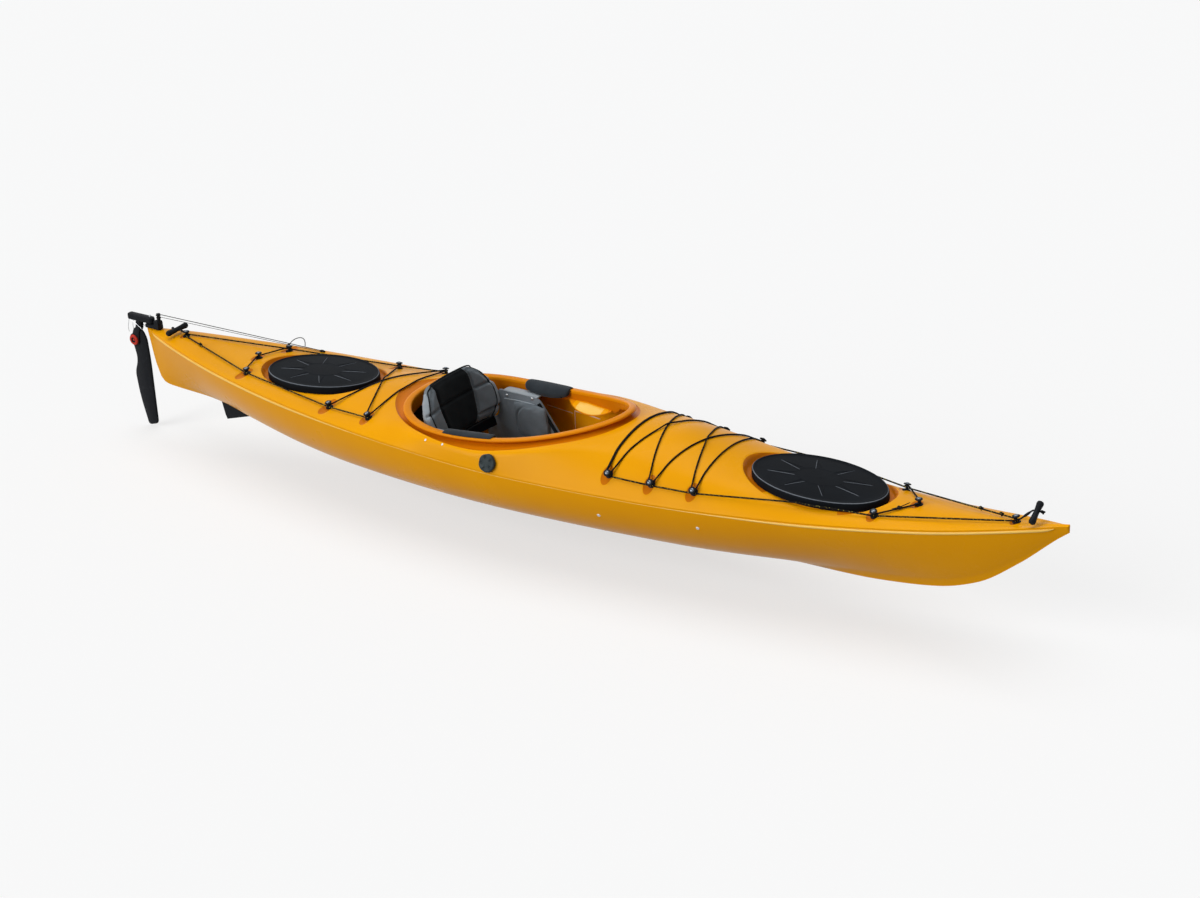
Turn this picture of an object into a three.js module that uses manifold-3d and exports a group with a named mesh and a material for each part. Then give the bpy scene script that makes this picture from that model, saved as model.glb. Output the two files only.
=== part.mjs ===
// Sea kayak: two moulded shells, two hatches, padded seat, deck lines, drop rudder and skeg.
// Millimetres. +X points to the bow, +Y to port, +Z up. The origin is on the keel amidships.
import * as THREE from "three";
import { mergeVertices } from "three/addons/utils/BufferGeometryUtils.js";
import Module from "manifold-3d";

const wasm = await Module();
wasm.setup();

// Driving sizes of the boat
const LENGTH = 3980;
const BEAM = 643;
const BOW_HEIGHT = 382;
const WALL = 5;
const KEEL_FLAT = 34;
const TIP_BREADTH = 18;

const BOW = new THREE.Vector3(1, 0, 0);
const PORT = new THREE.Vector3(0, 1, 0);
const UP = new THREE.Vector3(0, 0, 1);

// Shared clearances
const GAP = 0.3;
const OVERRUN = 14;
const MERGE = 0.001;

const HALF_LENGTH = LENGTH / 2;

// Materials
function finish(color, roughness, metalness = 0) {
  return new THREE.MeshStandardMaterial({ color, roughness, metalness });
}

const shellYellow = finish(0xe8a012, 0.28);
const blackPlastic = finish(0x15171b, 0.5);
const blackRubber = finish(0x1b1f25, 0.6);
const greyPlastic = finish(0x3c444b, 0.55);
const greyFabric = finish(0x4a545c, 0.9);
const blackCord = finish(0x1c1a16, 0.85);
const redPlastic = finish(0xb5342c, 0.45);
const steel = finish(0xb9bcc0, 0.3, 1);
const foam = finish(0x2b2d30, 0.95);

const kayak = new THREE.Group();

function place(name, shape, material) {
  const geometry = shape.isBufferGeometry ? shape : geometryOf(shape);
  const mesh = new THREE.Mesh(geometry, material);
  mesh.name = name;
  kayak.add(mesh);
  return mesh;
}

// Closed meshes and booleans

function signedVolume(points, faces) {
  let volume = 0;
  for (const [a, b, c] of faces) {
    const p = points[a];
    const q = points[b];
    const r = points[c];
    volume += p[0] * (q[1] * r[2] - q[2] * r[1]);
    volume -= p[1] * (q[0] * r[2] - q[2] * r[0]);
    volume += p[2] * (q[0] * r[1] - q[1] * r[0]);
  }
  return volume;
}

function closedMesh(points, faces) {
  const outward = signedVolume(points, faces) > 0 ? faces : faces.map(([a, b, c]) => [a, c, b]);
  const geometry = new THREE.BufferGeometry();
  geometry.setAttribute("position", new THREE.Float32BufferAttribute(points.flat(), 3));
  geometry.setIndex(outward.flat());
  return geometry;
}

function solidOf(geometry) {
  const bare = geometry.clone();
  bare.deleteAttribute("normal");
  bare.deleteAttribute("uv");
  const merged = mergeVertices(bare, MERGE);
  const index = merged.index.array;
  const kept = [];
  for (let i = 0; i < index.length; i += 3) {
    const [a, b, c] = [index[i], index[i + 1], index[i + 2]];
    if (a !== b && b !== c && c !== a) kept.push(a, b, c);
  }
  const vertProperties = new Float32Array(merged.attributes.position.array);
  return new wasm.Manifold(new wasm.Mesh({ numProp: 3, vertProperties, triVerts: new Uint32Array(kept) }));
}

function geometryOf(solid) {
  const mesh = solid.getMesh();
  const geometry = new THREE.BufferGeometry();
  geometry.setAttribute("position", new THREE.BufferAttribute(new Float32Array(mesh.vertProperties), 3));
  geometry.setIndex(new THREE.BufferAttribute(new Uint32Array(mesh.triVerts), 1));
  return geometry;
}

// A closed skin through rings of equal length, with a fan over each end
function loft(rings) {
  const count = rings[0].length;
  const points = rings.flat();
  const faces = [];
  for (let r = 0; r + 1 < rings.length; r++) {
    for (let k = 0; k < count; k++) {
      const a = r * count + k;
      const b = r * count + ((k + 1) % count);
      faces.push([a, b, b + count], [a, b + count, a + count]);
    }
  }
  for (const [ring, start, flip] of [[rings[0], 0, true], [rings.at(-1), points.length - count, false]]) {
    const centre = [0, 1, 2].map((axis) => ring.reduce((sum, p) => sum + p[axis], 0) / count);
    points.push(centre);
    const hub = points.length - 1;
    for (let k = 0; k < count; k++) {
      const a = start + k;
      const b = start + ((k + 1) % count);
      faces.push(flip ? [hub, b, a] : [hub, a, b]);
    }
  }
  return closedMesh(points, faces);
}

// Rings joined end to end, for a profile swept round a closed path
function hoop(rings) {
  const count = rings[0].length;
  const faces = [];
  for (let r = 0; r < rings.length; r++) {
    const next = (r + 1) % rings.length;
    for (let k = 0; k < count; k++) {
      const a = r * count + k;
      const b = r * count + ((k + 1) % count);
      const c = next * count + ((k + 1) % count);
      const d = next * count + k;
      faces.push([a, b, c], [a, c, d]);
    }
  }
  return closedMesh(rings.flat(), faces);
}

// A straight prism: an outline of [along, up] pairs drawn in the XZ plane, centred on y
function sidePrism(outline, y, thickness) {
  const ring = (offset) => outline.map(([x, z]) => [x, y + offset, z]);
  return loft([ring(-thickness / 2), ring(thickness / 2)]);
}

// A vertical prism over an outline of [x, y] pairs, between two heights
function upright(outline, low, high) {
  return loft([outline.map(([x, y]) => [x, y, low]), outline.map(([x, y]) => [x, y, high])]);
}

function block(x0, x1, y0, y1, z0, z1) {
  const geometry = new THREE.BoxGeometry(x1 - x0, y1 - y0, z1 - z0);
  return geometry.translate((x0 + x1) / 2, (y0 + y1) / 2, (z0 + z1) / 2);
}

// A turned solid on an axis through a point, from a profile of [radius, height] pairs
function turned(profile, sides, centre, axis) {
  const lathe = new THREE.LatheGeometry(profile.map(([r, h]) => new THREE.Vector2(r, h)), sides);
  const turn = new THREE.Quaternion().setFromUnitVectors(PORT, axis);
  return lathe.applyQuaternion(turn).translate(centre.x, centre.y, centre.z);
}

function rod(radius, length, sides, centre, axis) {
  const profile = [[0, -length / 2], [radius, -length / 2], [radius, length / 2], [0, length / 2]];
  return turned(profile, sides, centre, axis);
}

// A cord through a list of points, its rings carried along without twist
function cord(points, radius, sides = 6) {
  const rings = [];
  let side = new THREE.Vector3();
  points.forEach((point, i) => {
    const before = points[Math.max(i - 1, 0)];
    const after = points[Math.min(i + 1, points.length - 1)];
    const along = after.clone().sub(before).normalize();
    if (i === 0) side.set(0, 0, 1);
    side.addScaledVector(along, -side.dot(along)).normalize();
    const up = new THREE.Vector3().crossVectors(along, side);
    const ring = [];
    for (let k = 0; k < sides; k++) {
      const angle = (2 * Math.PI * k) / sides;
      const spoke = side.clone().multiplyScalar(Math.cos(angle)).addScaledVector(up, Math.sin(angle));
      ring.push(point.clone().addScaledVector(spoke, radius).toArray());
    }
    rings.push(ring);
  });
  return loft(rings);
}

// A smooth line through hand-chosen [position, value] rows that never overshoots them
function follow(rows, at, column = 1) {
  const last = rows.length - 1;
  if (at <= rows[0][0]) return rows[0][column];
  if (at >= rows[last][0]) return rows[last][column];
  let i = 0;
  while (rows[i + 1][0] < at) i++;
  const slope = (j) => (rows[j + 1][column] - rows[j][column]) / (rows[j + 1][0] - rows[j][0]);
  const tangent = (j) => {
    if (j === 0) return slope(0);
    if (j === last) return slope(last - 1);
    const [m, n] = [slope(j - 1), slope(j)];
    return m * n <= 0 ? 0 : (2 * m * n) / (m + n);
  };
  const span = rows[i + 1][0] - rows[i][0];
  const t = (at - rows[i][0]) / span;
  const rise = (2 * t - 3) * t * t;
  return (
    rows[i][column] * (1 + rise) +
    rows[i + 1][column] * -rise +
    tangent(i) * span * t * (t - 1) * (t - 1) +
    tangent(i + 1) * span * t * t * (t - 1)
  );
}

// Lines of the boat. Stations are shares of the half length, heights are shares of BOW_HEIGHT.

const WIDEST_SHARE = -0.059;
const foreBreadthPowers = { along: 1.516, across: 0.855 };
const aftBreadthPowers = { along: 1.963, across: 0.867 };

const stationShares = [
  -1, -0.993, -0.984, -0.974, -0.955, -0.905, -0.85, -0.78, -0.7, -0.62, -0.54, -0.47, -0.41, -0.352,
  -0.3, -0.251, -0.2, -0.15, -0.075, 0, 0.05, 0.1, 0.15, 0.19, 0.226, 0.276, 0.327, 0.377, 0.427,
  0.49, 0.549, 0.62, 0.682, 0.734, 0.8, 0.86, 0.91, 0.955, 0.985, 1,
];

const sheerHeightShares = [
  [-1, 0.811], [-0.75, 0.732], [-0.5, 0.679], [-0.25, 0.6425], [0, 0.624],
  [0.25, 0.63], [0.5, 0.677], [0.75, 0.785], [1, 0.985],
];

const keelHeightShares = [
  [-1, 0.76], [-0.993, 0.497], [-0.984, 0.315], [-0.974, 0.238], [-0.955, 0.213], [-0.85, 0.196],
  [-0.78, 0.149], [-0.7, 0.089], [-0.54, 0.025], [-0.41, 0], [0.3, 0], [0.5, 0.042], [0.628, 0.058],
  [0.7, 0.089], [0.774, 0.147], [0.844, 0.275], [0.915, 0.54], [0.983, 0.856], [1, 0.925],
];

// Powers of the section's curve: the first column fills the bilge, the second the floor
const sectionPowerShares = [
  [-1, 1.2, 1.15], [-0.754, 1.62, 1.52], [-0.5, 2.3, 1.96], [-0.2, 2.55, 2.15], [0.1, 2.31, 2.05],
  [0.4, 1.9, 1.65], [0.653, 1.05, 1.5], [0.955, 1.15, 1.2],
];

// Deck section: knuckle breadth as a share of the sheer's, then knuckle and crown heights
const deckSectionShares = [
  [-1, 0.5, 0.8147, 0.8194], [-0.905, 0.66, 0.8037, 0.8141], [-0.7, 0.735, 0.7356, 0.7618],
  [-0.54, 0.71, 0.7225, 0.7644], [-0.44, 0.73, 0.712, 0.8115], [-0.352, 0.75, 0.733, 0.8429],
  [-0.251, 0.8, 0.78, 0.8377], [-0.176, 0.92, 0.7853, 0.8168], [-0.075, 0.95, 0.7853, 0.8115],
  [0, 0.906, 0.8325, 0.8586], [0.05, 0.838, 0.8796, 0.911], [0.1, 0.736, 0.924, 0.9686],
  [0.15, 0.655, 0.945, 1.0157], [0.226, 0.61, 0.945, 1.0524], [0.276, 0.638, 0.9215, 1.0524],
  [0.327, 0.66, 0.898, 1.0157], [0.377, 0.668, 0.8796, 0.9686], [0.427, 0.66, 0.8639, 0.9215],
  [0.549, 0.73, 0.8063, 0.8429], [0.682, 0.557, 0.8325, 0.8586], [0.734, 0.49, 0.8377, 0.8586],
  [0.804, 0.48, 0.8534, 0.8743], [0.9085, 0.45, 0.9045, 0.911], [1, 0.4, 0.9935, 1],
];

function sheerBreadth(x) {
  const share = x / HALF_LENGTH;
  const fore = share >= WIDEST_SHARE;
  const powers = fore ? foreBreadthPowers : aftBreadthPowers;
  const end = fore ? 1 - WIDEST_SHARE : 1 + WIDEST_SHARE;
  const t = Math.min(Math.abs(share - WIDEST_SHARE) / end, 1);
  const breadth = (BEAM / 2) * (1 - t ** powers.along) ** powers.across;
  return Math.max(breadth, TIP_BREADTH / 2);
}

const sheerHeight = (x) => BOW_HEIGHT * follow(sheerHeightShares, x / HALF_LENGTH);
const keelHeight = (x) => BOW_HEIGHT * follow(keelHeightShares, x / HALF_LENGTH);

// Half of a hull section from the flat of the keel up to the sheer, as [y, z], pulled in by an inset
const HULL_STEPS = 9;
const KEEL_FLAT_SHARE = 0.09;

function hullHalf(x, inset) {
  const breadth = sheerBreadth(x);
  const [top, low] = [sheerHeight(x), keelHeight(x) + inset];
  const bilge = follow(sectionPowerShares, x / HALF_LENGTH, 1);
  const floor = follow(sectionPowerShares, x / HALF_LENGTH, 2);
  const half = [[Math.min(KEEL_FLAT / 2, breadth * KEEL_FLAT_SHARE), low]];
  for (let k = 1; k <= HULL_STEPS; k++) {
    const share = Math.sin((Math.PI / 2) * (k / HULL_STEPS));
    const drop = (1 - share ** bilge) ** (1 / floor);
    half.push([share * (breadth - inset), top - (top - low) * drop]);
  }
  return half;
}

function hullRing(x, inset, lift) {
  const half = hullHalf(x, inset);
  if (lift > 0) half.push([half.at(-1)[0], sheerHeight(x) + lift]);
  const port = half.map(([y, z]) => [x, y, z]);
  const starboard = half.map(([y, z]) => [x, -y, z]).reverse();
  return [...starboard, ...port];
}

function deckSection(x) {
  const share = x / HALF_LENGTH;
  const breadth = sheerBreadth(x);
  return {
    breadth,
    sheer: sheerHeight(x),
    knuckle: breadth * follow(deckSectionShares, share, 1),
    shoulder: BOW_HEIGHT * follow(deckSectionShares, share, 2),
    crown: BOW_HEIGHT * follow(deckSectionShares, share, 3),
  };
}

const crownStepShares = [1, 0.75, 0.45, 0];
const SIDE_BULGE_SHARE = 0.04;

function deckRing(x, inset, drop) {
  const s = deckSection(x);
  const narrow = (s.breadth - inset) / s.breadth;
  const bulge = SIDE_BULGE_SHARE * (s.breadth - s.knuckle);
  const half = [[s.breadth, s.sheer - drop], [s.breadth, s.sheer]];
  if (drop <= 0) half.shift();
  half.push([(s.breadth + s.knuckle) / 2 + bulge, (s.sheer + s.shoulder) / 2 + bulge - inset / 2]);
  for (const step of crownStepShares) {
    const height = s.shoulder + (s.crown - s.shoulder) * (1 - step * step);
    half.push([s.knuckle * step, height - inset]);
  }
  const port = half.map(([y, z]) => [x, y * narrow, z]);
  const starboard = half.slice(0, -1).map(([y, z]) => [x, -y * narrow, z]).reverse();
  return [...port, ...starboard];
}

const stations = stationShares.map((share) => share * HALF_LENGTH);
const HOLLOW_END_SHARE = 0.93;
const hollowStations = stations.filter((x) => Math.abs(x) < HOLLOW_END_SHARE * HALF_LENGTH);

const hullBody = () => solidOf(loft(stations.map((x) => hullRing(x, 0, 0))));
const hullHollow = (inset, lift) => solidOf(loft(hollowStations.map((x) => hullRing(x, inset, lift))));
const raise = (geometry, height) => geometry.translate(0, 0, height);
const deckBody = () => solidOf(raise(loft(stations.map((x) => deckRing(x, 0, 0))), GAP));
const deckHollow = (inset, drop) => {
  const rings = hollowStations.map((x) => deckRing(x, inset, drop));
  return solidOf(raise(loft(rings), GAP));
};

// Hatches: an oval pocket in the deck, a rim, and a cover that snaps over it

const OVAL_STEPS = 28;

function oval(length, breadth, grow = 0) {
  const outline = [];
  for (let k = 0; k < OVAL_STEPS; k++) {
    const angle = (2 * Math.PI * k) / OVAL_STEPS;
    outline.push([(length / 2 + grow) * Math.cos(angle), (breadth / 2 + grow) * Math.sin(angle)]);
  }
  return outline;
}

const HATCH_LENGTH = 496;
const HATCH_BREADTH = 306;
const COVER_DEPTH = 30;
const COVER_TOP = 7;
const COVER_SKIRT = 10;
const COVER_CROWN = 3;
const COVER_LIFT = 1;
const RIM_WALL = 6;
const RIM_FIT = 0.6;
const POCKET_MARGIN = 20;
const POCKET_FLARE = 16;

const hatches = [
  { name: "front_hatch_cover", share: 0.549, topShare: 0.895, slope: -0.05 },
  { name: "rear_hatch_cover", share: -0.539, topShare: 0.799, slope: 0.046 },
].map((hatch) => ({ ...hatch, x: hatch.share * HALF_LENGTH, top: hatch.topShare * BOW_HEIGHT }));

// An oval stack in a hatch's own tilted plane: rows of [grow, height below the cover's top]
function ovalStack(hatch, rows) {
  const ring = ([grow, depth]) =>
    oval(HATCH_LENGTH, HATCH_BREADTH, grow).map(([x, y]) => [
      hatch.x + x,
      y,
      hatch.top + hatch.slope * x - depth,
    ]);
  return loft(rows.map(ring));
}

const FLOOR_DEPTH = COVER_DEPTH + COVER_LIFT;

function pocket(hatch, grow) {
  return solidOf(
    ovalStack(hatch, [
      [POCKET_MARGIN + grow, FLOOR_DEPTH + grow],
      [POCKET_MARGIN + POCKET_FLARE + grow, -COVER_DEPTH],
    ]),
  );
}

const rimOuter = -COVER_SKIRT - RIM_FIT;
const rimInner = rimOuter - RIM_WALL;
const rimTop = COVER_TOP + GAP;

function rim(hatch) {
  return solidOf(ovalStack(hatch, [[rimOuter, FLOOR_DEPTH + WALL], [rimOuter, rimTop]]));
}

function hatchHole(hatch) {
  return solidOf(ovalStack(hatch, [[rimInner, FLOOR_DEPTH + WALL + OVERRUN], [rimInner, rimTop - OVERRUN]]));
}

function hatchCover(hatch) {
  const outer = ovalStack(hatch, [
    [0, COVER_DEPTH],
    [0, COVER_CROWN * 2],
    [-COVER_CROWN * 2, 0],
    [-HATCH_BREADTH / 4, -COVER_CROWN],
  ]);
  const inner = ovalStack(hatch, [[-COVER_SKIRT, COVER_DEPTH + OVERRUN], [-COVER_SKIRT, COVER_TOP]]);
  return solidOf(outer).subtract(solidOf(inner));
}

// Cockpit coaming: an egg-shaped lip that rises to the bow, on a neck that hangs inside

const COAMING_LENGTH = 906;
const COAMING_BREADTH = 495;
const COAMING_CENTRE_SHARE = -0.0648;
const COAMING_SIDE_HEIGHT_SHARE = 0.854;
const COAMING_RISE = 42;
const COAMING_DISH = 51;
const COAMING_POWER = 2.27;
const COAMING_EGG = 0.275;
const COAMING_STEPS = 44;
const LIP_BREADTH = 27;
const LIP_DEPTH = 10;
const LIP_ROUND = 4;
const NECK_WALL = 6;
const NECK_DEPTH = 56;

const coamingCentre = COAMING_CENTRE_SHARE * HALF_LENGTH;
// Stations beside the cockpit are shares of the coaming's length, from its centre
const besideCoaming = (share) => coamingCentre + share * COAMING_LENGTH;

// A point on the lip's middle line: place in plan and height
function coamingPoint(angle, grow = 0) {
  const [c, s] = [Math.cos(angle), Math.sin(angle)];
  const power = 2 / COAMING_POWER;
  const along = Math.sign(c) * Math.abs(c) ** power;
  const across = Math.sign(s) * Math.abs(s) ** power * (1 - COAMING_EGG * c);
  const height = COAMING_SIDE_HEIGHT_SHARE * BOW_HEIGHT + COAMING_RISE * along + COAMING_DISH * along * along;
  return [coamingCentre + (COAMING_LENGTH / 2 + grow) * along, (COAMING_BREADTH / 2 + grow) * across, height];
}

const coamingAngles = Array.from({ length: COAMING_STEPS }, (_, k) => (2 * Math.PI * k) / COAMING_STEPS);

function coamingRing() {
  const [inner, outer] = [-LIP_BREADTH / 2, LIP_BREADTH / 2];
  const profile = [
    [inner, -LIP_ROUND], [inner + LIP_ROUND, 0], [outer - LIP_ROUND, 0], [outer, -LIP_ROUND],
    [outer, -LIP_DEPTH], [inner + NECK_WALL, -LIP_DEPTH - LIP_ROUND], [inner + NECK_WALL, -NECK_DEPTH],
    [inner, -NECK_DEPTH],
  ];
  const rings = coamingAngles.map((angle) =>
    profile.map(([grow, rise]) => {
      const [x, y, z] = coamingPoint(angle, grow);
      return [x, y, z + rise];
    }),
  );
  return solidOf(hoop(rings));
}

function cockpitHole() {
  const outline = coamingAngles.map((angle) => coamingPoint(angle, -LIP_BREADTH / 2 + NECK_WALL / 2));
  return solidOf(upright(outline, sheerHeight(0), BOW_HEIGHT + BOW_HEIGHT / 2));
}

// Half breadth and height of the coaming's port side at a station, on a line grown from its middle
function coamingAt(x, grow) {
  const line = coamingAngles.slice(0, COAMING_STEPS / 2 + 1).map((angle) => coamingPoint(angle, grow));
  const k = line.findIndex(([px]) => px <= x);
  const [[x0, y0, z0], [x1, y1, z1]] = [line[k - 1], line[k]];
  const share = (x - x0) / (x1 - x0);
  return [y0 + (y1 - y0) * share, z0 + (z1 - z0) * share];
}

const neckBreadth = (x) => coamingAt(x, -LIP_BREADTH / 2)[0];
const neckFoot = (x) => coamingAt(x, -LIP_BREADTH / 2)[1] - NECK_DEPTH;

// Thigh braces: wings of the deck moulding that turn inward and down at the front of the cockpit
const BRACE_FORE_SHARE = 0.274;
const BRACE_AFT_SHARE = 0.0326;
const BRACE_REACH = 46;
const BRACE_DROP = 16;
const BRACE_WALL = 5;
const BRACE_STEPS = 8;
const BRACE_FULL_POWER = 0.6;

function thighBrace(side) {
  const rings = [];
  for (let k = 0; k <= BRACE_STEPS; k++) {
    const t = k / BRACE_STEPS;
    const x = besideCoaming(BRACE_AFT_SHARE + (BRACE_FORE_SHARE - BRACE_AFT_SHARE) * t);
    const root = neckBreadth(x) + NECK_WALL / 2;
    const swell = Math.sin(Math.PI * t) ** BRACE_FULL_POWER;
    const reach = NECK_WALL + BRACE_REACH * swell;
    const high = neckFoot(x) + BRACE_WALL;
    const tip = high - BRACE_DROP * swell;
    rings.push([
      [x, side * root, high],
      [x, side * (root - reach / 2), (high + tip) / 2 + BRACE_WALL * swell],
      [x, side * (root - reach), tip],
      [x, side * (root - reach), tip - BRACE_WALL],
      [x, side * (root - reach / 2), (high + tip) / 2 - BRACE_WALL * (1 - swell)],
      [x, side * root, high - BRACE_WALL],
    ]);
  }
  return solidOf(loft(rings));
}

// Skeg: a fin on a pivot in a trunk over a slot in the keel

const SKEG_PIVOT_SHARE = -0.681;
const SKEG_PIVOT_HEIGHT = 92;
const SKEG_LENGTH = 284;
const SKEG_THICKNESS = 6;
const SKEG_PIN_RADIUS = 4;
const SKEG_SLOT = 12;
const SKEG_TRUNK_WALL = 3;
const SKEG_TRUNK_TOP = 226;
const SKEG_RUNNING = 0.4;
const skegPivot = new THREE.Vector3(SKEG_PIVOT_SHARE * HALF_LENGTH, 0, SKEG_PIVOT_HEIGHT);

// Fin outline from the pivot, as shares of the fin's length: [aft, up]
const skegOutlineShares = [
  [-0.07, 0.03], [-0.065, -0.068], [0.3, -0.175], [0.903, -0.355], [0.93, -0.29], [1, 0.03], [0.9, 0.075],
  [0.06, 0.085], [-0.03, 0.08],
];

const slotEnds = [skegPivot.x - SKEG_LENGTH - SKEG_PIN_RADIUS * 3, skegPivot.x + SKEG_LENGTH / 10];

function skegSlot(height) {
  const half = SKEG_SLOT / 2;
  return solidOf(block(slotEnds[0], slotEnds[1], -half, half, -BOW_HEIGHT / 2, height));
}

// Knob on the starboard side that drives the skeg cable
const KNOB_X_SHARE = -0.0286;
const KNOB_HEIGHT_SHARE = 0.7094;
const KNOB_RADIUS = 33;
const KNOB_DEPTH = 15;
const KNOB_LOBES = 5;
const KNOB_SCALLOP = 3;
const KNOB_STEPS = 30;
const KNOB_FOOT = 1.4;
const SHAFT_RADIUS = 6;
const SHAFT_RUNNING = 0.4;
const DRUM_RADIUS = 16;
const DRUM_DEPTH = 8;

// The two shells

const pockets = hatches.map((hatch) => pocket(hatch, 0));
const pocketWalls = hatches.map((hatch) => pocket(hatch, WALL));

function buildHull() {
  return hullBody().subtract(hullHollow(WALL, OVERRUN)).subtract(skegSlot(SKEG_TRUNK_TOP));
}

function deckSurface() {
  return pockets.reduce((solid, cut) => solid.subtract(cut), deckBody());
}

// Points on the deck come from rays dropped on its own faces, so fittings seat on real facets
const deckProbe = new THREE.Mesh(geometryOf(deckSurface().add(hullBody()).add(coamingRing())));
deckProbe.material.side = THREE.DoubleSide;
const ray = new THREE.Raycaster();
const DOWN = new THREE.Vector3(0, 0, -1);
const SKY = BOW_HEIGHT * 2;

function deckPoint(x, y) {
  ray.set(new THREE.Vector3(x, y, SKY), DOWN);
  return ray.intersectObject(deckProbe)[0];
}

// The outside of the starboard side panel at a height, seen level from abeam
function sidePoint(x, z) {
  ray.set(new THREE.Vector3(x, -BEAM, z), PORT);
  return ray.intersectObject(deckProbe)[0];
}

const knobSeat = sidePoint(KNOB_X_SHARE * HALF_LENGTH, KNOB_HEIGHT_SHARE * BOW_HEIGHT);
const knobAxis = knobSeat.face.normal.clone();
const knobAt = (depth) => knobSeat.point.clone().addScaledVector(knobAxis, depth);

function buildDeck() {
  let hollow = deckHollow(WALL, OVERRUN);
  for (const wall of pocketWalls) hollow = hollow.subtract(wall);
  let deck = deckSurface().subtract(hollow).subtract(cockpitHole()).add(coamingRing());
  deck = deck.add(thighBrace(1)).add(thighBrace(-1));
  for (const hatch of hatches) deck = deck.add(rim(hatch)).subtract(hatchHole(hatch));
  const bore = rod(SHAFT_RADIUS + SHAFT_RUNNING, WALL * 6, 12, knobSeat.point, knobAxis);
  return deck.subtract(solidOf(bore));
}

const hullShell = buildHull();
const deckShell = buildDeck();
place("hull_shell", hullShell, shellYellow);
place("deck_shell", deckShell, shellYellow);
for (const hatch of hatches) place(hatch.name, hatchCover(hatch), blackRubber);

// What fits inside the shells is trimmed to this hollow
const cabin = hullHollow(WALL + GAP, GAP).add(deckHollow(WALL + GAP, GAP));

// Skeg pieces
function skegBox() {
  const half = SKEG_SLOT / 2 + SKEG_TRUNK_WALL;
  const [aft, fore] = slotEnds;
  const box = block(aft - SKEG_TRUNK_WALL, fore + SKEG_TRUNK_WALL, -half, half, 0, SKEG_TRUNK_TOP);
  const pinHole = rod(SKEG_PIN_RADIUS + SKEG_RUNNING, SKEG_SLOT * 4, 10, skegPivot, PORT);
  const inside = skegSlot(SKEG_TRUNK_TOP - SKEG_TRUNK_WALL);
  return solidOf(box).intersect(cabin).subtract(inside).subtract(solidOf(pinHole));
}

function skegBlade() {
  const outline = skegOutlineShares.map(([aft, up]) => [
    skegPivot.x - aft * SKEG_LENGTH,
    skegPivot.z + up * SKEG_LENGTH,
  ]);
  const hole = rod(SKEG_PIN_RADIUS + SKEG_RUNNING, SKEG_SLOT * 2, 10, skegPivot, PORT);
  return solidOf(sidePrism(outline, 0, SKEG_THICKNESS)).subtract(solidOf(hole));
}

const skegPinLength = SKEG_SLOT + SKEG_TRUNK_WALL * 2;
place("skeg_box", skegBox(), blackPlastic);
place("skeg_blade", skegBlade(), blackPlastic);
place("skeg_pin", rod(SKEG_PIN_RADIUS, skegPinLength, 10, skegPivot, PORT), steel);

function skegKnob() {
  const outline = [];
  for (let k = 0; k < KNOB_STEPS; k++) {
    const angle = (2 * Math.PI * k) / KNOB_STEPS;
    const radius = KNOB_RADIUS - KNOB_SCALLOP + KNOB_SCALLOP * Math.cos(KNOB_LOBES * angle);
    outline.push([radius * Math.cos(angle), radius * Math.sin(angle)]);
  }
  const ring = (scale, z) => outline.map(([x, y]) => [x * scale, y * scale, z]);
  const rounded = 1 - KNOB_SCALLOP / KNOB_RADIUS;
  const rings = [ring(1, KNOB_FOOT), ring(1, KNOB_DEPTH - KNOB_SCALLOP), ring(rounded, KNOB_DEPTH)];
  const turn = new THREE.Quaternion().setFromUnitVectors(UP, knobAxis);
  const cap = loft(rings).applyQuaternion(turn).translate(...knobSeat.point.toArray());
  const back = WALL + GAP + DRUM_DEPTH;
  const shaft = rod(SHAFT_RADIUS, back + KNOB_DEPTH / 2, 12, knobAt(KNOB_DEPTH / 4 - back / 2), knobAxis);
  const drum = rod(DRUM_RADIUS, DRUM_DEPTH, 14, knobAt(-back + DRUM_DEPTH / 2 - GAP), knobAxis);
  return solidOf(cap).add(solidOf(shaft)).add(solidOf(drum));
}

place("skeg_knob", skegKnob(), blackPlastic);

// The cable runs from beside the drum, under the side deck, to the top of the skeg box
const CABLE_RADIUS = 3;
const CABLE_HOLE = 1;
const cableStart = knobAt(-WALL - DRUM_DEPTH - GAP * 3 - CABLE_RADIUS);
// Places along the cable: shares of the half length, of the half breadth and of the bow's height
const cableShares = [
  [-0.1508, -0.815, 0.686], [-0.2814, -0.7216, 0.67], [-0.402, -0.591, 0.66], [-0.5276, -0.591, 0.644],
  [-0.6281, -0.367, 0.628], [-0.6935, -0.1058, 0.6126],
];
const atShares = ([x, y, z]) => new THREE.Vector3(x * HALF_LENGTH, (y * BEAM) / 2, z * BOW_HEIGHT);
const cableEnd = new THREE.Vector3(skegPivot.x - SKEG_LENGTH / 4, 0, SKEG_TRUNK_TOP + GAP + CABLE_RADIUS);
const cableRoute = [cableStart, ...cableShares.map(atShares), cableEnd];
place("skeg_cable", cord(cableRoute, CABLE_RADIUS), blackPlastic);

// Bulkheads seal the hatch compartments off from the cockpit
const BULKHEAD_THICKNESS = 18;
const bulkheads = [{ name: "fore_bulkhead", share: 0.404 }, { name: "aft_bulkhead", share: -0.336 }];

for (const { name, share } of bulkheads) {
  const x = share * HALF_LENGTH;
  const slab = block(x, x + BULKHEAD_THICKNESS, -BEAM, BEAM, -BOW_HEIGHT, SKY);
  let plate = solidOf(slab).intersect(cabin);
  for (const wall of pocketWalls) plate = plate.subtract(wall);
  plate = plate.subtract(solidOf(cord(cableRoute, CABLE_RADIUS + CABLE_HOLE, 8)));
  place(name, plate, foam);
}

// Padded pieces: a grid with a crowned face, drawn-in edges and sewn channels

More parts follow.
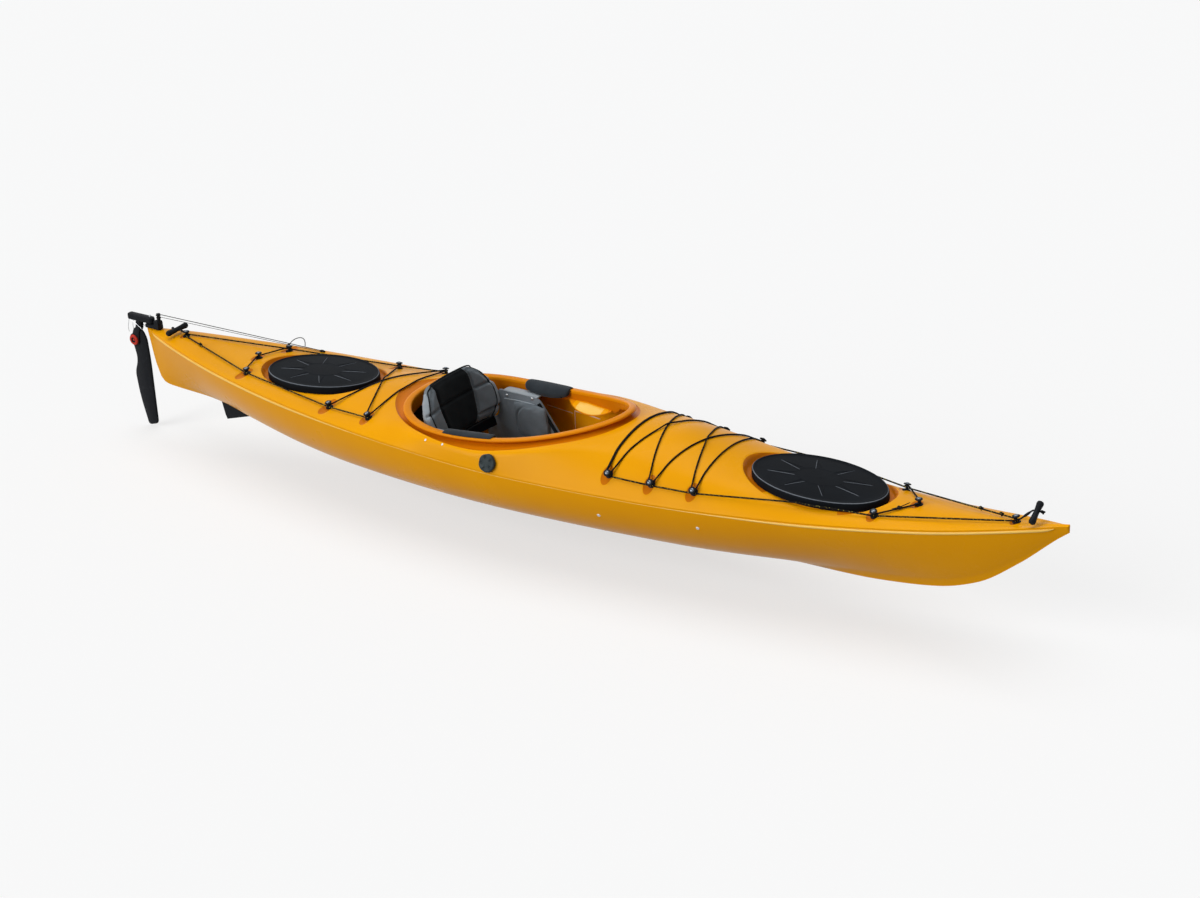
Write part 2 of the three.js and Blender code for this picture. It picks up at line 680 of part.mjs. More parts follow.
// at(u, v) gives the point on the back of the pad, the outward direction and how far each face lies from it
function padded(columns, rows, at) {
  const points = [];
  const faces = [];
  const side = (sign) => (i, j) => {
    const [u, v] = [(2 * i) / columns - 1, (2 * j) / rows - 1];
    const { point, out, front, back } = at(u, v);
    const edge = i === 0 || j === 0 || i === columns || j === rows;
    const depth = edge ? (front - back) / 2 : sign > 0 ? front : -back;
    return point.clone().addScaledVector(out, depth).toArray();
  };
  const index = { 1: [], [-1]: [] };
  for (const sign of [1, -1]) {
    for (let j = 0; j <= rows; j++) {
      for (let i = 0; i <= columns; i++) {
        const edge = i === 0 || j === 0 || i === columns || j === rows;
        if (sign < 0 && edge) {
          index[sign].push(index[1][j * (columns + 1) + i]);
        } else {
          index[sign].push(points.length);
          points.push(side(sign)(i, j));
        }
      }
    }
    for (let j = 0; j < rows; j++) {
      for (let i = 0; i < columns; i++) {
        const a = index[sign][j * (columns + 1) + i];
        const b = index[sign][j * (columns + 1) + i + 1];
        const c = index[sign][(j + 1) * (columns + 1) + i + 1];
        const d = index[sign][(j + 1) * (columns + 1) + i];
        if (sign > 0) faces.push([a, b, c], [a, c, d]);
        else faces.push([a, c, b], [a, d, c]);
      }
    }
  }
  return closedMesh(points, faces);
}

// How full a pad is at u, v: 1 in the middle, falling to 0 round its edge
const fullness = (u, v, power = 6) => ((1 - Math.abs(u) ** power) * (1 - Math.abs(v) ** power)) ** 0.5;

// How deep a sewn channel is at a distance from its seam: 1 on the seam
const channel = (distance, width) => Math.exp(-((distance / width) ** 2));

// Seat and backrest sizes

const SEAT_FORE_SHARE = 0.0795;
const SEAT_AFT_SHARE = -0.2925;
const SEAT_BREADTH = 384;
const SEAT_PAN_HEIGHT = 60;
const SEAT_WALL = 8;
const SEAT_FOOT = 30;
const WING_HANG = 36;
const WING_LOW_TOP = 172;
const WING_AFT = 22;
const WING_FRONT_TOP_SHARE = 0.451;
const WING_FRONT_FOOT = 12;
const [seatAft, seatFore] = [besideCoaming(SEAT_AFT_SHARE), besideCoaming(SEAT_FORE_SHARE)];
const seatLength = seatFore - seatAft;
const wingTop = COAMING_SIDE_HEIGHT_SHARE * BOW_HEIGHT - WING_HANG;
const wingY = SEAT_BREADTH / 2 + SEAT_WALL / 2;

// Backrest: a plate on a pivot behind the seat, with a shield-shaped pad whose sides wrap forward

const BACK_PIVOT_HEIGHT = 150;
const BACK_PIVOT_AFT = 40;
const BACK_LEAN = (16.7 * Math.PI) / 180;
const BACK_HEIGHT = 236;
const BACK_LOW = 24;
const BACK_WRAP = 42;
const BACK_PAD = 36;
const BACK_PLATE = 7;
const BACK_PIN_RADIUS = 5;
const BACK_RUNNING = 0.4;
const BACK_HALF = 205;
const PLATE_STEPS = 12;
const PLATE_SHARE = 0.86;
const PLATE_ROUND_SHARE = 0.4;
const BACK_WRAP_POWER = 2.4;
const BACK_PAD_POWER = 5;
const BOLSTER_SHARE = 0.25;
const PANEL_SEAM_SHARE = 0.52;
const CROSS_SEAM_SHARE = 0.58;
// Half breadth of the pad up its height, as shares of its widest half breadth
const backBreadthShares = [[0, 0.86], [0.27, 1], [0.49, 0.975], [0.74, 0.83], [0.89, 0.68], [1, 0.56]];

const backPivot = new THREE.Vector3(seatAft - BACK_PIVOT_AFT, 0, BACK_PIVOT_HEIGHT);
const backUp = new THREE.Vector3(-Math.sin(BACK_LEAN), 0, Math.cos(BACK_LEAN));
const backOut = new THREE.Vector3(Math.cos(BACK_LEAN), 0, Math.sin(BACK_LEAN));

// Seat shell: a pan with a foot on the keel and two side wings that hang on the coaming
function seatShell() {
  const panFoot = SEAT_PAN_HEIGHT - SEAT_WALL;
  const outerY = SEAT_BREADTH / 2 + SEAT_WALL;
  const flangeEnd = seatFore - seatLength * WING_FRONT_TOP_SHARE;
  const ear = backPivot.x - WING_AFT;
  const outline = [
    [ear, panFoot],
    [seatFore, panFoot],
    [seatFore, SEAT_PAN_HEIGHT + WING_FRONT_FOOT],
    [flangeEnd, wingTop],
    [seatAft + WING_AFT, wingTop],
    [seatAft + WING_AFT, WING_LOW_TOP + WING_AFT],
    [seatAft, WING_LOW_TOP],
    [ear, WING_LOW_TOP],
  ];
  let shell = solidOf(block(seatAft, seatFore, -outerY, outerY, panFoot, SEAT_PAN_HEIGHT));
  const [footAft, footFore] = [seatAft + seatLength / 4, seatFore - seatLength / 4];
  const [footLow, footHigh] = [WALL + GAP * 2, panFoot + SEAT_WALL / 2];
  const foot = block(footAft, footFore, -SEAT_FOOT / 2, SEAT_FOOT / 2, footLow, footHigh);
  shell = shell.add(solidOf(foot));
  const reach = Math.min(neckBreadth(seatAft + WING_AFT), neckBreadth(flangeEnd)) - GAP;
  for (const side of [1, -1]) {
    shell = shell.add(solidOf(sidePrism(outline, side * wingY, SEAT_WALL)));
    const [y0, y1] = [SEAT_BREADTH / 2, reach].map((y) => side * y).sort((a, b) => a - b);
    shell = shell.add(solidOf(block(seatAft + WING_AFT, flangeEnd, y0, y1, wingTop - SEAT_WALL, wingTop)));
  }
  const bore = rod(BACK_PIN_RADIUS + BACK_RUNNING, SEAT_BREADTH * 2, 12, backPivot, PORT);
  return shell.subtract(solidOf(bore));
}

const CUSHION_THICKNESS = 42;
const CUSHION_MARGIN = 6;
const CHANNEL_WIDTH = 11;
const CHANNEL_DEPTH = 10;
const SEAT_CHANNEL_SHARE = 0.42;
const SEAT_DISH_SHARE = 0.38;
const DRAWN_SHARE = 0.05;

function seatCushion() {
  const half = SEAT_BREADTH / 2 - CUSHION_MARGIN;
  const length = seatLength - CUSHION_MARGIN * 3;
  const centre = (seatAft + seatFore) / 2 + CUSHION_MARGIN;
  return padded(16, 12, (u, v) => {
    const seam = channel((Math.abs(u) - SEAT_CHANNEL_SHARE) * half, CHANNEL_WIDTH);
    const dish = CUSHION_THICKNESS * (1 - SEAT_DISH_SHARE * (1 - u * u));
    const base = SEAT_PAN_HEIGHT + GAP * 2;
    const full = dish * fullness(u, v) - CHANNEL_DEPTH * seam * fullness(u, v);
    const drawn = 1 - DRAWN_SHARE * (1 - fullness(u, v)) * u * u * v * v;
    return {
      point: new THREE.Vector3(centre + (v * length * drawn) / 2, u * half * drawn, base),
      out: UP,
      front: Math.max(full, GAP),
      back: 0,
    };
  });
}

const HIP_PAD_LENGTH = 170;
const HIP_PAD_HEIGHT = 150;
const HIP_PAD_THICKNESS = 16;
const HIP_PAD_LEAN = 15;
const HIP_PAD_POWER = 4;
const HIP_SEAM_SHARE = 0.72;
const HIP_SEAM_DEPTH_SHARE = 0.35;

function hipPad(side) {
  const centre = (seatAft + seatFore) / 2 + CUSHION_MARGIN;
  const middle = (SEAT_PAN_HEIGHT + wingTop) / 2 + CUSHION_MARGIN;
  return padded(10, 8, (u, v) => {
    const seam = channel((Math.hypot(u, v) - HIP_SEAM_SHARE) * HIP_PAD_HEIGHT / 2, CHANNEL_WIDTH / 2);
    const full = HIP_PAD_THICKNESS * fullness(u, v, HIP_PAD_POWER) * (1 - HIP_SEAM_DEPTH_SHARE * seam);
    const x = centre + (u * HIP_PAD_LENGTH) / 2 - (HIP_PAD_LEAN * (v + 1)) / 2;
    return {
      point: new THREE.Vector3(x, side * (SEAT_BREADTH / 2 - GAP), middle + (v * HIP_PAD_HEIGHT) / 2),
      out: new THREE.Vector3(0, -side, 0),
      front: Math.max(full, GAP),
      back: 0,
    };
  });
}

place("seat_shell", seatShell(), greyPlastic);
place("seat_cushion", seatCushion(), greyFabric);
place("hip_pad_port", hipPad(1), greyFabric);
place("hip_pad_starboard", hipPad(-1), greyFabric);

// A point of the backrest: share across, height up the back, depth forward
function backPoint(across, height, depth) {
  const point = backPivot.clone().addScaledVector(backUp, height).addScaledVector(backOut, depth);
  point.y = across;
  return point;
}

function backWrap(u) {
  return BACK_WRAP * Math.abs(u) ** BACK_WRAP_POWER;
}

function backrestCushion() {
  return padded(16, 12, (u, v) => {
    const share = (v + 1) / 2;
    const half = BACK_HALF * follow(backBreadthShares, share);
    const local = (u * half) / BACK_HALF;
    const panelSeam = channel((Math.abs(u) - PANEL_SEAM_SHARE) * half, CHANNEL_WIDTH);
    const crossSeam = channel((share - CROSS_SEAM_SHARE) * BACK_HEIGHT, CHANNEL_WIDTH);
    const filled = fullness(u, v, BACK_PAD_POWER);
    const full = BACK_PAD * (1 + BOLSTER_SHARE * u * u) * filled;
    const sewn = CHANNEL_DEPTH * Math.max(panelSeam, crossSeam) * filled;
    return {
      point: backPoint(u * half, BACK_LOW + share * BACK_HEIGHT, BACK_PLATE + GAP * 2 + backWrap(local)),
      out: backOut,
      front: Math.max(full - sewn, GAP),
      back: 0,
    };
  });
}

function backrestPlate() {
  const rings = [];
  for (let k = 0; k <= PLATE_STEPS; k++) {
    const u = ((2 * k) / PLATE_STEPS - 1) * PLATE_SHARE;
    const across = u * BACK_HALF;
    const top = BACK_LOW + BACK_HEIGHT * PLATE_SHARE * (1 - PLATE_ROUND_SHARE * u * u);
    const wrap = backWrap(u) - GAP;
    const [foot, face] = [-BACK_LOW / 2, BACK_PLATE - GAP];
    const corners = [[foot, 0], [foot, face], [top, face], [top, 0]];
    rings.push(corners.map(([height, depth]) => backPoint(across, height, wrap + depth).toArray()));
  }
  const pin = rod(BACK_PIN_RADIUS, SEAT_BREADTH + SEAT_WALL * 2, 12, backPivot, PORT);
  return solidOf(loft(rings)).add(solidOf(pin));
}

place("backrest_plate", backrestPlate(), blackPlastic);
place("backrest_cushion", backrestCushion(), greyFabric);

// Thigh pads: soft rolls folded over the lip beside the seat
const THIGH_AFT_SHARE = -0.18;
const THIGH_FORE_SHARE = 0.0447;
const THIGH_STEPS = 10;
const THIGH_END_SHARE = 0.4;
// The pad's outer face, from the lip's inner edge, as shares of the lip's breadth: [outward, up]
const thighFaceShares = [
  [0.72, 0.2], [0.2, 0.42], [-0.45, 0.32], [-1.05, -0.15], [-1.15, -0.6], [-0.9, -0.9], [-0.25, -0.95],
];
const THIGH_FOOT_SHARE = 0.86;

function thighPad(side) {
  const inner = -LIP_BREADTH / 2;
  const rings = [];
  for (let k = 0; k <= THIGH_STEPS; k++) {
    const t = k / THIGH_STEPS;
    const x = besideCoaming(THIGH_AFT_SHARE + (THIGH_FORE_SHARE - THIGH_AFT_SHARE) * t);
    const full = THIGH_END_SHARE + (1 - THIGH_END_SHARE) * Math.sin(Math.PI * t) ** 0.5;
    const face = thighFaceShares.map(([out, up]) => [
      inner + out * LIP_BREADTH * (out > 0 ? 1 : full),
      up * LIP_BREADTH * full,
    ]);
    const held = [
      [inner - GAP, -THIGH_FOOT_SHARE * LIP_BREADTH * full],
      [inner - GAP, -LIP_ROUND],
      [inner + LIP_ROUND - GAP, GAP],
      [face[0][0], GAP],
    ];
    rings.push([...face, ...held].map(([grow, rise]) => {
      const [y, z] = coamingAt(x, grow);
      return [x, side * y, z + rise];
    }));
  }
  return loft(rings);
}

place("thigh_pad_port", thighPad(1), greyFabric);
place("thigh_pad_starboard", thighPad(-1), greyFabric);

// Foot rails on the hull's sides, each with a pedal that slides along it
const RAIL_THICKNESS = 14;
const RAIL_HEIGHT = 26;
const RAIL_END = 22;
const railEnds = [{ share: 0.1894, heightShare: 0.403 }, { share: 0.3784, heightShare: 0.461 }];
const CARRIAGE_LENGTH = 56;
const CARRIAGE_WALL = 6;
const CARRIAGE_HOLD = 3;
const PEDAL_THICKNESS = 10;
const PEDAL_REACH = 84;
const PEDAL_TOP = 74;
const PEDAL_FOOT = 24;
const PEDAL_CORNER = 14;

function innerBreadth(x, z) {
  const half = hullHalf(x, WALL + GAP);
  const k = half.findIndex(([, height]) => height >= z);
  const [[y0, z0], [y1, z1]] = [half[k - 1], half[k]];
  return y0 + ((y1 - y0) * (z - z0)) / (z1 - z0);
}

// A frame at the rail's middle: X along it, Z up, Y across it to port
function railFrame(side) {
  const [aft, fore] = railEnds.map(({ share, heightShare }) => {
    const [x, z] = [share * HALF_LENGTH, heightShare * BOW_HEIGHT];
    return new THREE.Vector3(x, side * (innerBreadth(x, z) - RAIL_THICKNESS / 2), z);
  });
  const along = fore.clone().sub(aft);
  const length = along.length() + RAIL_END * 2;
  along.normalize();
  const up = UP.clone().addScaledVector(along, -along.z).normalize();
  const across = new THREE.Vector3().crossVectors(up, along);
  const matrix = new THREE.Matrix4().makeBasis(along, across, up);
  return { matrix: matrix.setPosition(aft.add(fore).divideScalar(2)), length, along };
}

function footRail(side) {
  const { matrix, length } = railFrame(side);
  const [half, high] = [RAIL_THICKNESS / 2, RAIL_HEIGHT / 2];
  const bar = block(-length / 2, length / 2, -half, half, -high, high).applyMatrix4(matrix);
  return solidOf(bar).intersect(cabin);
}

function footPedal(side) {
  const { matrix } = railFrame(side);
  const inward = (near, far) => [near, far].map((y) => -side * y).sort((a, b) => a - b);
  const [half, high] = [CARRIAGE_LENGTH / 2, RAIL_HEIGHT / 2];
  const face = RAIL_THICKNESS / 2 + GAP;
  const slab = ([y0, y1], z0, z1) => solidOf(block(-half, half, y0, y1, z0, z1).applyMatrix4(matrix));
  const lip = high + GAP;
  let pedal = slab(inward(face, face + CARRIAGE_WALL), -lip - CARRIAGE_WALL, lip + CARRIAGE_WALL);
  const hold = inward(face - CARRIAGE_HOLD, face + CARRIAGE_WALL);
  pedal = pedal.add(slab(hold, lip, lip + CARRIAGE_WALL)).add(slab(hold, -lip - CARRIAGE_WALL, -lip));
  const [near, far] = [face + CARRIAGE_WALL / 2, face + PEDAL_REACH];
  const outline = [
    [near, -PEDAL_FOOT + PEDAL_CORNER], [near + PEDAL_CORNER, -PEDAL_FOOT], [far - PEDAL_CORNER, -PEDAL_FOOT],
    [far, -PEDAL_FOOT + PEDAL_CORNER], [far, PEDAL_TOP - PEDAL_CORNER], [far - PEDAL_CORNER, PEDAL_TOP],
    [near + PEDAL_CORNER, PEDAL_TOP], [near, PEDAL_TOP - PEDAL_CORNER],
  ];
  const sheet = loft([-half, -half + PEDAL_THICKNESS].map((x) => outline.map(([y, z]) => [x, -side * y, z])));
  pedal = pedal.add(solidOf(sheet.applyMatrix4(matrix)));
  return pedal.add(slab(inward(near, near + PEDAL_REACH / 4), -CARRIAGE_WALL / 2, CARRIAGE_WALL / 2));
}

for (const [name, side] of [["port", 1], ["starboard", -1]]) {
  place(`foot_rail_${name}`, footRail(side), blackPlastic);
  place(`foot_pedal_${name}`, footPedal(side), blackPlastic);
}

// Deck fittings: capped posts that hold the deck lines low and the elastic cords above them
const BASE_RADIUS = 14;
const BASE_DEPTH = 3;
const POST_RADIUS = 4;
const CAP_RADIUS = 13;
const CAP_DEPTH = 5;
const FITTING_SIDES = 10;
const LINE_RADIUS = 2.75;
const BUNGEE_RADIUS = 2.85;
const LOW_LEVEL = BASE_DEPTH + GAP + LINE_RADIUS;
const HIGH_LEVEL = LOW_LEVEL + LINE_RADIUS + GAP * 3 + BUNGEE_RADIUS;
const CAP_ROOM = 2;
const CAP_FOOT = HIGH_LEVEL + BUNGEE_RADIUS + CAP_ROOM;

// The second rear pair stands beside the hatch cover, this far aft of its fore end
const BESIDE_COVER = 48.4;
const besideRearCover = (hatches[1].x + HATCH_LENGTH / 2 - BESIDE_COVER) / HALF_LENGTH;

// Places of the fittings: shares of the half length and of the half breadth
const fittingShares = [
  { name: "fore_1", at: 0.2055, out: 0.7465 },
  { name: "fore_2", at: 0.2879, out: 0.7092 },
  { name: "fore_3", at: 0.3678, out: 0.6563 },
  { name: "fore_4", at: 0.6819, out: 0.3328 },
  { name: "aft_1", at: -0.3342, out: 0.703 },
  { name: "aft_2", at: besideRearCover, out: 0.6314 },
  { name: "aft_3", at: -0.6804, out: 0.3764 },
  { name: "fore_centre", at: 0.7342, out: 0 },
  { name: "bow", at: 0.9085, out: 0 },
  { name: "aft_centre", at: -0.704, out: 0 },
  { name: "stern", at: -0.8945, out: 0 },
];

// A fitting's own frame, square to the deck round its base and just clear of it
function seatOnDeck(x, y) {
  const touch = (dx, dy) => deckPoint(x + dx * BASE_RADIUS, y + dy * BASE_RADIUS).point;
  const fore = touch(1, 0).sub(touch(-1, 0)).normalize();
  const normal = new THREE.Vector3().crossVectors(fore, touch(0, 1).sub(touch(0, -1))).normalize();
  const port = new THREE.Vector3().crossVectors(normal, fore);
  const centre = touch(0, 0);
  const heights = Array.from({ length: FITTING_SIDES * 2 }, (_, k) => {
    const angle = (Math.PI * k) / FITTING_SIDES;
    return touch(Math.cos(angle), Math.sin(angle)).sub(centre).dot(normal);
  });
  return { base: centre.addScaledVector(normal, Math.max(0, ...heights) + GAP), normal, fore, port };
}

const fittingProfile = [
  [0, 0], [BASE_RADIUS, 0], [BASE_RADIUS, BASE_DEPTH / 2], [POST_RADIUS, BASE_DEPTH],
  [POST_RADIUS, CAP_FOOT], [CAP_RADIUS, CAP_FOOT], [CAP_RADIUS, CAP_FOOT + CAP_DEPTH / 2],
  [CAP_RADIUS / 2, CAP_FOOT + CAP_DEPTH], [0, CAP_FOOT + CAP_DEPTH],
];

const posts = {};
for (const { name, at, out } of fittingShares) {
  const sides = out > 0 ? [["_port", 1], ["_starboard", -1]] : [["", 0]];
  for (const [suffix, side] of sides) {
    const post = seatOnDeck(at * HALF_LENGTH, (side * out * BEAM) / 2);
    posts[name + suffix] = post;
    const shape = turned(fittingProfile, FITTING_SIDES, post.base, post.normal);
    place(`fitting_${name}${suffix}`, shape, blackPlastic);
  }
}

// Lacing: a cord taut over the deck, bent round each post it visits

const WRAP_STEP = Math.PI / 4;
const END_TURN = Math.PI;
const TAUT_STEPS = 60;
const TAUT_SLACK = 0.25;
const CORD_LIFT = 1.8;

// Stops of a route: a post with the way round it (1 turns to port, -1 to starboard), or a bare point
const round = (name, level, way = 1) => ({ post: posts[name], centre: posts[name].base, level, way });
const through = (point) => ({ centre: point, way: 0 });

const wrapRadius = (radius) => (POST_RADIUS + radius + GAP) / Math.cos(WRAP_STEP / 2);

function wrapPoint({ post, level }, angle, reach) {
  const spoke = post.fore.clone().multiplyScalar(Math.cos(angle)).addScaledVector(post.port, Math.sin(angle));
  return post.base.clone().addScaledVector(post.normal, level).addScaledVector(spoke, reach);
}

function headingBetween(a, b, reach) {
  const [dx, dy] = [b.centre.x - a.centre.x, b.centre.y - a.centre.y];
  return Math.atan2(dy, dx) + Math.asin((reach * (a.way - b.way)) / Math.hypot(dx, dy));
}

// The bend round one stop, from the heading it is reached on to the heading it is left on
function bend(stop, arrive, leave, reach) {
  if (!stop.post) return [stop.centre.clone()];
  const quarter = (Math.PI / 2) * stop.way;
  let turn = leave - arrive;
  while (turn * stop.way < -WRAP_STEP / 2) turn += 2 * Math.PI * stop.way;
  while (turn * stop.way > 2 * Math.PI) turn -= 2 * Math.PI * stop.way;
  const steps = Math.max(1, Math.ceil(Math.abs(turn) / WRAP_STEP - MERGE));
  const angles = Array.from({ length: steps + 1 }, (_, k) => arrive - quarter + (turn * k) / steps);
  return angles.map((angle) => wrapPoint(stop, angle, reach));
}

// Where a straight leg from one point to another passes over an older line, as [share, height]
function crossing(from, to, line) {
  for (let k = 0; k + 1 < line.length; k++) {
    const [a, b] = [line[k], line[k + 1]];
    const [ux, uy, vx, vy] = [to.x - from.x, to.y - from.y, b.x - a.x, b.y - a.y];
    const area = ux * vy - uy * vx;
    const share = ((a.x - from.x) * vy - (a.y - from.y) * vx) / area;
    const along = ((a.x - from.x) * uy - (a.y - from.y) * ux) / area;
    if (share > 0 && share < 1 && along >= 0 && along < 1) return [share, a.z + (b.z - a.z) * along];
  }
  return null;
}

// The points a taut leg touches between its ends: the upper hull over the deck and older lines
function taut(from, to, radius, older) {
  const rows = [[0, from.z]];
  for (let k = 1; k < TAUT_STEPS; k++) {
    const share = k / TAUT_STEPS;
    const [x, y] = [from.x + (to.x - from.x) * share, from.y + (to.y - from.y) * share];
    rows.push([share, deckPoint(x, y).point.z + radius + CORD_LIFT]);
  }
  for (const line of older) {
    const hit = crossing(from, to, line);
    if (hit) rows.push([hit[0], hit[1] + radius * 2 + GAP * 3]);
  }
  rows.push([1, to.z]);
  rows.sort((a, b) => a[0] - b[0]);
  const hull = [];
  for (const row of rows) {
    while (hull.length > 1) {
      const [[s0, z0], [s1, z1]] = hull.slice(-2);
      if (z1 - TAUT_SLACK > z0 + ((row[1] - z0) * (s1 - s0)) / (row[0] - s0)) break;
      hull.pop();
    }
    hull.push(row);
  }
  return hull.slice(1, -1).map(([share, z]) => from.clone().lerp(to, share).setZ(z));
}

function laced(stops, radius, closed = false) {
  const reach = wrapRadius(radius);
  const count = stops.length;
  const legs = closed ? count : count - 1;
  const onward = stops.slice(0, legs);
  const headings = onward.map((stop, k) => headingBetween(stop, stops[(k + 1) % count], reach));
  const bends = stops.map((stop, k) => {
    const first = !closed && k === 0;
    const last = !closed && k === count - 1;
    const arrive = first ? headings[0] - END_TURN * stop.way : headings[(k - 1 + count) % count];
    const leave = last ? headings[legs - 1] + END_TURN * stop.way : headings[k];
    return bend(stop, arrive, leave, reach);
  });
  const points = [];
  const older = [];
  bends.forEach((points_, k) => {
    points.push(...points_);
    if (k >= legs) return;
    const [from, to] = [points_.at(-1), bends[(k + 1) % count][0]];
    const middle = taut(from, to, radius, older);
    older.push([from, ...middle, to]);
    points.push(...middle);
  });
  return points;
}

// A cord whose ends meet, its rings kept level
function cordLoop(points, radius, sides = 6) {
  const rings = points.map((point, i) => {
    const before = points[(i - 1 + points.length) % points.length];
    const after = points[(i + 1) % points.length];
    const along = after.clone().sub(before).normalize();
    const side = new THREE.Vector3().crossVectors(along, UP).normalize();
    const up = new THREE.Vector3().crossVectors(side, along);
    return Array.from({ length: sides }, (_, k) => {
      const angle = (2 * Math.PI * k) / sides;
      const spoke = up.clone().multiplyScalar(Math.cos(angle)).addScaledVector(side, Math.sin(angle));
      return point.clone().addScaledVector(spoke, radius).toArray();
    });
  });
  return hoop(rings);
}

const low = (name, way) => round(name, LOW_LEVEL, way);
const high = (name, way) => round(name, HIGH_LEVEL, way);
const COVER_CLEARANCE = 10;
const frontHatch = hatches[0];
const coverSide = (side) => through(new THREE.Vector3(
  frontHatch.x,
  side * (HATCH_BREADTH / 2 + COVER_CLEARANCE),
  frontHatch.top - COVER_DEPTH + COVER_CLEARANCE,
));

const foreLine = laced([
  low("fore_1_starboard"), low("fore_2_starboard"), low("fore_3_starboard"), coverSide(-1),
  low("fore_4_starboard"), low("bow"), low("fore_4_port"), coverSide(1),
  low("fore_3_port"), low("fore_2_port"), low("fore_1_port"),
], LINE_RADIUS);
const aftLine = laced([
  low("aft_1_port"), low("aft_2_port"), low("aft_3_port"), low("stern"),
  low("aft_3_starboard"), low("aft_2_starboard"), low("aft_1_starboard"),
], LINE_RADIUS);
place("fore_deck_line", cord(foreLine, LINE_RADIUS), blackCord);
place("aft_deck_line", cord(aftLine, LINE_RADIUS), blackCord);

const foreLacing = laced([
  high("fore_1_starboard", -1), high("fore_1_port", -1), high("fore_2_starboard", 1), high("fore_3_port", -1),
  high("fore_3_starboard", -1), high("fore_2_port", 1),
], BUNGEE_RADIUS, true);
const aftLacing = laced([
  high("aft_2_starboard", 1), high("aft_1_port", -1), high("aft_1_starboard", -1), high("aft_2_port", 1),
], BUNGEE_RADIUS);
place("fore_bungee", cordLoop(foreLacing, BUNGEE_RADIUS), blackCord);
place("aft_bungee", cord(aftLacing, BUNGEE_RADIUS), blackCord);

const foreCross = laced([high("fore_4_starboard"), low("fore_centre"), high("fore_4_port")], BUNGEE_RADIUS);
const aftCross = laced([high("aft_3_port"), low("aft_centre"), high("aft_3_starboard")], BUNGEE_RADIUS);
place("fore_cross_cord", cord(foreCross, BUNGEE_RADIUS), blackCord);
place("aft_cross_cord", cord(aftCross, BUNGEE_RADIUS), blackCord);

// Grab toggles: a bar on a short cord from the end fitting
const TOGGLE_RADIUS = 12;
const TOGGLE_WAIST = 9;
const TOGGLE_BORE = 3.6;
const STOPPER_RADIUS = 7;
const STOPPER_GAP = 1;

function toggleBar(length, centre, axis) {
  const half = length / 2;
  const profile = [
    [0, -half], [TOGGLE_WAIST, -half], [TOGGLE_RADIUS, -half + TOGGLE_WAIST], [TOGGLE_WAIST, 0],
    [TOGGLE_RADIUS, half - TOGGLE_WAIST], [TOGGLE_WAIST, half], [0, half],
  ];
  const bore = rod(TOGGLE_BORE, TOGGLE_RADIUS * 4, 10, centre, BOW);
  return solidOf(turned(profile, 12, centre, axis)).subtract(solidOf(bore));
}

// The cord wraps the post, runs out level, through the bar, and ends in a stopper knot beyond it
function toggleCord(stop, centre, way) {
  const reach = wrapRadius(BUNGEE_RADIUS);
  const beyond = centre.clone().addScaledVector(BOW, way * (TOGGLE_RADIUS + STOPPER_GAP + STOPPER_RADIUS));
  const target = through(centre.clone().addScaledVector(BOW, -way * (TOGGLE_RADIUS + STOPPER_GAP)));
  const heading = headingBetween(stop, target, reach);
  const wrap = bend(stop, heading - END_TURN * stop.way, heading, reach);
  const level = wrap.at(-1).clone().addScaledVector(stop.post.fore, way * BASE_RADIUS);
  const line = cord([...wrap, level, target.centre, beyond], BUNGEE_RADIUS);
  const knot = new THREE.IcosahedronGeometry(STOPPER_RADIUS, 1).translate(...beyond.toArray());
  return solidOf(line).add(solidOf(knot));
}

// Each toggle's place from its fitting: outward to the boat's end, and up
const toggles = [
  { name: "bow", way: 1, length: 96, reach: 70, rise: 54, tilt: 0.6 },
  { name: "stern", way: -1, length: 110, reach: 48, rise: 20, tilt: 0 },
];
for (const { name, way, length, reach, rise, tilt } of toggles) {
  const centre = posts[name].base.clone().add(new THREE.Vector3(way * reach, 0, rise));
  const axis = new THREE.Vector3(0, Math.cos(tilt), Math.sin(tilt));
  place(`${name}_toggle`, toggleBar(length, centre, axis), blackPlastic);
  place(`${name}_toggle_cord`, toggleCord(high(name, 1), centre, way), blackCord);
}

// Rudder: a bracket on the stern, a head that steers on a pintle, and a blade that kicks up
// Along sizes run from the hull's stern end, up sizes from the deck there
const BRACKET_OVERHANG = 2;
const BRACKET_STEP = 47;
const BRACKET_LENGTH = 75;
const BRACKET_HALF = 14;
const BRACKET_LEDGE = 18;
const BRACKET_TOP = 38;
const GUIDE_TOP = 67;
const GUIDE_RADIUS = 7;
const PINTLE_RADIUS = 5;
const PINTLE_DEPTH = 12;
const PINTLE_RUNNING = 0.4;
const PINTLE_ALONG = 20;
const HEAD_TOP = 46;
const HEAD_HALF = 14;
const HEAD_ROUND = 20;
const HEAD_REACH = 100;
const HEAD_STEPS = 16;
const NECK_AFT = 66;
const NECK_FORE = 20;
const CHEEK_THICKNESS = 5;
const CHEEK_RADIUS = 26;
const CHEEK_STEPS = 12;
const BLADE_THICKNESS = 12;
const BLADE_EDGE = 3;
const BLADE_PIN_RADIUS = 4;
const BLADE_RUNNING = 0.5;
const HUB_CAP_RADIUS = 22;
const HUB_CAP_DEPTH = 6;
const HUB_BEHIND = 76;
const HUB_BELOW = 66;
const sternEnd = -HALF_LENGTH;
const deckHeight = (x) => deckPoint(x, 0).point.z;
const sternDeck = Math.max(deckHeight(sternEnd + BRACKET_LENGTH), deckHeight(sternEnd + GAP));
const ledge = sternDeck + BRACKET_LEDGE;
const bracketFore = sternEnd + BRACKET_LENGTH;
const pintle = new THREE.Vector3(sternEnd + PINTLE_ALONG, 0, ledge);
const hub = new THREE.Vector3(sternEnd - HUB_BEHIND, 0, sternDeck - HUB_BELOW);
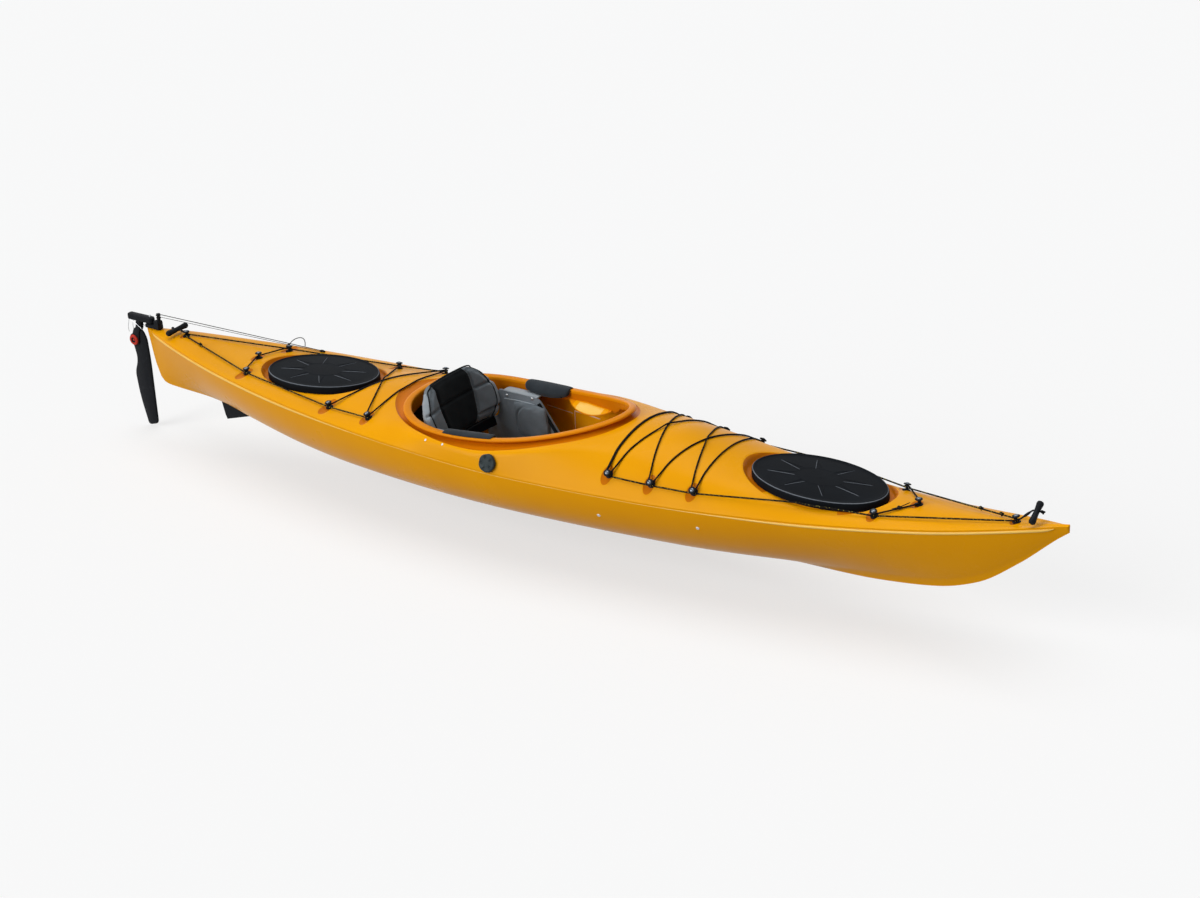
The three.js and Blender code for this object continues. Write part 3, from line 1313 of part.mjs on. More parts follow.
// Blade outline from its pivot: [along, up]
const bladeOutline = [
  [-24, 2], [-5, -86], [-30, -148], [-22, -252], [5, -375],
  [59, -359], [66, -81], [62, 14], [42, 50], [-4, 52],
].map(([along, up]) => [hub.x + along, hub.z + up]);

const disc = (radius, steps, x, z) => Array.from({ length: steps }, (_, k) => {
  const angle = (2 * Math.PI * k) / steps;
  return [x + radius * Math.cos(angle), z + radius * Math.sin(angle)];
});

function rudderBracket() {
  const [foot, half] = [sternDeck + GAP, BRACKET_HALF];
  const base = solidOf(block(sternEnd - BRACKET_OVERHANG, bracketFore, -half, half, foot, ledge));
  const top = sternDeck + BRACKET_TOP;
  const front = solidOf(block(sternEnd + BRACKET_STEP, bracketFore, -half, half, foot, top));
  const guideMiddle = sternDeck + (BRACKET_LEDGE + GUIDE_TOP) / 2;
  const guideAt = new THREE.Vector3(bracketFore - GUIDE_RADIUS, 0, guideMiddle);
  const guide = solidOf(rod(GUIDE_RADIUS, GUIDE_TOP - BRACKET_LEDGE, 12, guideAt, UP));
  const bore = solidOf(rod(PINTLE_RADIUS + GAP, PINTLE_DEPTH * 2, 12, pintle, UP));
  return base.add(front).add(guide).subtract(bore);
}

function rudderHead() {
  const foot = ledge + GAP;
  const headAft = sternEnd - HEAD_REACH;
  const round = disc(HEAD_ROUND, HEAD_STEPS, pintle.x, 0).filter(([x]) => x > pintle.x);
  const nose = round.sort((a, b) => a[1] - b[1]);
  const outline = [[headAft, -HEAD_HALF], ...nose, [headAft, HEAD_HALF]];
  let head = solidOf(upright(outline, foot, sternDeck + HEAD_TOP));
  const inner = BLADE_THICKNESS / 2 + BLADE_RUNNING;
  for (const side of [1, -1]) {
    const y = side * (inner + CHEEK_THICKNESS / 2);
    const plate = sidePrism(disc(CHEEK_RADIUS, CHEEK_STEPS, hub.x, hub.z), y, CHEEK_THICKNESS);
    const web = [
      [sternEnd - NECK_AFT - CHEEK_RADIUS, foot + CHEEK_THICKNESS], [hub.x - CHEEK_RADIUS, hub.z],
      [hub.x, hub.z - CHEEK_RADIUS / 2], [sternEnd - NECK_FORE, hub.z + CHEEK_RADIUS],
      [sternEnd - NECK_FORE, foot + CHEEK_THICKNESS],
    ];
    head = head.add(solidOf(plate)).add(solidOf(sidePrism(web, y, CHEEK_THICKNESS)));
  }
  const bore = rod(PINTLE_RADIUS + PINTLE_RUNNING, HEAD_TOP * 2, 16, pintle, UP);
  const pinBore = rod(BLADE_PIN_RADIUS + BLADE_RUNNING, BLADE_THICKNESS * 4, 12, hub, PORT);
  return head.subtract(solidOf(bore)).subtract(solidOf(pinBore));
}

function rudderBlade() {
  const half = BLADE_THICKNESS / 2;
  const mean = (axis) => bladeOutline.reduce((sum, point) => sum + point[axis], 0) / bladeOutline.length;
  const middle = [mean(0), mean(1)];
  const shrink = ([x, z]) => {
    const [dx, dz] = [middle[0] - x, middle[1] - z];
    const size = Math.hypot(dx, dz);
    return [x + (dx / size) * BLADE_EDGE * 2, z + (dz / size) * BLADE_EDGE * 2];
  };
  const ring = (outline, y) => outline.map(([x, z]) => [x, y, z]);
  const inner = bladeOutline.map(shrink);
  const rings = [
    ring(inner, -half),
    ring(bladeOutline, -half + BLADE_EDGE),
    ring(bladeOutline, half - BLADE_EDGE),
    ring(inner, half),
  ];
  const bore = rod(BLADE_PIN_RADIUS + GAP, BLADE_THICKNESS * 2, 12, hub, PORT);
  return solidOf(loft(rings)).subtract(solidOf(bore));
}

const cheekFace = BLADE_THICKNESS / 2 + BLADE_RUNNING + CHEEK_THICKNESS;
const pintleLength = PINTLE_DEPTH + HEAD_TOP - BRACKET_LEDGE + HUB_CAP_DEPTH;
const pintleFoot = ledge - PINTLE_DEPTH + GAP;
const pintleMiddle = pintle.clone().setZ(pintleFoot + pintleLength / 2);
place("rudder_bracket", rudderBracket(), blackPlastic);
place("rudder_pintle", rod(PINTLE_RADIUS, pintleLength, 12, pintleMiddle, UP), steel);
place("rudder_head", rudderHead(), blackPlastic);
place("rudder_blade", rudderBlade(), blackPlastic);
place("rudder_pivot_pin", rod(BLADE_PIN_RADIUS, cheekFace * 2, 12, hub, PORT), steel);
const hubCapAt = hub.clone().setY(-cheekFace - GAP - HUB_CAP_DEPTH / 2);
const hubCapProfile = [
  [0, -HUB_CAP_DEPTH / 2], [HUB_CAP_RADIUS, -HUB_CAP_DEPTH / 2], [HUB_CAP_RADIUS, 0],
  [HUB_CAP_RADIUS - HUB_CAP_DEPTH / 2, HUB_CAP_DEPTH / 2], [0, HUB_CAP_DEPTH / 2],
];
place("rudder_hub_cap", turned(hubCapProfile, 18, hubCapAt, PORT.clone().negate()), redPlastic);

// Thin lines: the blade's lifting line along the port side, and its pull loop behind the rear hatch
const THIN_RADIUS = 2;
const LOOP_RADIUS = 1.6;
const LIFT_ALONG_SHARE = -0.6231;
const LIFT_OUT_SHARE = 0.5754;
const liftStart = new THREE.Vector3(
  bracketFore - GUIDE_RADIUS,
  GUIDE_RADIUS + THIN_RADIUS + GAP,
  sternDeck + GUIDE_TOP - GUIDE_RADIUS,
);
const liftEnd = deckPoint(LIFT_ALONG_SHARE * HALF_LENGTH, (LIFT_OUT_SHARE * BEAM) / 2).point.clone();
liftEnd.z += THIN_RADIUS + CORD_LIFT;
const liftRoute = [liftStart, ...taut(liftStart, liftEnd, THIN_RADIUS, []), liftEnd];
place("rudder_lift_line", cord(liftRoute, THIN_RADIUS), blackCord);
const loopFoot = posts.aft_3_port;
const overCap = CAP_FOOT + CAP_DEPTH + LOOP_RADIUS + GAP;
const loopBase = loopFoot.base.clone().addScaledVector(loopFoot.normal, overCap);
const pullPoints = [[0, 0, 0], [16, 2, 16], [44, 4, 36], [74, 7, 41], [79, 8, 30], [75, 8, 2]];
const pullRoute = pullPoints.map(([x, y, z]) => new THREE.Vector3(x, y, z).add(loopBase));
place("rudder_pull_loop", cord(pullRoute, LOOP_RADIUS), blackCord);

kayak.updateMatrixWorld(true);
export default kayak;
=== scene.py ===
"""Looks of a sea kayak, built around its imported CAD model. Blender 4.5, metres, Z up."""

# %% [markdown]
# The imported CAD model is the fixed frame. Everything below is built around it in the same metres:
# +X points to the bow, +Y to port, and the origin lies on the keel half way along the boat.

# %% Load the frame
import math

import bmesh
import bpy
import numpy as np
from mathutils import Matrix, Vector
from mathutils.bvhtree import BVHTree


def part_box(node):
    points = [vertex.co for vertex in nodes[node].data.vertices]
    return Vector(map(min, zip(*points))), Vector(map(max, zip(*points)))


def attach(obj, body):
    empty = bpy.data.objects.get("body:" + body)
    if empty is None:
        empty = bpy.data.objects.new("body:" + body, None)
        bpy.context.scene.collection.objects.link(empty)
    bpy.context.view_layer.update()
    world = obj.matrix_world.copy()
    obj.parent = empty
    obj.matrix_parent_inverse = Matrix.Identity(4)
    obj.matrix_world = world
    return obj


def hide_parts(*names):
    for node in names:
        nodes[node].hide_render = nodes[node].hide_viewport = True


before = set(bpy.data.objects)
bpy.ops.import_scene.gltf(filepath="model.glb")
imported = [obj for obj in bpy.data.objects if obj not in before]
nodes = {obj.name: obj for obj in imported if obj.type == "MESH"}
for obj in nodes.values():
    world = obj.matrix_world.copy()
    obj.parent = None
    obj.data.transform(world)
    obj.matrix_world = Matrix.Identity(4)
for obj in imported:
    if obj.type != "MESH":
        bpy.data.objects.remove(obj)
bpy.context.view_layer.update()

# %% [markdown]
# A photograph is matched by its camera. This one stood off the starboard bow, a little above the deck.
# Its heading, tilt, roll and focal length were worked out once from the boat's own lines, and the camera
# is built from those four numbers, so that it can be read and changed.

# %% Camera
VIEW_HEADING = 0.6376
VIEW_TILT = 0.433
VIEW_ROLL = -0.0654
VIEW_DISTANCE = 8.8077
VIEW_TARGET = Vector((0.199, 0.0, 0.2518))
SENSOR_WIDTH = 36.0
FOCAL_PIXELS = 2510.4
FRAME_PIXELS = 1200.0
CAMERA_REACH = 60.0
UP = Vector((0, 0, 1))


def placed(name, data):
    """A new object in the scene."""
    obj = bpy.data.objects.new(name, data)
    bpy.context.collection.objects.link(obj)
    return obj


look = Vector((
    -math.sin(VIEW_HEADING) * math.cos(VIEW_TILT),
    math.cos(VIEW_HEADING) * math.cos(VIEW_TILT),
    -math.sin(VIEW_TILT),
))
level_right = look.cross(UP).normalized()
level_up = level_right.cross(look)
roll_cos, roll_sin = math.cos(VIEW_ROLL), math.sin(VIEW_ROLL)
camera_right = roll_cos * level_right + roll_sin * level_up
camera_up = roll_cos * level_up - roll_sin * level_right

camera_data = bpy.data.cameras.new("camera")
camera_data.sensor_width = SENSOR_WIDTH
camera_data.lens = SENSOR_WIDTH * FOCAL_PIXELS / FRAME_PIXELS
camera_data.clip_end = CAMERA_REACH
camera = placed("camera", camera_data)
turn = Matrix((camera_right, camera_up, -look)).transposed().to_4x4()
camera.matrix_world = Matrix.Translation(VIEW_TARGET - look * VIEW_DISTANCE) @ turn
bpy.context.scene.camera = camera
print("camera at", [round(v, 3) for v in camera.matrix_world.translation])

# %% [markdown]
# Node trees are easier to read as sums than as wires. `Value` wraps one socket, and an expression such
# as `1 - mask * 0.5` adds the Math nodes it needs. Everything else comes from `Shader.node`.

# %% Shader maths
def wire(tree, socket, value):
    """Links a value to a socket, or sets it there where it is a plain number or colour."""
    if isinstance(value, Value):
        tree.links.new(value.socket, socket)
    else:
        socket.default_value = value


def add_node(tree, kind, settings, output, inputs):
    """A node whose settings are set first, and then its sockets. Gives back one of its outputs."""
    node = tree.nodes.new(kind)
    for name, value in settings.items():
        setattr(node, name, value)
    for name, value in inputs.items():
        wire(tree, node.inputs[name], value)
    return Value(tree, node.outputs[output])


class Value:
    """One number over the surface, written as a plain expression."""

    def __init__(self, tree, socket):
        self.tree = tree
        self.socket = socket

    def math(self, operation, *operands):
        return add_node(self.tree, "ShaderNodeMath", {"operation": operation}, 0, dict(enumerate(operands)))

    def __add__(self, other):
        return self.math("ADD", self, other)

    __radd__ = __add__

    def __sub__(self, other):
        return self.math("SUBTRACT", self, other)

    def __rsub__(self, other):
        return self.math("SUBTRACT", other, self)

    def __mul__(self, other):
        return self.math("MULTIPLY", self, other)

    __rmul__ = __mul__

    def clamp(self):
        return add_node(self.tree, "ShaderNodeClamp", {}, 0, {0: self})

    def step(self, low, high):
        """0 below low, 1 above high, smooth between."""
        settings = {"interpolation_type": "SMOOTHSTEP"}
        inputs = {"Value": self, "From Min": low, "From Max": high}
        return add_node(self.tree, "ShaderNodeMapRange", settings, 0, inputs)


class Shader:
    """A material under construction: a Principled surface and the nodes that feed it."""

    def __init__(self, name, **uniform):
        self.material = bpy.data.materials.new(name)
        self.material.use_nodes = True
        self.tree = self.material.node_tree
        self.surface = self.tree.nodes["Principled BSDF"]
        for socket, value in uniform.items():
            self.surface.inputs[socket.replace("_", " ")].default_value = value
        self.place = self.node("ShaderNodeTexCoord", {}, output="Object")

    def node(self, kind, settings=None, output=0, **inputs):
        return add_node(self.tree, kind, settings or {}, output, inputs)

    def noise(self, scale, detail, roughness):
        kind = "ShaderNodeTexNoise"
        return self.node(kind, Vector=self.place, Scale=scale, Detail=detail, Roughness=roughness)

    def wave(self, way, scale, distortion):
        settings = {"bands_direction": way}
        return self.node("ShaderNodeTexWave", settings, Vector=self.place, Scale=scale, Distortion=distortion)

    def mix(self, factor, first, second):
        inputs = {0: factor, 6: first, 7: second}
        return add_node(self.tree, "ShaderNodeMix", {"data_type": "RGBA"}, 2, inputs)

    def bump(self, height, depth):
        return self.node("ShaderNodeBump", Height=height, Distance=depth, Strength=1.0)

    def feed(self, **links):
        for name, value in links.items():
            wire(self.tree, self.surface.inputs[name.replace("_", " ")], value)
        return self.material


def rgb(red, green, blue):
    """A colour as the eye reads it, 0 to 255, turned into the linear light that shaders work in."""
    linear = []
    for level in (red / 255, green / 255, blue / 255):
        linear.append(level / 12.92 if level <= 10 / 255 else ((level + 0.055) / 1.055) ** 2.4)
    return (*linear, 1.0)


# %% [markdown]
# The hull is rotomoulded polyethylene: coloured all through, glossy from the mould, with the faint orange
# peel and cloudy tint that the process leaves. It is one plastic, drawn in a few tints that paint light on
# it:
# the recesses and the rim of the cockpit carry painted shade, deeper where light bounces between their walls,
# and raised edges carry a paler painted highlight.

# %% Plastics
def shell_plastic(name, bright, shade, polish=0.0):
    shader = Shader(name, Specular_IOR_Level=0.06, Coat_Weight=polish, Coat_Roughness=0.12)
    cloud = shader.noise(3.1, 4.0, 0.55)
    grain = shader.noise(420.0, 2.0, 0.6)
    scuffs = shader.noise(38.0, 5.0, 0.7).step(0.6, 0.74)
    peel = shader.noise(900.0, 1.0, 0.5)
    colour = shader.mix(cloud.step(0.3, 0.75) * 0.5 + grain * 0.12, bright, shade)
    rough = 0.24 + cloud * 0.08 + scuffs * 0.1
    normal = shader.bump(peel * 0.6 + grain * 0.4, 0.00012)
    return shader.feed(Base_Color=colour, Roughness=rough, Normal=normal)


def moulded_plastic(name, colour, pale_tint, roughness=0.45, grain_scale=1400.0, depth=0.00008):
    shader = Shader(name, Specular_IOR_Level=0.08)
    grain = shader.noise(grain_scale, 2.0, 0.6)
    wear = shader.noise(55.0, 5.0, 0.65).step(0.52, 0.75)
    tint = shader.mix(wear * 0.5 + grain * 0.15, colour, pale_tint)
    rough = roughness + grain * 0.12 - wear * 0.08
    return shader.feed(Base_Color=tint, Roughness=rough, Normal=shader.bump(grain, depth))


shell = shell_plastic("shell", rgb(238, 163, 4), rgb(230, 152, 2))
# Painted shade: the deeper orange of the recesses, of the cockpit's dished band and inner wall, and of cut
# faces
shell_shaded = shell_plastic("shell_shaded", rgb(208, 117, 3), rgb(196, 105, 2))
# Lighter painted shade: the deeper orange of the cockpit rim's lip and of the braces' roots and ends
shell_rim_shaded = shell_plastic("shell_rim_shaded", rgb(226, 138, 6), rgb(216, 126, 4))
# Painted highlights: the pale middles of the braces and the sheer bead (shell_lit), and the pale footwell
# beads
shell_lit = shell_plastic("shell_lit", rgb(244, 198, 90), rgb(240, 186, 72), 0.5)
bead_highlight = shell_plastic("bead_highlight", rgb(255, 228, 200), rgb(250, 214, 178))
black_plastic = moulded_plastic("black_plastic", rgb(19, 21, 25), rgb(40, 43, 48))
knob_plastic = moulded_plastic("knob_plastic", rgb(50, 58, 60), rgb(82, 92, 94), 0.35)
# The seat's grey plastic in two copies: the lighter one, with painted light, for its ledges and small parts,
# and the darker one, with painted shade, for its upright wings
seat_plastic = moulded_plastic("seat_plastic", rgb(160, 168, 174), rgb(180, 187, 192), 0.5, 900.0, 0.00015)
wing_shaded_plastic = moulded_plastic("wing_shaded_plastic", rgb(120, 128, 135), rgb(142, 149, 155), 0.5, 900.0, 0.00015)
hub_red = moulded_plastic("hub_red", rgb(196, 58, 44), rgb(168, 44, 34), 0.4)
foam = moulded_plastic("foam", rgb(52, 53, 56), rgb(70, 70, 72), 0.85, 260.0, 0.0006)


def hatch_rubber(name, colour, bloomed):
    """Soft blue-black rubber with the powdery bloom that such lids have."""
    shader = Shader(name, Specular_IOR_Level=0.03)
    bloom = shader.noise(9.0, 5.0, 0.6)
    pores = shader.noise(1500.0, 2.0, 0.7)
    colour = shader.mix(bloom.step(0.35, 0.75) * 0.6 + pores * 0.1, colour, bloomed)
    rough = 0.46 + bloom * 0.16
    return shader.feed(Base_Color=colour, Roughness=rough, Normal=shader.bump(pores, 0.00012))


def brushed_steel(name, bright, dull, roughness):
    shader = Shader(name, Metallic=1.0)
    streaks = shader.noise(600.0, 3.0, 0.6)
    colour = shader.mix(streaks, bright, dull)
    rough = roughness + streaks * 0.16
    return shader.feed(Base_Color=colour, Roughness=rough, Normal=shader.bump(streaks, 0.00004))


rubber = hatch_rubber("hatch_rubber", rgb(14, 17, 21), rgb(23, 27, 32))
# Painted highlight: a paler rubber on one row of the lid's rolled edge and on one line of each raised wedge
rubber_highlight = hatch_rubber("rubber_highlight", rgb(96, 101, 108), rgb(122, 127, 133))
steel = brushed_steel("steel", rgb(214, 216, 218), rgb(168, 171, 175), 0.22)
dull_steel = brushed_steel("dull_steel", rgb(124, 132, 142), rgb(78, 85, 94), 0.16)
print("plastics, rubber and steel ready")

# %% [markdown]
# The padding is woven nylon over foam. A weave is two sets of threads at right angles, so two fine waves
# multiplied together stand for it, and slow noise adds the slight fading that cloth takes on.

# %% Cloth
# The wave texture's scale is the number of threads over this
THREADS_PER_SCALE = 6.3


def woven_cloth(name, colour, pale_tint, threads=1400.0, depth=0.00022, sheen=0.12):
    shader = Shader(name, Sheen_Weight=sheen, Sheen_Roughness=0.5, Specular_IOR_Level=0.06)
    warp, weft = [shader.wave(way, threads / THREADS_PER_SCALE, 0.4) for way in ("X", "Z")]
    fade = shader.noise(14.0, 5.0, 0.6)
    fluff = shader.noise(700.0, 2.0, 0.6)
    weave = warp * 0.5 + weft * 0.5
    tint = shader.mix((fade.step(0.35, 0.7) * 0.45 + weave * 0.3 + fluff * 0.2).clamp(), colour, pale_tint)
    rough = 0.78 + fade * 0.14
    return shader.feed(Base_Color=tint, Roughness=rough, Normal=shader.bump(weave * 0.7 + fluff * 0.5, depth))


grey_cloth = woven_cloth("grey_cloth", rgb(94, 102, 108), rgb(120, 128, 134))
side_cloth = woven_cloth("side_cloth", rgb(138, 147, 154), rgb(158, 166, 172))
pad_cloth = woven_cloth("pad_cloth", rgb(38, 43, 48), rgb(55, 61, 66))
black_cloth = woven_cloth("black_cloth", rgb(15, 18, 20), rgb(27, 30, 32), 900.0, 0.0004, 0.03)
piping_cloth = woven_cloth("piping_cloth", rgb(15, 16, 18), rgb(28, 30, 32), 1800.0, 0.00015, 0.03)


def braided_cord(name, base, fleck, strands=340.0, flecks=0.5):
    """Braid shows as slanted ridges, with a pale tracer thread that turns up now and then."""
    shader = Shader(name, Specular_IOR_Level=0.08)
    ridges = shader.wave("DIAGONAL", strands, 1.2)
    tracer = shader.node("ShaderNodeTexVoronoi", Vector=shader.place, Scale=strands * 0.55)
    shown = (1 - tracer.step(0.22, 0.34)) * flecks
    dust = shader.noise(30.0, 4.0, 0.6)
    tint = shader.mix((shown * (0.5 + dust)).clamp(), base, fleck)
    return shader.feed(Base_Color=tint, Roughness=0.7 + ridges * 0.15, Normal=shader.bump(ridges, 0.0005))


deck_rope = braided_cord("deck_rope", rgb(24, 23, 22), rgb(196, 178, 84), 300.0, 0.75)
elastic = braided_cord("elastic", rgb(18, 18, 20), rgb(92, 90, 84), 420.0, 0.35)
thin_line = braided_cord("thin_line", rgb(34, 33, 32), rgb(150, 146, 132), 700.0, 0.4)
print("cloth and cords ready")

# %% [markdown]
# The boat is drawn by its lines: how wide and how high the sheer is, how deep the keel lies, how full each
# section is, and where the deck turns over. Stations are shares of half the length and heights are shares of
# the bow's height. They are the same numbers as in the CAD model, but here they feed a mesh fine enough that
# no facet shows.

# %% Lines of the boat
HALF_LENGTH = 1.99
HALF_BEAM = 0.3215
BOW_HEIGHT = 0.382
WALL = 0.005
SEAM = 0.0003
KEEL_FLAT = 0.034
TIP_RADIUS = 0.009
WIDEST = -0.059
FORE_POWERS = (1.516, 0.855)
AFT_POWERS = (1.963, 0.867)

SHEER_HEIGHTS = [
    (-1, 0.811), (-0.75, 0.732), (-0.5, 0.679), (-0.25, 0.6425), (0, 0.624),
    (0.25, 0.63), (0.5, 0.677), (0.75, 0.785), (1, 0.985),
]
KEEL_HEIGHTS = [
    (-1, 0.76), (-0.993, 0.497), (-0.984, 0.315), (-0.974, 0.238), (-0.955, 0.213), (-0.85, 0.196),
    (-0.78, 0.149), (-0.7, 0.089), (-0.54, 0.025), (-0.41, 0), (0.3, 0), (0.5, 0.042), (0.628, 0.058),
    (0.7, 0.089), (0.774, 0.147), (0.844, 0.275), (0.915, 0.54), (0.983, 0.856), (1, 0.925),
]
# How full the bilge and the floor of each section are
SECTION_POWERS = [
    (-1, 1.2, 1.15), (-0.754, 1.62, 1.52), (-0.5, 2.3, 1.96), (-0.2, 2.55, 2.15), (0.1, 2.31, 2.05),
    (0.4, 1.9, 1.65), (0.653, 1.05, 1.5), (0.955, 1.15, 1.2),
]
# Knuckle breadth as a share of the sheer's, then knuckle height and crown height
DECK_SECTIONS = [
    (-1, 0.5, 0.8147, 0.8194), (-0.905, 0.66, 0.8037, 0.8141), (-0.7, 0.735, 0.7356, 0.7618),
    (-0.54, 0.71, 0.7225, 0.7644), (-0.44, 0.73, 0.712, 0.8115), (-0.352, 0.75, 0.733, 0.8429),
    (-0.251, 0.8, 0.78, 0.8377), (-0.176, 0.92, 0.7853, 0.8168), (-0.075, 0.95, 0.7853, 0.8115),
    (0, 0.906, 0.8325, 0.8586), (0.05, 0.838, 0.8796, 0.911), (0.1, 0.736, 0.924, 0.9686),
    (0.15, 0.655, 0.945, 1.0157), (0.226, 0.61, 0.945, 1.0524), (0.276, 0.638, 0.9215, 1.0524),
    (0.327, 0.66, 0.898, 1.0157), (0.377, 0.668, 0.8796, 0.9686), (0.427, 0.66, 0.8639, 0.9215),
    (0.549, 0.73, 0.8063, 0.8429), (0.682, 0.557, 0.8325, 0.8586), (0.734, 0.49, 0.8377, 0.8586),
    (0.804, 0.48, 0.8534, 0.8743), (0.9085, 0.45, 0.9045, 0.911), (1, 0.4, 0.9935, 1),
]


def unit(value):
    """The value, held between 0 and 1."""
    return min(max(value, 0.0), 1.0)


def ease(t):
    """0 at 0 and 1 at 1, level at both."""
    return t * t * (3 - 2 * t)


def turns(count):
    """Evenly spaced angles round a full turn."""
    return [2 * math.pi * k / count for k in range(count)]


def follow(rows, at, column=1):
    """A smooth line through the rows that never overshoots them."""
    last = len(rows) - 1
    if at <= rows[0][0]:
        return rows[0][column]
    if at >= rows[last][0]:
        return rows[last][column]

    def slope(j):
        return (rows[j + 1][column] - rows[j][column]) / (rows[j + 1][0] - rows[j][0])

    def tangent(j):
        if j in (0, last):
            return slope(0 if j == 0 else last - 1)
        before, after = slope(j - 1), slope(j)
        return 0.0 if before * after <= 0 else 2 * before * after / (before + after)

    i = max(j for j in range(last) if rows[j][0] <= at)
    span = rows[i + 1][0] - rows[i][0]
    t = (at - rows[i][0]) / span
    level = rows[i][column] * (1 - ease(t)) + rows[i + 1][column] * ease(t)
    return level + span * t * (t - 1) * (tangent(i) * (t - 1) + tangent(i + 1) * t)


def sheer_breadth(x):
    share = x / HALF_LENGTH
    along, across = FORE_POWERS if share >= WIDEST else AFT_POWERS
    end = 1 - WIDEST if share >= WIDEST else 1 + WIDEST
    t = min(abs(share - WIDEST) / end, 1)
    breadth = max(HALF_BEAM * (1 - t ** along) ** across, TIP_RADIUS)
    into_tip = max(0.0, (abs(x) - HALF_LENGTH + TIP_RADIUS) / TIP_RADIUS)
    return breadth * math.sqrt(max(1 - into_tip ** 2, 0.02))


def sheer_height(x):
    return BOW_HEIGHT * follow(SHEER_HEIGHTS, x / HALF_LENGTH)


def keel_height(x):
    return BOW_HEIGHT * follow(KEEL_HEIGHTS, x / HALF_LENGTH)


def stations(step, fine_step, fine_from, fine_to):
    """Places along the boat: close together over the cockpit and at each tip, and where the hollow ends."""
    rows = list(np.arange(-1.97, 1.97, step)) + list(np.arange(fine_from, fine_to, fine_step))
    tip = [TIP_RADIUS * t for t in (0.0, 0.05, 0.2, 0.45, 0.75, 1.0, 1.5)]
    tip.append(HALF_LENGTH - HOLLOW_END + 0.0005)
    rows = sorted(rows + [HALF_LENGTH - t for t in tip] + [t - HALF_LENGTH for t in tip])
    return [x for k, x in enumerate(rows) if k == 0 or x - rows[k - 1] > 0.0003]


HOLLOW_END = 0.93 * HALF_LENGTH
print("breadth amidships", round(2 * sheer_breadth(-0.117), 4))

# %% [markdown]
# Every mesh below is made of rings: a closed profile carried along a path. `skin` joins the rings, `hoop`
# does the same round a closed path, and `lathe` turns a profile round an axis. Each makes a closed solid,
# so that light, shadow and the cutting tools all see a real wall.

# %% Mesh builders
def finish_mesh(name, points, faces, materials, tags=None, sharp=35.0):
    mesh = bpy.data.meshes.new(name)
    mesh.from_pydata([tuple(p) for p in points], [], faces)
    for material in materials:
        mesh.materials.append(material)
    if tags is not None:
        mesh.polygons.foreach_set("material_index", tags)
    bm = bmesh.new()
    bm.from_mesh(mesh)
    bmesh.ops.recalc_face_normals(bm, faces=bm.faces)
    bm.to_mesh(mesh)
    bm.free()
    obj = placed(name, mesh)
    soften(obj, sharp)
    return obj


def soften(obj, sharp=35.0):
    """Smooth shading that keeps edges sharper than the given angle."""
    obj.data.shade_smooth()
    obj.data.set_sharp_from_angle(angle=math.radians(sharp))


def skin_faces(rings, count, closed):
    faces = []
    for r in range(rings if closed else rings - 1):
        n = (r + 1) % rings
        for k in range(count):
            j = (k + 1) % count
            faces.append((r * count + k, r * count + j, n * count + j, n * count + k))
    return faces


def skin(name, rings, materials, tag=None, sharp=35.0):
    """Rings joined in a row, closed at both ends. tag(ring, place) picks the material."""
    count = len(rings[0])
    faces = skin_faces(len(rings), count, False)
    tags = [tag(r, k) if tag else 0 for r in range(len(rings) - 1) for k in range(count)]
    faces += [tuple(range(count)), tuple(range((len(rings) - 1) * count, len(rings) * count))]
    points = [p for ring in rings for p in ring]
    return finish_mesh(name, points, faces, materials, tags + [0, 0], sharp)


def hoop(name, rings, materials, tag=None, sharp=35.0):
    """Rings joined round a closed path."""
    count = len(rings[0])
    faces = skin_faces(len(rings), count, True)
    tags = [tag(r, k) if tag else 0 for r in range(len(rings)) for k in range(count)]
    return finish_mesh(name, [p for ring in rings for p in ring], faces, materials, tags, sharp)


def lathe(name, profile, centre, axis, materials, sides=32, sharp=35.0, tag=None):
    """A turned solid: rows of (radius, height) from one end of the axis to the other."""
    turn = UP.rotation_difference(Vector(axis).normalized())
    rings = []
    for radius, height in profile:
        spokes = [Vector((radius * math.cos(a), radius * math.sin(a), height)) for a in turns(sides)]
        rings.append([Vector(centre) + turn @ spoke for spoke in spokes])
    return skin(name, rings, materials, tag and (lambda r, k: tag(r)), sharp)


def prism(name, outline, levels, material):
    """An upright solid over an outline."""
    return skin(name, [[(p[0], p[1], z) for p in outline] for z in levels], [material])


def tube(name, points, radius, material, closed=False, sides=10):
    """A round cord along a route; its loose ends are rounded off."""
    count = len(points)
    rings, side = [], UP
    for k, point in enumerate(points):
        before = points[k - 1] if closed or k else point
        after = points[(k + 1) % count] if closed or k + 1 < count else point
        along = (after - before).normalized()
        if closed:
            side = along.cross(UP).normalized()
        else:
            if abs(side.dot(along)) > 0.97:
                side = Vector((0, 1, 0))
            side = (side - along * side.dot(along)).normalized()
        up = along.cross(side)
        size = radius
        if not closed:
            size *= min(1.0, 0.55 + 0.45 * min(k, count - 1 - k))
        rings.append([point + (side * math.cos(a) + up * math.sin(a)) * size for a in turns(sides)])
    return (hoop if closed else skin)(name, rings, [material], sharp=60)


def round_corners(outline, radii, steps=7):
    """The same outline with each corner replaced by an arc-like curve."""
    made = []
    count = len(outline)
    for k, corner in enumerate(outline):
        corner = Vector(corner)
        before, after = Vector(outline[k - 1]), Vector(outline[(k + 1) % count])
        reach = min(radii[k], (before - corner).length * 0.45, (after - corner).length * 0.45)
        first = corner + (before - corner).normalized() * reach
        last = corner + (after - corner).normalized() * reach
        for j in range(steps + 1):
            t = j / steps
            made.append(first * (1 - t) ** 2 + corner * 2 * t * (1 - t) + last * t * t)
    return made


def inset(outline, distance):
    """An outline moved inward along its own normals; the outline runs anticlockwise."""
    made = []
    count = len(outline)
    for k, point in enumerate(outline):
        along = (outline[(k + 1) % count] - outline[k - 1]).normalized()
        made.append(point + Vector((-along.y, along.x)) * distance)
    return made


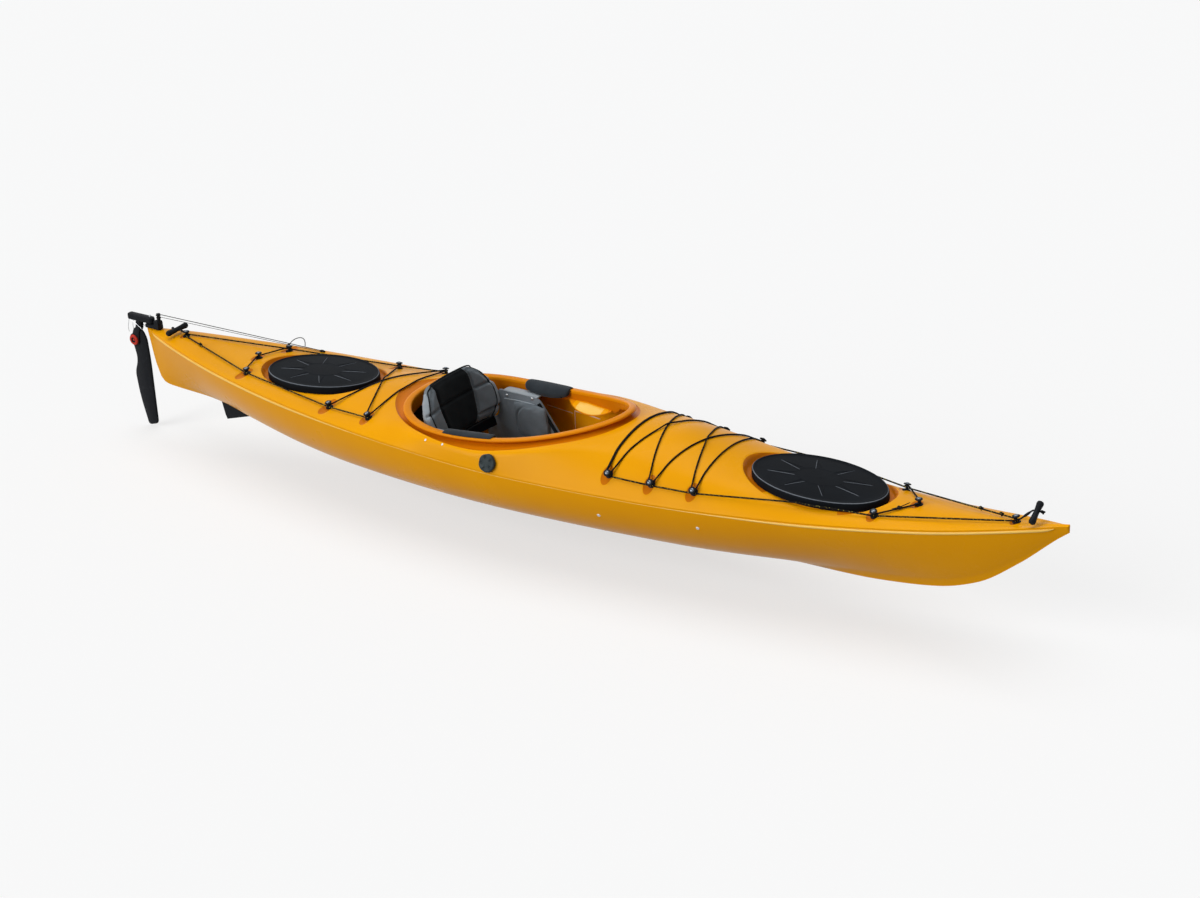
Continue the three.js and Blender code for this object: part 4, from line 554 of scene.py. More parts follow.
EDGE_ROWS = [(0.0028, 0.0), (0.0008, 0.09), (0.0, 0.32), (0.0, 0.68), (0.0008, 0.91), (0.0028, 1.0)]


def panel(name, outline, place, thickness, material, edges=EDGE_ROWS):
    """A plate over an outline. place(u, v, depth) gives each point."""
    area = sum(a.x * b.y - b.x * a.y for a, b in zip(outline, outline[1:] + outline[:1]))
    outline = outline if area > 0 else outline[::-1]
    rings = [[place(p.x, p.y, thickness * d) for p in inset(outline, i)] for i, d in edges]
    return skin(name, rings, [material], sharp=35)


def discard(obj):
    mesh = obj.data
    bpy.data.objects.remove(obj)
    bpy.data.meshes.remove(mesh)


def joined(name, objects, sharp=35.0):
    """Several meshes as one piece, each with its own materials."""
    points, faces, tags, slots = [], [], [], []
    for obj in objects:
        base = len(points)
        points += [v.co.copy() for v in obj.data.vertices]
        local = []
        for material in obj.data.materials:
            if material not in slots:
                slots.append(material)
            local.append(slots.index(material))
        for polygon in obj.data.polygons:
            faces.append(tuple(base + v for v in polygon.vertices))
            tags.append(local[polygon.material_index])
        discard(obj)
    return finish_mesh(name, points, faces, slots, tags, sharp)


def declare(piece, body, slot, *replaced, fill=None):
    """Hangs a piece on the body that carries it and hides the CAD nodes it stands for."""
    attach(piece, body)
    if replaced:
        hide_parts(*replaced)
    print(f"{piece.name}: {len(piece.data.polygons)} faces")
    return piece


def cut(obj, cutter):
    """Takes the cutter's volume out of obj, with the cutter's material on the new faces."""
    for material in cutter.data.materials:
        if material.name not in obj.data.materials:
            obj.data.materials.append(material)
    modifier = obj.modifiers.new("cut", "BOOLEAN")
    modifier.operation = "DIFFERENCE"
    modifier.solver = "EXACT"
    modifier.material_mode = "TRANSFER"
    modifier.object = cutter
    bake(obj)
    discard(cutter)


def drill(obj, radius, ends, centre, axis, sides=20):
    """A round bore through obj, from one end to the other along an axis."""
    bore = [(radius, end) for end in ends]
    cut(obj, lathe("bore", bore, centre, axis, [black_plastic], sides))


def surface_tree(obj):
    """A tree that rays can be cast at, over a mesh as it stands."""
    mesh = obj.data
    return BVHTree.FromPolygons([v.co for v in mesh.vertices], [tuple(p.vertices) for p in mesh.polygons])


def bake(obj):
    """Applies the modifiers of obj to its mesh."""
    graph = bpy.context.evaluated_depsgraph_get()
    made = bpy.data.meshes.new_from_object(obj.evaluated_get(graph))
    old = obj.data
    obj.modifiers.clear()
    obj.data = made
    made.name = old.name
    bpy.data.meshes.remove(old)


# %% [markdown]
# The hull is one U-shaped wall, 5 mm thick. Beyond the compartments it is solid, so the inner line lies flat
# along the sheer there. The skeg's slot is cut through its floor, and a thin bead stands along its top edge.

# %% Hull
HULL_STEPS = 22


def hull_half(x, inset):
    breadth = sheer_breadth(x)
    top, low = sheer_height(x), keel_height(x) + inset
    bilge = follow(SECTION_POWERS, x / HALF_LENGTH, 1)
    floor = follow(SECTION_POWERS, x / HALF_LENGTH, 2)
    start = math.asin(0.1)
    half = [(min(KEEL_FLAT / 2, breadth * 0.09), low)]
    for k in range(1, HULL_STEPS + 1):
        share = math.sin(start + (math.pi / 2 - start) * k / HULL_STEPS)
        drop = (1 - share ** bilge) ** (1 / floor)
        half.append((share * (breadth - inset), top - (top - low) * drop))
    return half


def hull_ring(x):
    outer = hull_half(x, 0.0)
    hollow = abs(x) < HOLLOW_END
    if hollow:
        inner = hull_half(x, WALL)
    else:
        inner = [(outer[-1][0] * (k + 0.5) / (len(outer) + 0.5), outer[-1][1]) for k in range(len(outer))]
    ring = [(x, -y, z) for y, z in reversed(outer)] + [(x, y, z) for y, z in outer]
    return ring + [(x, y, z) for y, z in reversed(inner)] + [(x, -y, z) for y, z in inner]


hull = skin("hull", [hull_ring(x) for x in stations(0.018, 0.018, 0.0, 0.01)], [shell], sharp=50)

SLOT_HALF = 0.006
SLOT_AFT, SLOT_FORE = -1.6512, -1.3268
slot_outline = [
    (end + way * SLOT_HALF * math.cos(a), way * SLOT_HALF * math.sin(a))
    for end, way in ((SLOT_FORE, 1), (SLOT_AFT, -1))
    for a in np.linspace(-math.pi / 2, math.pi / 2, 9)
]
# The slot's walls carry painted shade
cut(hull, prism("skeg_slot", slot_outline, (-0.02, 0.06, 0.16), shell_shaded))

# A bead runs along the hull's top edge and fades out amidships. Its pale colour is a painted highlight.
BEAD_RADIUS = (0.001, 0.005)
BEAD_DROP = 0.0055
BEAD_FADE = (0.55, 1.2)
BEAD_END = 1.945


def sheer_bead(side):
    rings = []
    for x in np.linspace(-BEAD_END, BEAD_END, 220):
        share = ease(unit((abs(x) - BEAD_FADE[0]) / (BEAD_FADE[1] - BEAD_FADE[0])))
        radius = BEAD_RADIUS[0] + (BEAD_RADIUS[1] - BEAD_RADIUS[0]) * share
        radius *= min(1.0, (BEAD_END - abs(x)) / 0.03 + 0.2)
        middle = Vector((x, side * (sheer_breadth(x) - 0.25 * radius), sheer_height(x) - BEAD_DROP - radius))
        rings.append([middle + Vector((0, math.cos(a), math.sin(a))) * radius for a in turns(12)])
    return skin("sheer_bead", rings, [shell_lit], sharp=70)


hull = joined("hull", [hull, sheer_bead(1), sheer_bead(-1)], 50)
declare(hull, "boat", "shell", "hull_shell")

# %% [markdown]
# The deck is drawn the same way. From the sheer a side panel rises to a rounded knuckle, and a shallow crown
# spans between the two knuckles.

# %% Deck
PANEL_STEPS = 8
KNUCKLE_STEPS = 5
CROWN_STEPS = 15
KNUCKLE_ROUND = 0.02
SIDE_BULGE = 0.04


def deck_half(x, inset=0.0):
    """Half a deck section, from the sheer to the middle, as (out, up) pairs."""
    share = x / HALF_LENGTH
    breadth = sheer_breadth(x)
    sheer = Vector((breadth, sheer_height(x)))
    out, up, middle_up = [follow(DECK_SECTIONS, share, column) for column in (1, 2, 3)]
    knuckle = Vector((breadth * out, BOW_HEIGHT * up))
    crown = max(BOW_HEIGHT * middle_up, knuckle.y)
    bulge = 2 * SIDE_BULGE * (breadth - knuckle.x)
    control = (sheer + knuckle) / 2 + Vector((bulge, bulge))

    def panel(t):
        return sheer * (1 - t) ** 2 + control * 2 * t * (1 - t) + knuckle * t * t

    def top(step):
        return Vector((knuckle.x * step, knuckle.y + (crown - knuckle.y) * (1 - step * step)))

    reach = min(KNUCKLE_ROUND, 0.4 * (knuckle - sheer).length, 0.4 * knuckle.x)
    end_panel = 1 - reach / (knuckle - sheer).length
    start_top = 1 - reach / knuckle.x
    half = [panel(end_panel * k / PANEL_STEPS) for k in range(PANEL_STEPS + 1)]
    first, last = half[-1], top(start_top)
    for k in range(1, KNUCKLE_STEPS):
        t = k / KNUCKLE_STEPS
        half.append(first * (1 - t) ** 2 + knuckle * 2 * t * (1 - t) + last * t * t)
    half += [top(start_top * (1 - k / CROWN_STEPS)) for k in range(CROWN_STEPS + 1)]
    if inset:
        narrow = (breadth - inset) / breadth
        sink = [min(k / 3, 1) * inset for k in range(len(half))]
        half = [Vector((p.x * narrow, p.y - s)) for p, s in zip(half, sink)]
    return [(p.x, p.y + SEAM) for p in half]


def deck_ring(x):
    outer = deck_half(x)
    if abs(x) < HOLLOW_END:
        inner = deck_half(x, WALL)
    else:
        inner = [(outer[0][0] * (1 - (k + 0.5) / len(outer)), outer[0][1]) for k in range(len(outer))]
        inner[-1] = (0.0, outer[0][1])
    ring = [(x, y, z) for y, z in outer] + [(x, -y, z) for y, z in reversed(outer[:-1])]
    return ring + [(x, -y, z) for y, z in inner[:-1]] + [(x, y, z) for y, z in reversed(inner)]


deck_stations = stations(0.018, 0.009, -0.7, 0.56)
deck = skin("deck", [deck_ring(x) for x in deck_stations], [shell], sharp=50)

# The surface as drawn, before anything is cut, tells where fittings and edges sit
outer_count = 2 * len(deck_half(0.0)) - 1
outer_points = [p for x in deck_stations for p in deck_ring(x)[:outer_count]]
outer_faces = [
    (r * outer_count + k, r * outer_count + k + 1, (r + 1) * outer_count + k + 1, (r + 1) * outer_count + k)
    for r in range(len(deck_stations) - 1)
    for k in range(outer_count - 1)
]
deck_tree = BVHTree.FromPolygons(outer_points, outer_faces)


def deck_height(x, y):
    hit = deck_tree.ray_cast(Vector((x, y, 1.0)), -UP)
    return hit[0].z if hit[0] else sheer_height(x)


def on_deck(x, y):
    return Vector((x, y, deck_height(x, y)))


print("deck", len(deck.data.polygons), "faces, crown ahead of the cockpit", round(deck_height(0.5, 0), 4))

# %% [markdown]
# The cockpit's rim, the wells of the two hatches and their rims are moulded in one with the deck. Each is a
# profile swept round its own oval. Its outer edge laps under the deck's skin, so that the join can't gape,
# and the deck is cut away inside that edge. The wall under the cockpit's lip is cut shorter over the braces.

# %% Cockpit rim
COAMING_CENTRE = -0.0648 * HALF_LENGTH
COAMING_SEMI = (0.453, 0.2475)
COAMING_POWER = 2.27
COAMING_EGG = 0.275
COAMING_SIDE_HEIGHT = 0.854 * BOW_HEIGHT
COAMING_RISE = 0.042
COAMING_DISH = 0.051
FLANGE_CENTRE = -0.159
FLANGE_SEMI = (0.507, 0.298)
FLANGE_POWER = 1.93
FLANGE_EGG = 0.06


def egg(angle, centre, semi, power, narrow, grow=0.0):
    """A point of an egg-shaped outline, and how far along it lies, from -1 to 1."""
    c, s = math.cos(angle), math.sin(angle)
    along = math.copysign(abs(c) ** (2 / power), c)
    across = math.copysign(abs(s) ** (2 / power), s) * (1 - narrow * c)
    return Vector((centre + (semi[0] + grow) * along, (semi[1] + grow) * across)), along


def lip_height(along):
    return COAMING_SIDE_HEIGHT + COAMING_RISE * along + COAMING_DISH * along * along


def coaming_point(angle, grow=0.0):
    place, along = egg(angle, COAMING_CENTRE, COAMING_SEMI, COAMING_POWER, COAMING_EGG, grow)
    return Vector((place.x, place.y, lip_height(along)))


def flange_point(angle, grow=0.0):
    return egg(angle, FLANGE_CENTRE, FLANGE_SEMI, FLANGE_POWER, FLANGE_EGG, grow)[0]


# The lip's section: outward from the middle of the lip, and up from its top
NECK_OUT = -0.0075
LIP_ROWS = [
    (NECK_OUT, -0.0205), (-0.0068, -0.0155), (-0.0062, -0.0125), (-0.004, -0.0105), (0.01, -0.0102),
    (0.0125, -0.0092), (0.0135, -0.0068), (0.0133, -0.0042), (0.0118, -0.0018), (0.0088, -0.0004),
    (0.004, 0.0), (-0.004, 0.0), (-0.0088, -0.0004), (-0.0118, -0.0018), (-0.0133, -0.0042),
    (-0.0137, -0.012), (-0.0138, -0.026), (-0.0136, -0.04), (-0.0135, -0.052), (-0.0128, -0.0555),
    (-0.0112, -0.0568), (-0.0094, -0.0562), (-0.0084, -0.054), (-0.008, -0.045), (-0.0078, -0.03),
]
WALL_ROWS = 15
WALL_START = -0.012
WALL_FULL = 0.044
WALL_STATIONS = (-0.33, -0.29, 0.01, 0.085, 0.14, 0.165, 0.2)
WALL_SHARES = (1.0, 0.64, 0.64, 0.86, 1.0, 1.0, 0.54)
FLANGE_DIP = 0.006
FLANGE_STEPS = 10
LAP = 0.004
LAP_SINK, EDGE_SINK = 0.0022, 0.0004
UNDER = 0.0045


def wall_share(x):
    """How much of its full depth the wall under the lip has: less over the braces and round the front."""
    return float(np.interp(x, WALL_STATIONS, WALL_SHARES))


def rim_ring(angle):
    edge = on_deck(*flange_point(angle)) - UP * EDGE_SINK
    lap = on_deck(*flange_point(angle, LAP)) - UP * LAP_SINK
    neck = coaming_point(angle, NECK_OUT)
    neck.z += LIP_ROWS[0][1]
    flange = []
    for k in range(1, FLANGE_STEPS):
        t = k / FLANGE_STEPS
        point = edge.lerp(neck, t)
        point.z -= FLANGE_DIP * math.sin(math.pi * t ** 0.7)
        flange.append(point)
    lip = []
    for k, (out, up) in enumerate(LIP_ROWS):
        point = coaming_point(angle, out)
        if k >= WALL_ROWS:
            up = WALL_START + (up - WALL_START) * wall_share(point.x)
        lip.append(Vector((point.x, point.y, point.z + up)))
    under = [p - UP * UNDER for p in reversed(flange)]
    return [lap, edge, *flange, *lip, *under, lap - UP * (UNDER - 0.002)]


def rim_tag(ring, place):
    """The dished band and the wall's hidden side carry the deeper painted shade, and the rest of the rim a
    lighter painted shade.
    """
    return int(1 <= place < FLANGE_STEPS + 4 or FLANGE_STEPS + 16 <= place < FLANGE_STEPS + 26)


RIM_STEPS = 220
coaming = hoop("coaming", [rim_ring(a) for a in turns(RIM_STEPS)], [shell_rim_shaded, shell_shaded], rim_tag, 60)
print("cockpit over the middle of its lip:", [round(2 * semi, 3) for semi in COAMING_SEMI], "m")

# %% [markdown]
# The braces for the thighs are tongues of the same plastic. They turn in and down from the foot of the wall,
# their free edge is rolled, and a pale painted highlight lies over their middle.

# %% Thigh braces
COAMING_LENGTH = 2 * COAMING_SEMI[0]
BRACE_ENDS = (0.042, 0.298)
BRACE_REACH = 0.046
BRACE_DROP = 0.016
BRACE_STEPS = 28
BRACE_THICK = 0.0045


def coaming_at(x, grow):
    """Half breadth and height of the rim at a station, on an outline grown from the lip's middle."""
    low, high = 0.0, math.pi
    for _ in range(40):
        middle = (low + high) / 2
        if coaming_point(middle, grow).x > x:
            low = middle
        else:
            high = middle
    point = coaming_point(low, grow)
    return point.y, point.z


def brace_ring(side, t):
    x = COAMING_CENTRE + COAMING_LENGTH * (BRACE_ENDS[0] + (BRACE_ENDS[1] - BRACE_ENDS[0]) * t)
    root, height = coaming_at(x, -0.0135)
    root += 0.003
    foot = height + WALL_START - WALL_FULL * wall_share(x)
    swell = max(math.sin(math.pi * t), 0.0) ** 0.8
    reach = 0.006 + BRACE_REACH * swell
    top, bottom = [], []
    for k in range(9):
        s = k / 8
        fall = BRACE_DROP * swell * s ** 1.8
        y = side * (root - reach * s)
        z = foot + 0.005 - fall
        roll = 0.003 * max(0.0, (s - 0.75) / 0.25) ** 2 * swell
        top.append(Vector((x, y, z - roll)))
        bottom.append(Vector((x, y, z - BRACE_THICK - 1.6 * roll)))
    tip = Vector((x, side * (root - reach - 0.0018 * swell), top[-1].z - BRACE_THICK / 2 - 0.0008))
    return [*top, tip, *reversed(bottom)]


def brace_tag(ring, place):
    """A brace carries the rim's painted shade at its root and ends, plain shell between, and a painted
    highlight over its middle.
    """
    if not 1 <= place <= 7 or not 4 <= ring <= 25:
        return 0
    return 2 if 7 <= ring <= 22 and place >= 2 else 1


braces = []
for side in (1, -1):
    rings = [brace_ring(side, k / BRACE_STEPS) for k in range(BRACE_STEPS + 1)]
    braces.append(skin("brace", rings, [shell_rim_shaded, shell, shell_lit], brace_tag, 60))
print("braces reach", BRACE_REACH, "m in from the rim")

# %% [markdown]
# Each hatch sits in a well, so that its lid stays low. Where the deck falls away beside the lid the well runs
# out to nothing, which is why its floor is the lower of two heights.

# %% Hatch wells
HATCH_SEMI = (0.248, 0.153)
COVER_DEPTH = 0.03
HATCHES = {
    "front": {"x": 0.549 * HALF_LENGTH, "top": 0.895 * BOW_HEIGHT, "slope": -0.05},
    "rear": {"x": -0.539 * HALF_LENGTH, "top": 0.799 * BOW_HEIGHT, "slope": 0.046},
}
OVAL_STEPS = 128
WELL_SIDE = 0.009
WELL_END = 0.028
WELL_FLOOR = 0.006
WELL_SHADED = 0.55
# From the deck's edge to the foot of the rim: how far out, and how far sunk
WELL_ROWS = [(0.83, 0.0), (0.63, 0.3), (0.47, 0.7), (0.27, 0.95), (0.0, 1.0), (None, 1.0)]
WELL_NECK = [(-0.01, 0.0), (-0.0106, 0.0035)]
WELL_BACK = [(-0.0166, -0.005), (-0.011, -0.0055)]
WELL_RIM = [(-0.0106, 0.0092), (-0.0116, 0.0078), (-0.0134, 0.0074), (-0.0152, 0.0078), (-0.0164, 0.0092)]


def lid_level(hatch, x, depth=0.0):
    """Height of a lid's slanted plane, or of a level under it."""
    return hatch["top"] + hatch["slope"] * x - depth


def oval_point(hatch, angle, grow, depth=None):
    """A point of a hatch's oval, at a depth under its lid, or on the deck where no depth is given."""
    x = (HATCH_SEMI[0] + grow) * math.cos(angle)
    y = (HATCH_SEMI[1] + grow) * math.sin(angle)
    place = Vector((hatch["x"] + x, y, 0))
    place.z = deck_height(place.x, y) if depth is None else lid_level(hatch, x, depth)
    return place


def well_margin(angle):
    """The well is wide at its ends and close to the lid along its sides."""
    return WELL_SIDE + WELL_END * math.cos(angle) ** 2


def well_ring(hatch, angle):
    margin = well_margin(angle)
    lap = oval_point(hatch, angle, margin + LAP) - UP * LAP_SINK
    edge = oval_point(hatch, angle, margin) - UP * EDGE_SINK
    rows = [lap, edge]
    for share, depth in WELL_ROWS:
        grow = -0.004 if share is None else WELL_FLOOR + (margin - WELL_FLOOR) * share
        point = oval_point(hatch, angle, grow)
        floor = oval_point(hatch, angle, grow, COVER_DEPTH + 0.001).z
        level = min(point.z - 0.0012, floor)
        point.z = (point.z - 0.0012) * (1 - depth) + level * depth
        rows.append(point)
    foot = rows[-1].z

    def from_foot(grow, up):
        place = oval_point(hatch, angle, grow, 0.0)
        return Vector((place.x, place.y, foot + up))

    rows += [from_foot(*row) for row in WELL_NECK]
    rows += [oval_point(hatch, angle, *row) for row in WELL_RIM]
    rows += [from_foot(*row) for row in WELL_BACK]
    rows += [p - UP * UNDER for p in reversed(rows[2:8])]
    rows.append(lap - UP * (UNDER - 0.002))
    return rows


def well_tag(ring, place):
    """The wide ends of a well carry painted shade, and the narrow sides look like the deck."""
    return int(place >= 2 and abs(math.cos(2 * math.pi * ring / OVAL_STEPS)) > WELL_SHADED)


wells = []
for name, hatch in HATCHES.items():
    rings = [well_ring(hatch, angle) for angle in turns(OVAL_STEPS)]
    wells.append(hoop(f"{name}_well", rings, [shell, shell_shaded], well_tag, 55))
print("wells:", len(wells))

# %% [markdown]
# Fittings stand in shallow oval scoops. A scoop is the cap of a large ball, a few millimetres deep, set
# square to the deck under each post and drawn out across the boat.

# %% Scoops and cut-outs
FITTINGS = {
    "fore_1": (0.2055, 0.7465), "fore_2": (0.2879, 0.7092), "fore_3": (0.3678, 0.6563),
    "fore_4": (0.6819, 0.3328), "aft_1": (-0.3342, 0.703), "aft_2": (-0.4387, 0.6314),
    "aft_3": (-0.6804, 0.3764), "fore_centre": (0.7342, 0), "bow": (0.9085, 0),
    "aft_centre": (-0.704, 0), "stern": (-0.8945, 0),
}
BASE_RADIUS = 0.014
SCOOP_DEPTH = 0.0046
SCOOP_ACROSS = 1.32
SCOOP_ALONG = 0.62
SCOOP_OUT = 0.006
SCOOP_AFT = 0.007


def seat_on_deck(x, y):
    """Where a fitting stands: its base, and its frame with the deck's own slope."""

    def touch(dx, dy):
        return on_deck(x + dx * BASE_RADIUS, y + dy * BASE_RADIUS)

    fore = (touch(1, 0) - touch(-1, 0)).normalized()
    normal = fore.cross(touch(0, 1) - touch(0, -1)).normalized()
    centre = touch(0, 0)
    rim = [touch(math.cos(a), math.sin(a)) for a in turns(20)]
    proud = max(0.0, max((p - centre).dot(normal) for p in rim))
    base = centre + normal * (proud + SEAM)
    return {"base": base, "normal": normal, "fore": fore, "port": normal.cross(fore)}


posts = {}
for name, (at, out) in FITTINGS.items():
    for suffix, side in ((("_port", 1), ("_starboard", -1)) if out else (("", 0),)):
        posts[name + suffix] = seat_on_deck(at * HALF_LENGTH, side * out * HALF_BEAM)


def scoop(post, radius):
    ball = (radius ** 2 + SCOOP_DEPTH ** 2) / (2 * SCOOP_DEPTH)
    half_angle = math.asin(radius * 1.15 / ball)
    profile = [(0.0004, -SCOOP_DEPTH)]
    for k in range(1, 9):
        angle = half_angle * k / 8
        profile.append((ball * math.sin(angle), ball * (1 - math.cos(angle)) - SCOOP_DEPTH))
    profile.append((profile[-1][0], 0.02))
    # The scoop's faces carry painted shade
    ball_cap = lathe("scoop", profile, post["base"], post["normal"], [shell_shaded], 40)
    out = math.copysign(SCOOP_OUT, post["base"].y) if abs(post["base"].y) > 0.05 else 0.0
    shift = post["port"] * out - post["fore"] * SCOOP_AFT
    for vertex in ball_cap.data.vertices:
        offset = vertex.co - post["base"]
        across, along = offset.dot(post["port"]), offset.dot(post["fore"])
        drawn = post["port"] * across * (SCOOP_ACROSS - 1) + post["fore"] * along * (SCOOP_ALONG - 1)
        vertex.co += drawn + shift
    return ball_cap


def scoop_radius(name):
    if name in ("bow", "stern"):
        return 0.024
    return 0.03 if "centre" in name or "4" in name else 0.034


for name, post in posts.items():
    cut(deck, scoop(post, scoop_radius(name)))
flange_outline = [flange_point(angle) for angle in turns(RIM_STEPS)]
# The cut faces round the cockpit and the hatches carry painted shade
cut(deck, prism("cockpit_cutter", flange_outline, (0.245, 0.6), shell_shaded))
for hatch in HATCHES.values():
    outline = [oval_point(hatch, angle, well_margin(angle)) for angle in turns(OVAL_STEPS)]
    cut(deck, prism("hatch_cutter", outline, (0.2, 0.6), shell_shaded))
deck_parts = joined("deck", [deck, coaming, *braces, *wells], 42)
declare(deck_parts, "boat", "shell", "deck_shell")
cord_tree = surface_tree(deck_parts)


def top_height(x, y):
    """Height of whatever a cord would lie on at a place: deck, well or rim."""
    return cord_tree.ray_cast(Vector((x, y, 1.0)), -UP)[0].z


print("fittings:", len(posts))

# %% [markdown]
# A hatch lid is one rubber moulding: a skirt that grips the rim, a rolled edge, and a crowned top with raised
# wedges that stiffen it round a plain middle.

# %% Hatch lids
LID_ROWS = [
    (-0.0012, 0.03), (0.0, 0.0288), (0.0, 0.02), (-0.0002, 0.0092), (-0.001, 0.0055), (-0.0028, 0.0026),
    (-0.0056, 0.0006), (-0.0085, 0.0), (-0.0115, 0.0006), (-0.0138, 0.0022), (-0.0165, 0.0026),
    (-0.026, 0.0018), (-0.045, 0.0002), (-0.07, -0.0012), (-0.1, -0.0024), (-0.13, -0.003),
    (-0.15, -0.0031),
]
LID_UNDER = [(-0.149, 0.004), (-0.07, 0.0058), (-0.018, 0.007), (-0.01, 0.0084), (-0.0092, 0.029)]
LID_CROWN = sorted(LID_ROWS[9:])
# The row of the rolled edge that carries the painted highlight
HIGHLIGHT_ROW = 5
EVEN_EDGE = -0.02
LID_INMOST = -0.1525
LID_PEAK = 0.0031
RIB_COUNT = 8
RIB_STEPS = 8
RIB_START, RIB_SPAN = 0.35, 0.41


def drawn_in(share, angle):
    """A place on the hatch's oval drawn smaller, from the oval's own middle."""
    return HATCH_SEMI[0] * share * math.cos(angle), HATCH_SEMI[1] * share * math.sin(angle)


def lid_top(hatch, x, y):
    """Height of the lid's crowned top at a place in the lid's own plane."""
    reach = math.hypot(x / HATCH_SEMI[0], y / HATCH_SEMI[1])
    grow = -HATCH_SEMI[1] * (1 - reach)
    return lid_level(hatch, x, np.interp(grow, [r[0] for r in LID_CROWN], [r[1] for r in LID_CROWN]))


def lid_point(hatch, angle, grow, depth):
    """Rows near the edge are evenly spaced, and those further in are the oval drawn smaller."""
    if grow >= EVEN_EDGE:
        return oval_point(hatch, angle, grow, depth)
    x, y = drawn_in(1 + max(grow, LID_INMOST) / HATCH_SEMI[1], angle)
    return Vector((hatch["x"] + x, y, lid_level(hatch, x, depth)))


def lid(name, hatch):
    rows = LID_ROWS + LID_UNDER
    rings = [[lid_point(hatch, angle, *row) for angle in turns(OVAL_STEPS)] for row in rows]
    # One row of the rolled edge is the paler rubber: a painted highlight
    return hoop(name, rings, [rubber, rubber_highlight], lambda r, k: int(r == HIGHLIGHT_ROW), 40)


def wedge(hatch, angle):
    """Two raised lines that start apart near the middle of the lid and meet near its edge."""
    lines = []
    out = Vector((-HATCH_SEMI[1] * math.sin(angle), HATCH_SEMI[0] * math.cos(angle), 0)).normalized()
    for way in (1, -1):
        points = []
        for k in range(RIB_STEPS + 1):
            t = k / RIB_STEPS
            x, y = drawn_in(RIB_START + RIB_SPAN * t, angle)
            spread = way * (0.0092 * (1 - t) + 0.0005)
            x, y = x + out.x * spread, y + out.y * spread
            rise = 0.0002 * math.sin(math.pi * t)
            points.append(Vector((hatch["x"] + x, y, lid_top(hatch, x, y) + rise)))
        # The line of each pair on the side the light comes from takes the paler rubber: a painted highlight
        pale_tint = way * math.cos(angle) < 0
        lines.append(tube("wedge", points, 0.001, rubber_highlight if pale_tint else rubber, sides=8))
    return lines


def lid_ring(hatch, share):
    """A fine raised line round the lid's plain middle."""
    points = []
    for angle in turns(64):
        x, y = drawn_in(share, angle)
        points.append(Vector((hatch["x"] + x, y, lid_top(hatch, x, y) - 0.0004)))
    return tube("ring", points, 0.0009, rubber, closed=True, sides=8)


for name, hatch in HATCHES.items():
    peak = hatch["top"] + LID_PEAK
    outline = [(hatch["x"] + 0.008 * math.cos(a), 0.005 * math.sin(a)) for a in turns(24)]
    parts = [lid(f"{name}_lid", hatch), prism("lid_middle", outline, (peak - 0.006, peak), rubber)]
    for k in range(RIB_COUNT):
        parts += wedge(hatch, 2 * math.pi * (k + 0.5) / RIB_COUNT)
    parts.append(lid_ring(hatch, RIB_START))
    piece = joined(f"{name}_hatch_lid", parts, 32)
    declare(piece, f"{name}_hatch", "hatch_rubber", f"{name}_hatch_cover")

# %% [markdown]
# Each fitting is a base, a neck for the cords and a rounded cap with a steel screw through it. The deck lines
# run low round the necks, and the elastic cords run above them.

# %% Deck fittings
POST_RADIUS = 0.004
LINE_RADIUS = 0.00275
BUNGEE_RADIUS = 0.00285
LOW_LEVEL = 0.003 + SEAM + LINE_RADIUS
HIGH_LEVEL = LOW_LEVEL + LINE_RADIUS + 3 * SEAM + BUNGEE_RADIUS
CAP_FOOT = HIGH_LEVEL + BUNGEE_RADIUS + 0.002
# The base and the neck, and then the cap, whose heights start at its foot
FOOT_ROWS = [
    (0.0115, -0.0052), (0.013, -0.004), (0.014, 0.0002), (0.0138, 0.0014), (0.012, 0.0022),
    (0.0075, 0.0029), (0.0046, 0.004), (0.004, 0.006),
]
CAP_TOP_ROWS = [
    (0.004, -0.001), (0.0052, 0.0), (0.0112, 0.0002), (0.0127, 0.0008), (0.0131, 0.002), (0.0126, 0.0034),
    (0.0108, 0.0045), (0.0078, 0.0051), (0.0062, 0.005), (0.0058, 0.004), (0.0052, 0.0038),
]
FITTING_ROWS = FOOT_ROWS + [(radius, CAP_FOOT + up) for radius, up in CAP_TOP_ROWS]
SCREW_ROWS = [
    (0.0072, 0.0036), (0.0074, 0.0046), (0.0066, 0.006), (0.005, 0.0071), (0.0032, 0.0077), (0.0022, 0.0078),
    (0.0019, 0.0072), (0.0018, 0.0058),
]


def fitting(post):
    body = lathe("fitting", FITTING_ROWS, post["base"], post["normal"], [black_plastic], 36, 32)
    head = post["base"] + post["normal"] * CAP_FOOT
    return [body, lathe("screw", SCREW_ROWS, head, post["normal"], [dull_steel], 24, 32)]


deck_fittings = joined("deck_fittings", [part for post in posts.values() for part in fitting(post)], 32)
declare(deck_fittings, "boat", "black_plastic", *[f"fitting_{name}" for name in posts])

# %% [markdown]
# A cord is laced as a rigger would: from post to post, on the tangent between their necks, bent round each
# neck and taut over the deck. Between two posts it touches only the high points, which the upper hull of the
# heights under it gives. Where it passes over a run laced before, it rides over that run.

# %% Lacing
WRAP_STEP = math.pi / 8
TAUT_STEPS = 70
CORD_LIFT = 0.0012
TOUCH = 0.00015


def around(name, level, way=1):
    return {"post": posts[name], "centre": posts[name]["base"], "level": level, "way": way}


def through(point):
    return {"post": None, "centre": Vector(point), "way": 0}


def wrap_radius(radius):
    return (POST_RADIUS + radius + SEAM) / math.cos(WRAP_STEP / 2)


def heading_between(a, b, reach):
    d = b["centre"] - a["centre"]
    return math.atan2(d.y, d.x) + math.asin(reach * (a["way"] - b["way"]) / math.hypot(d.x, d.y))


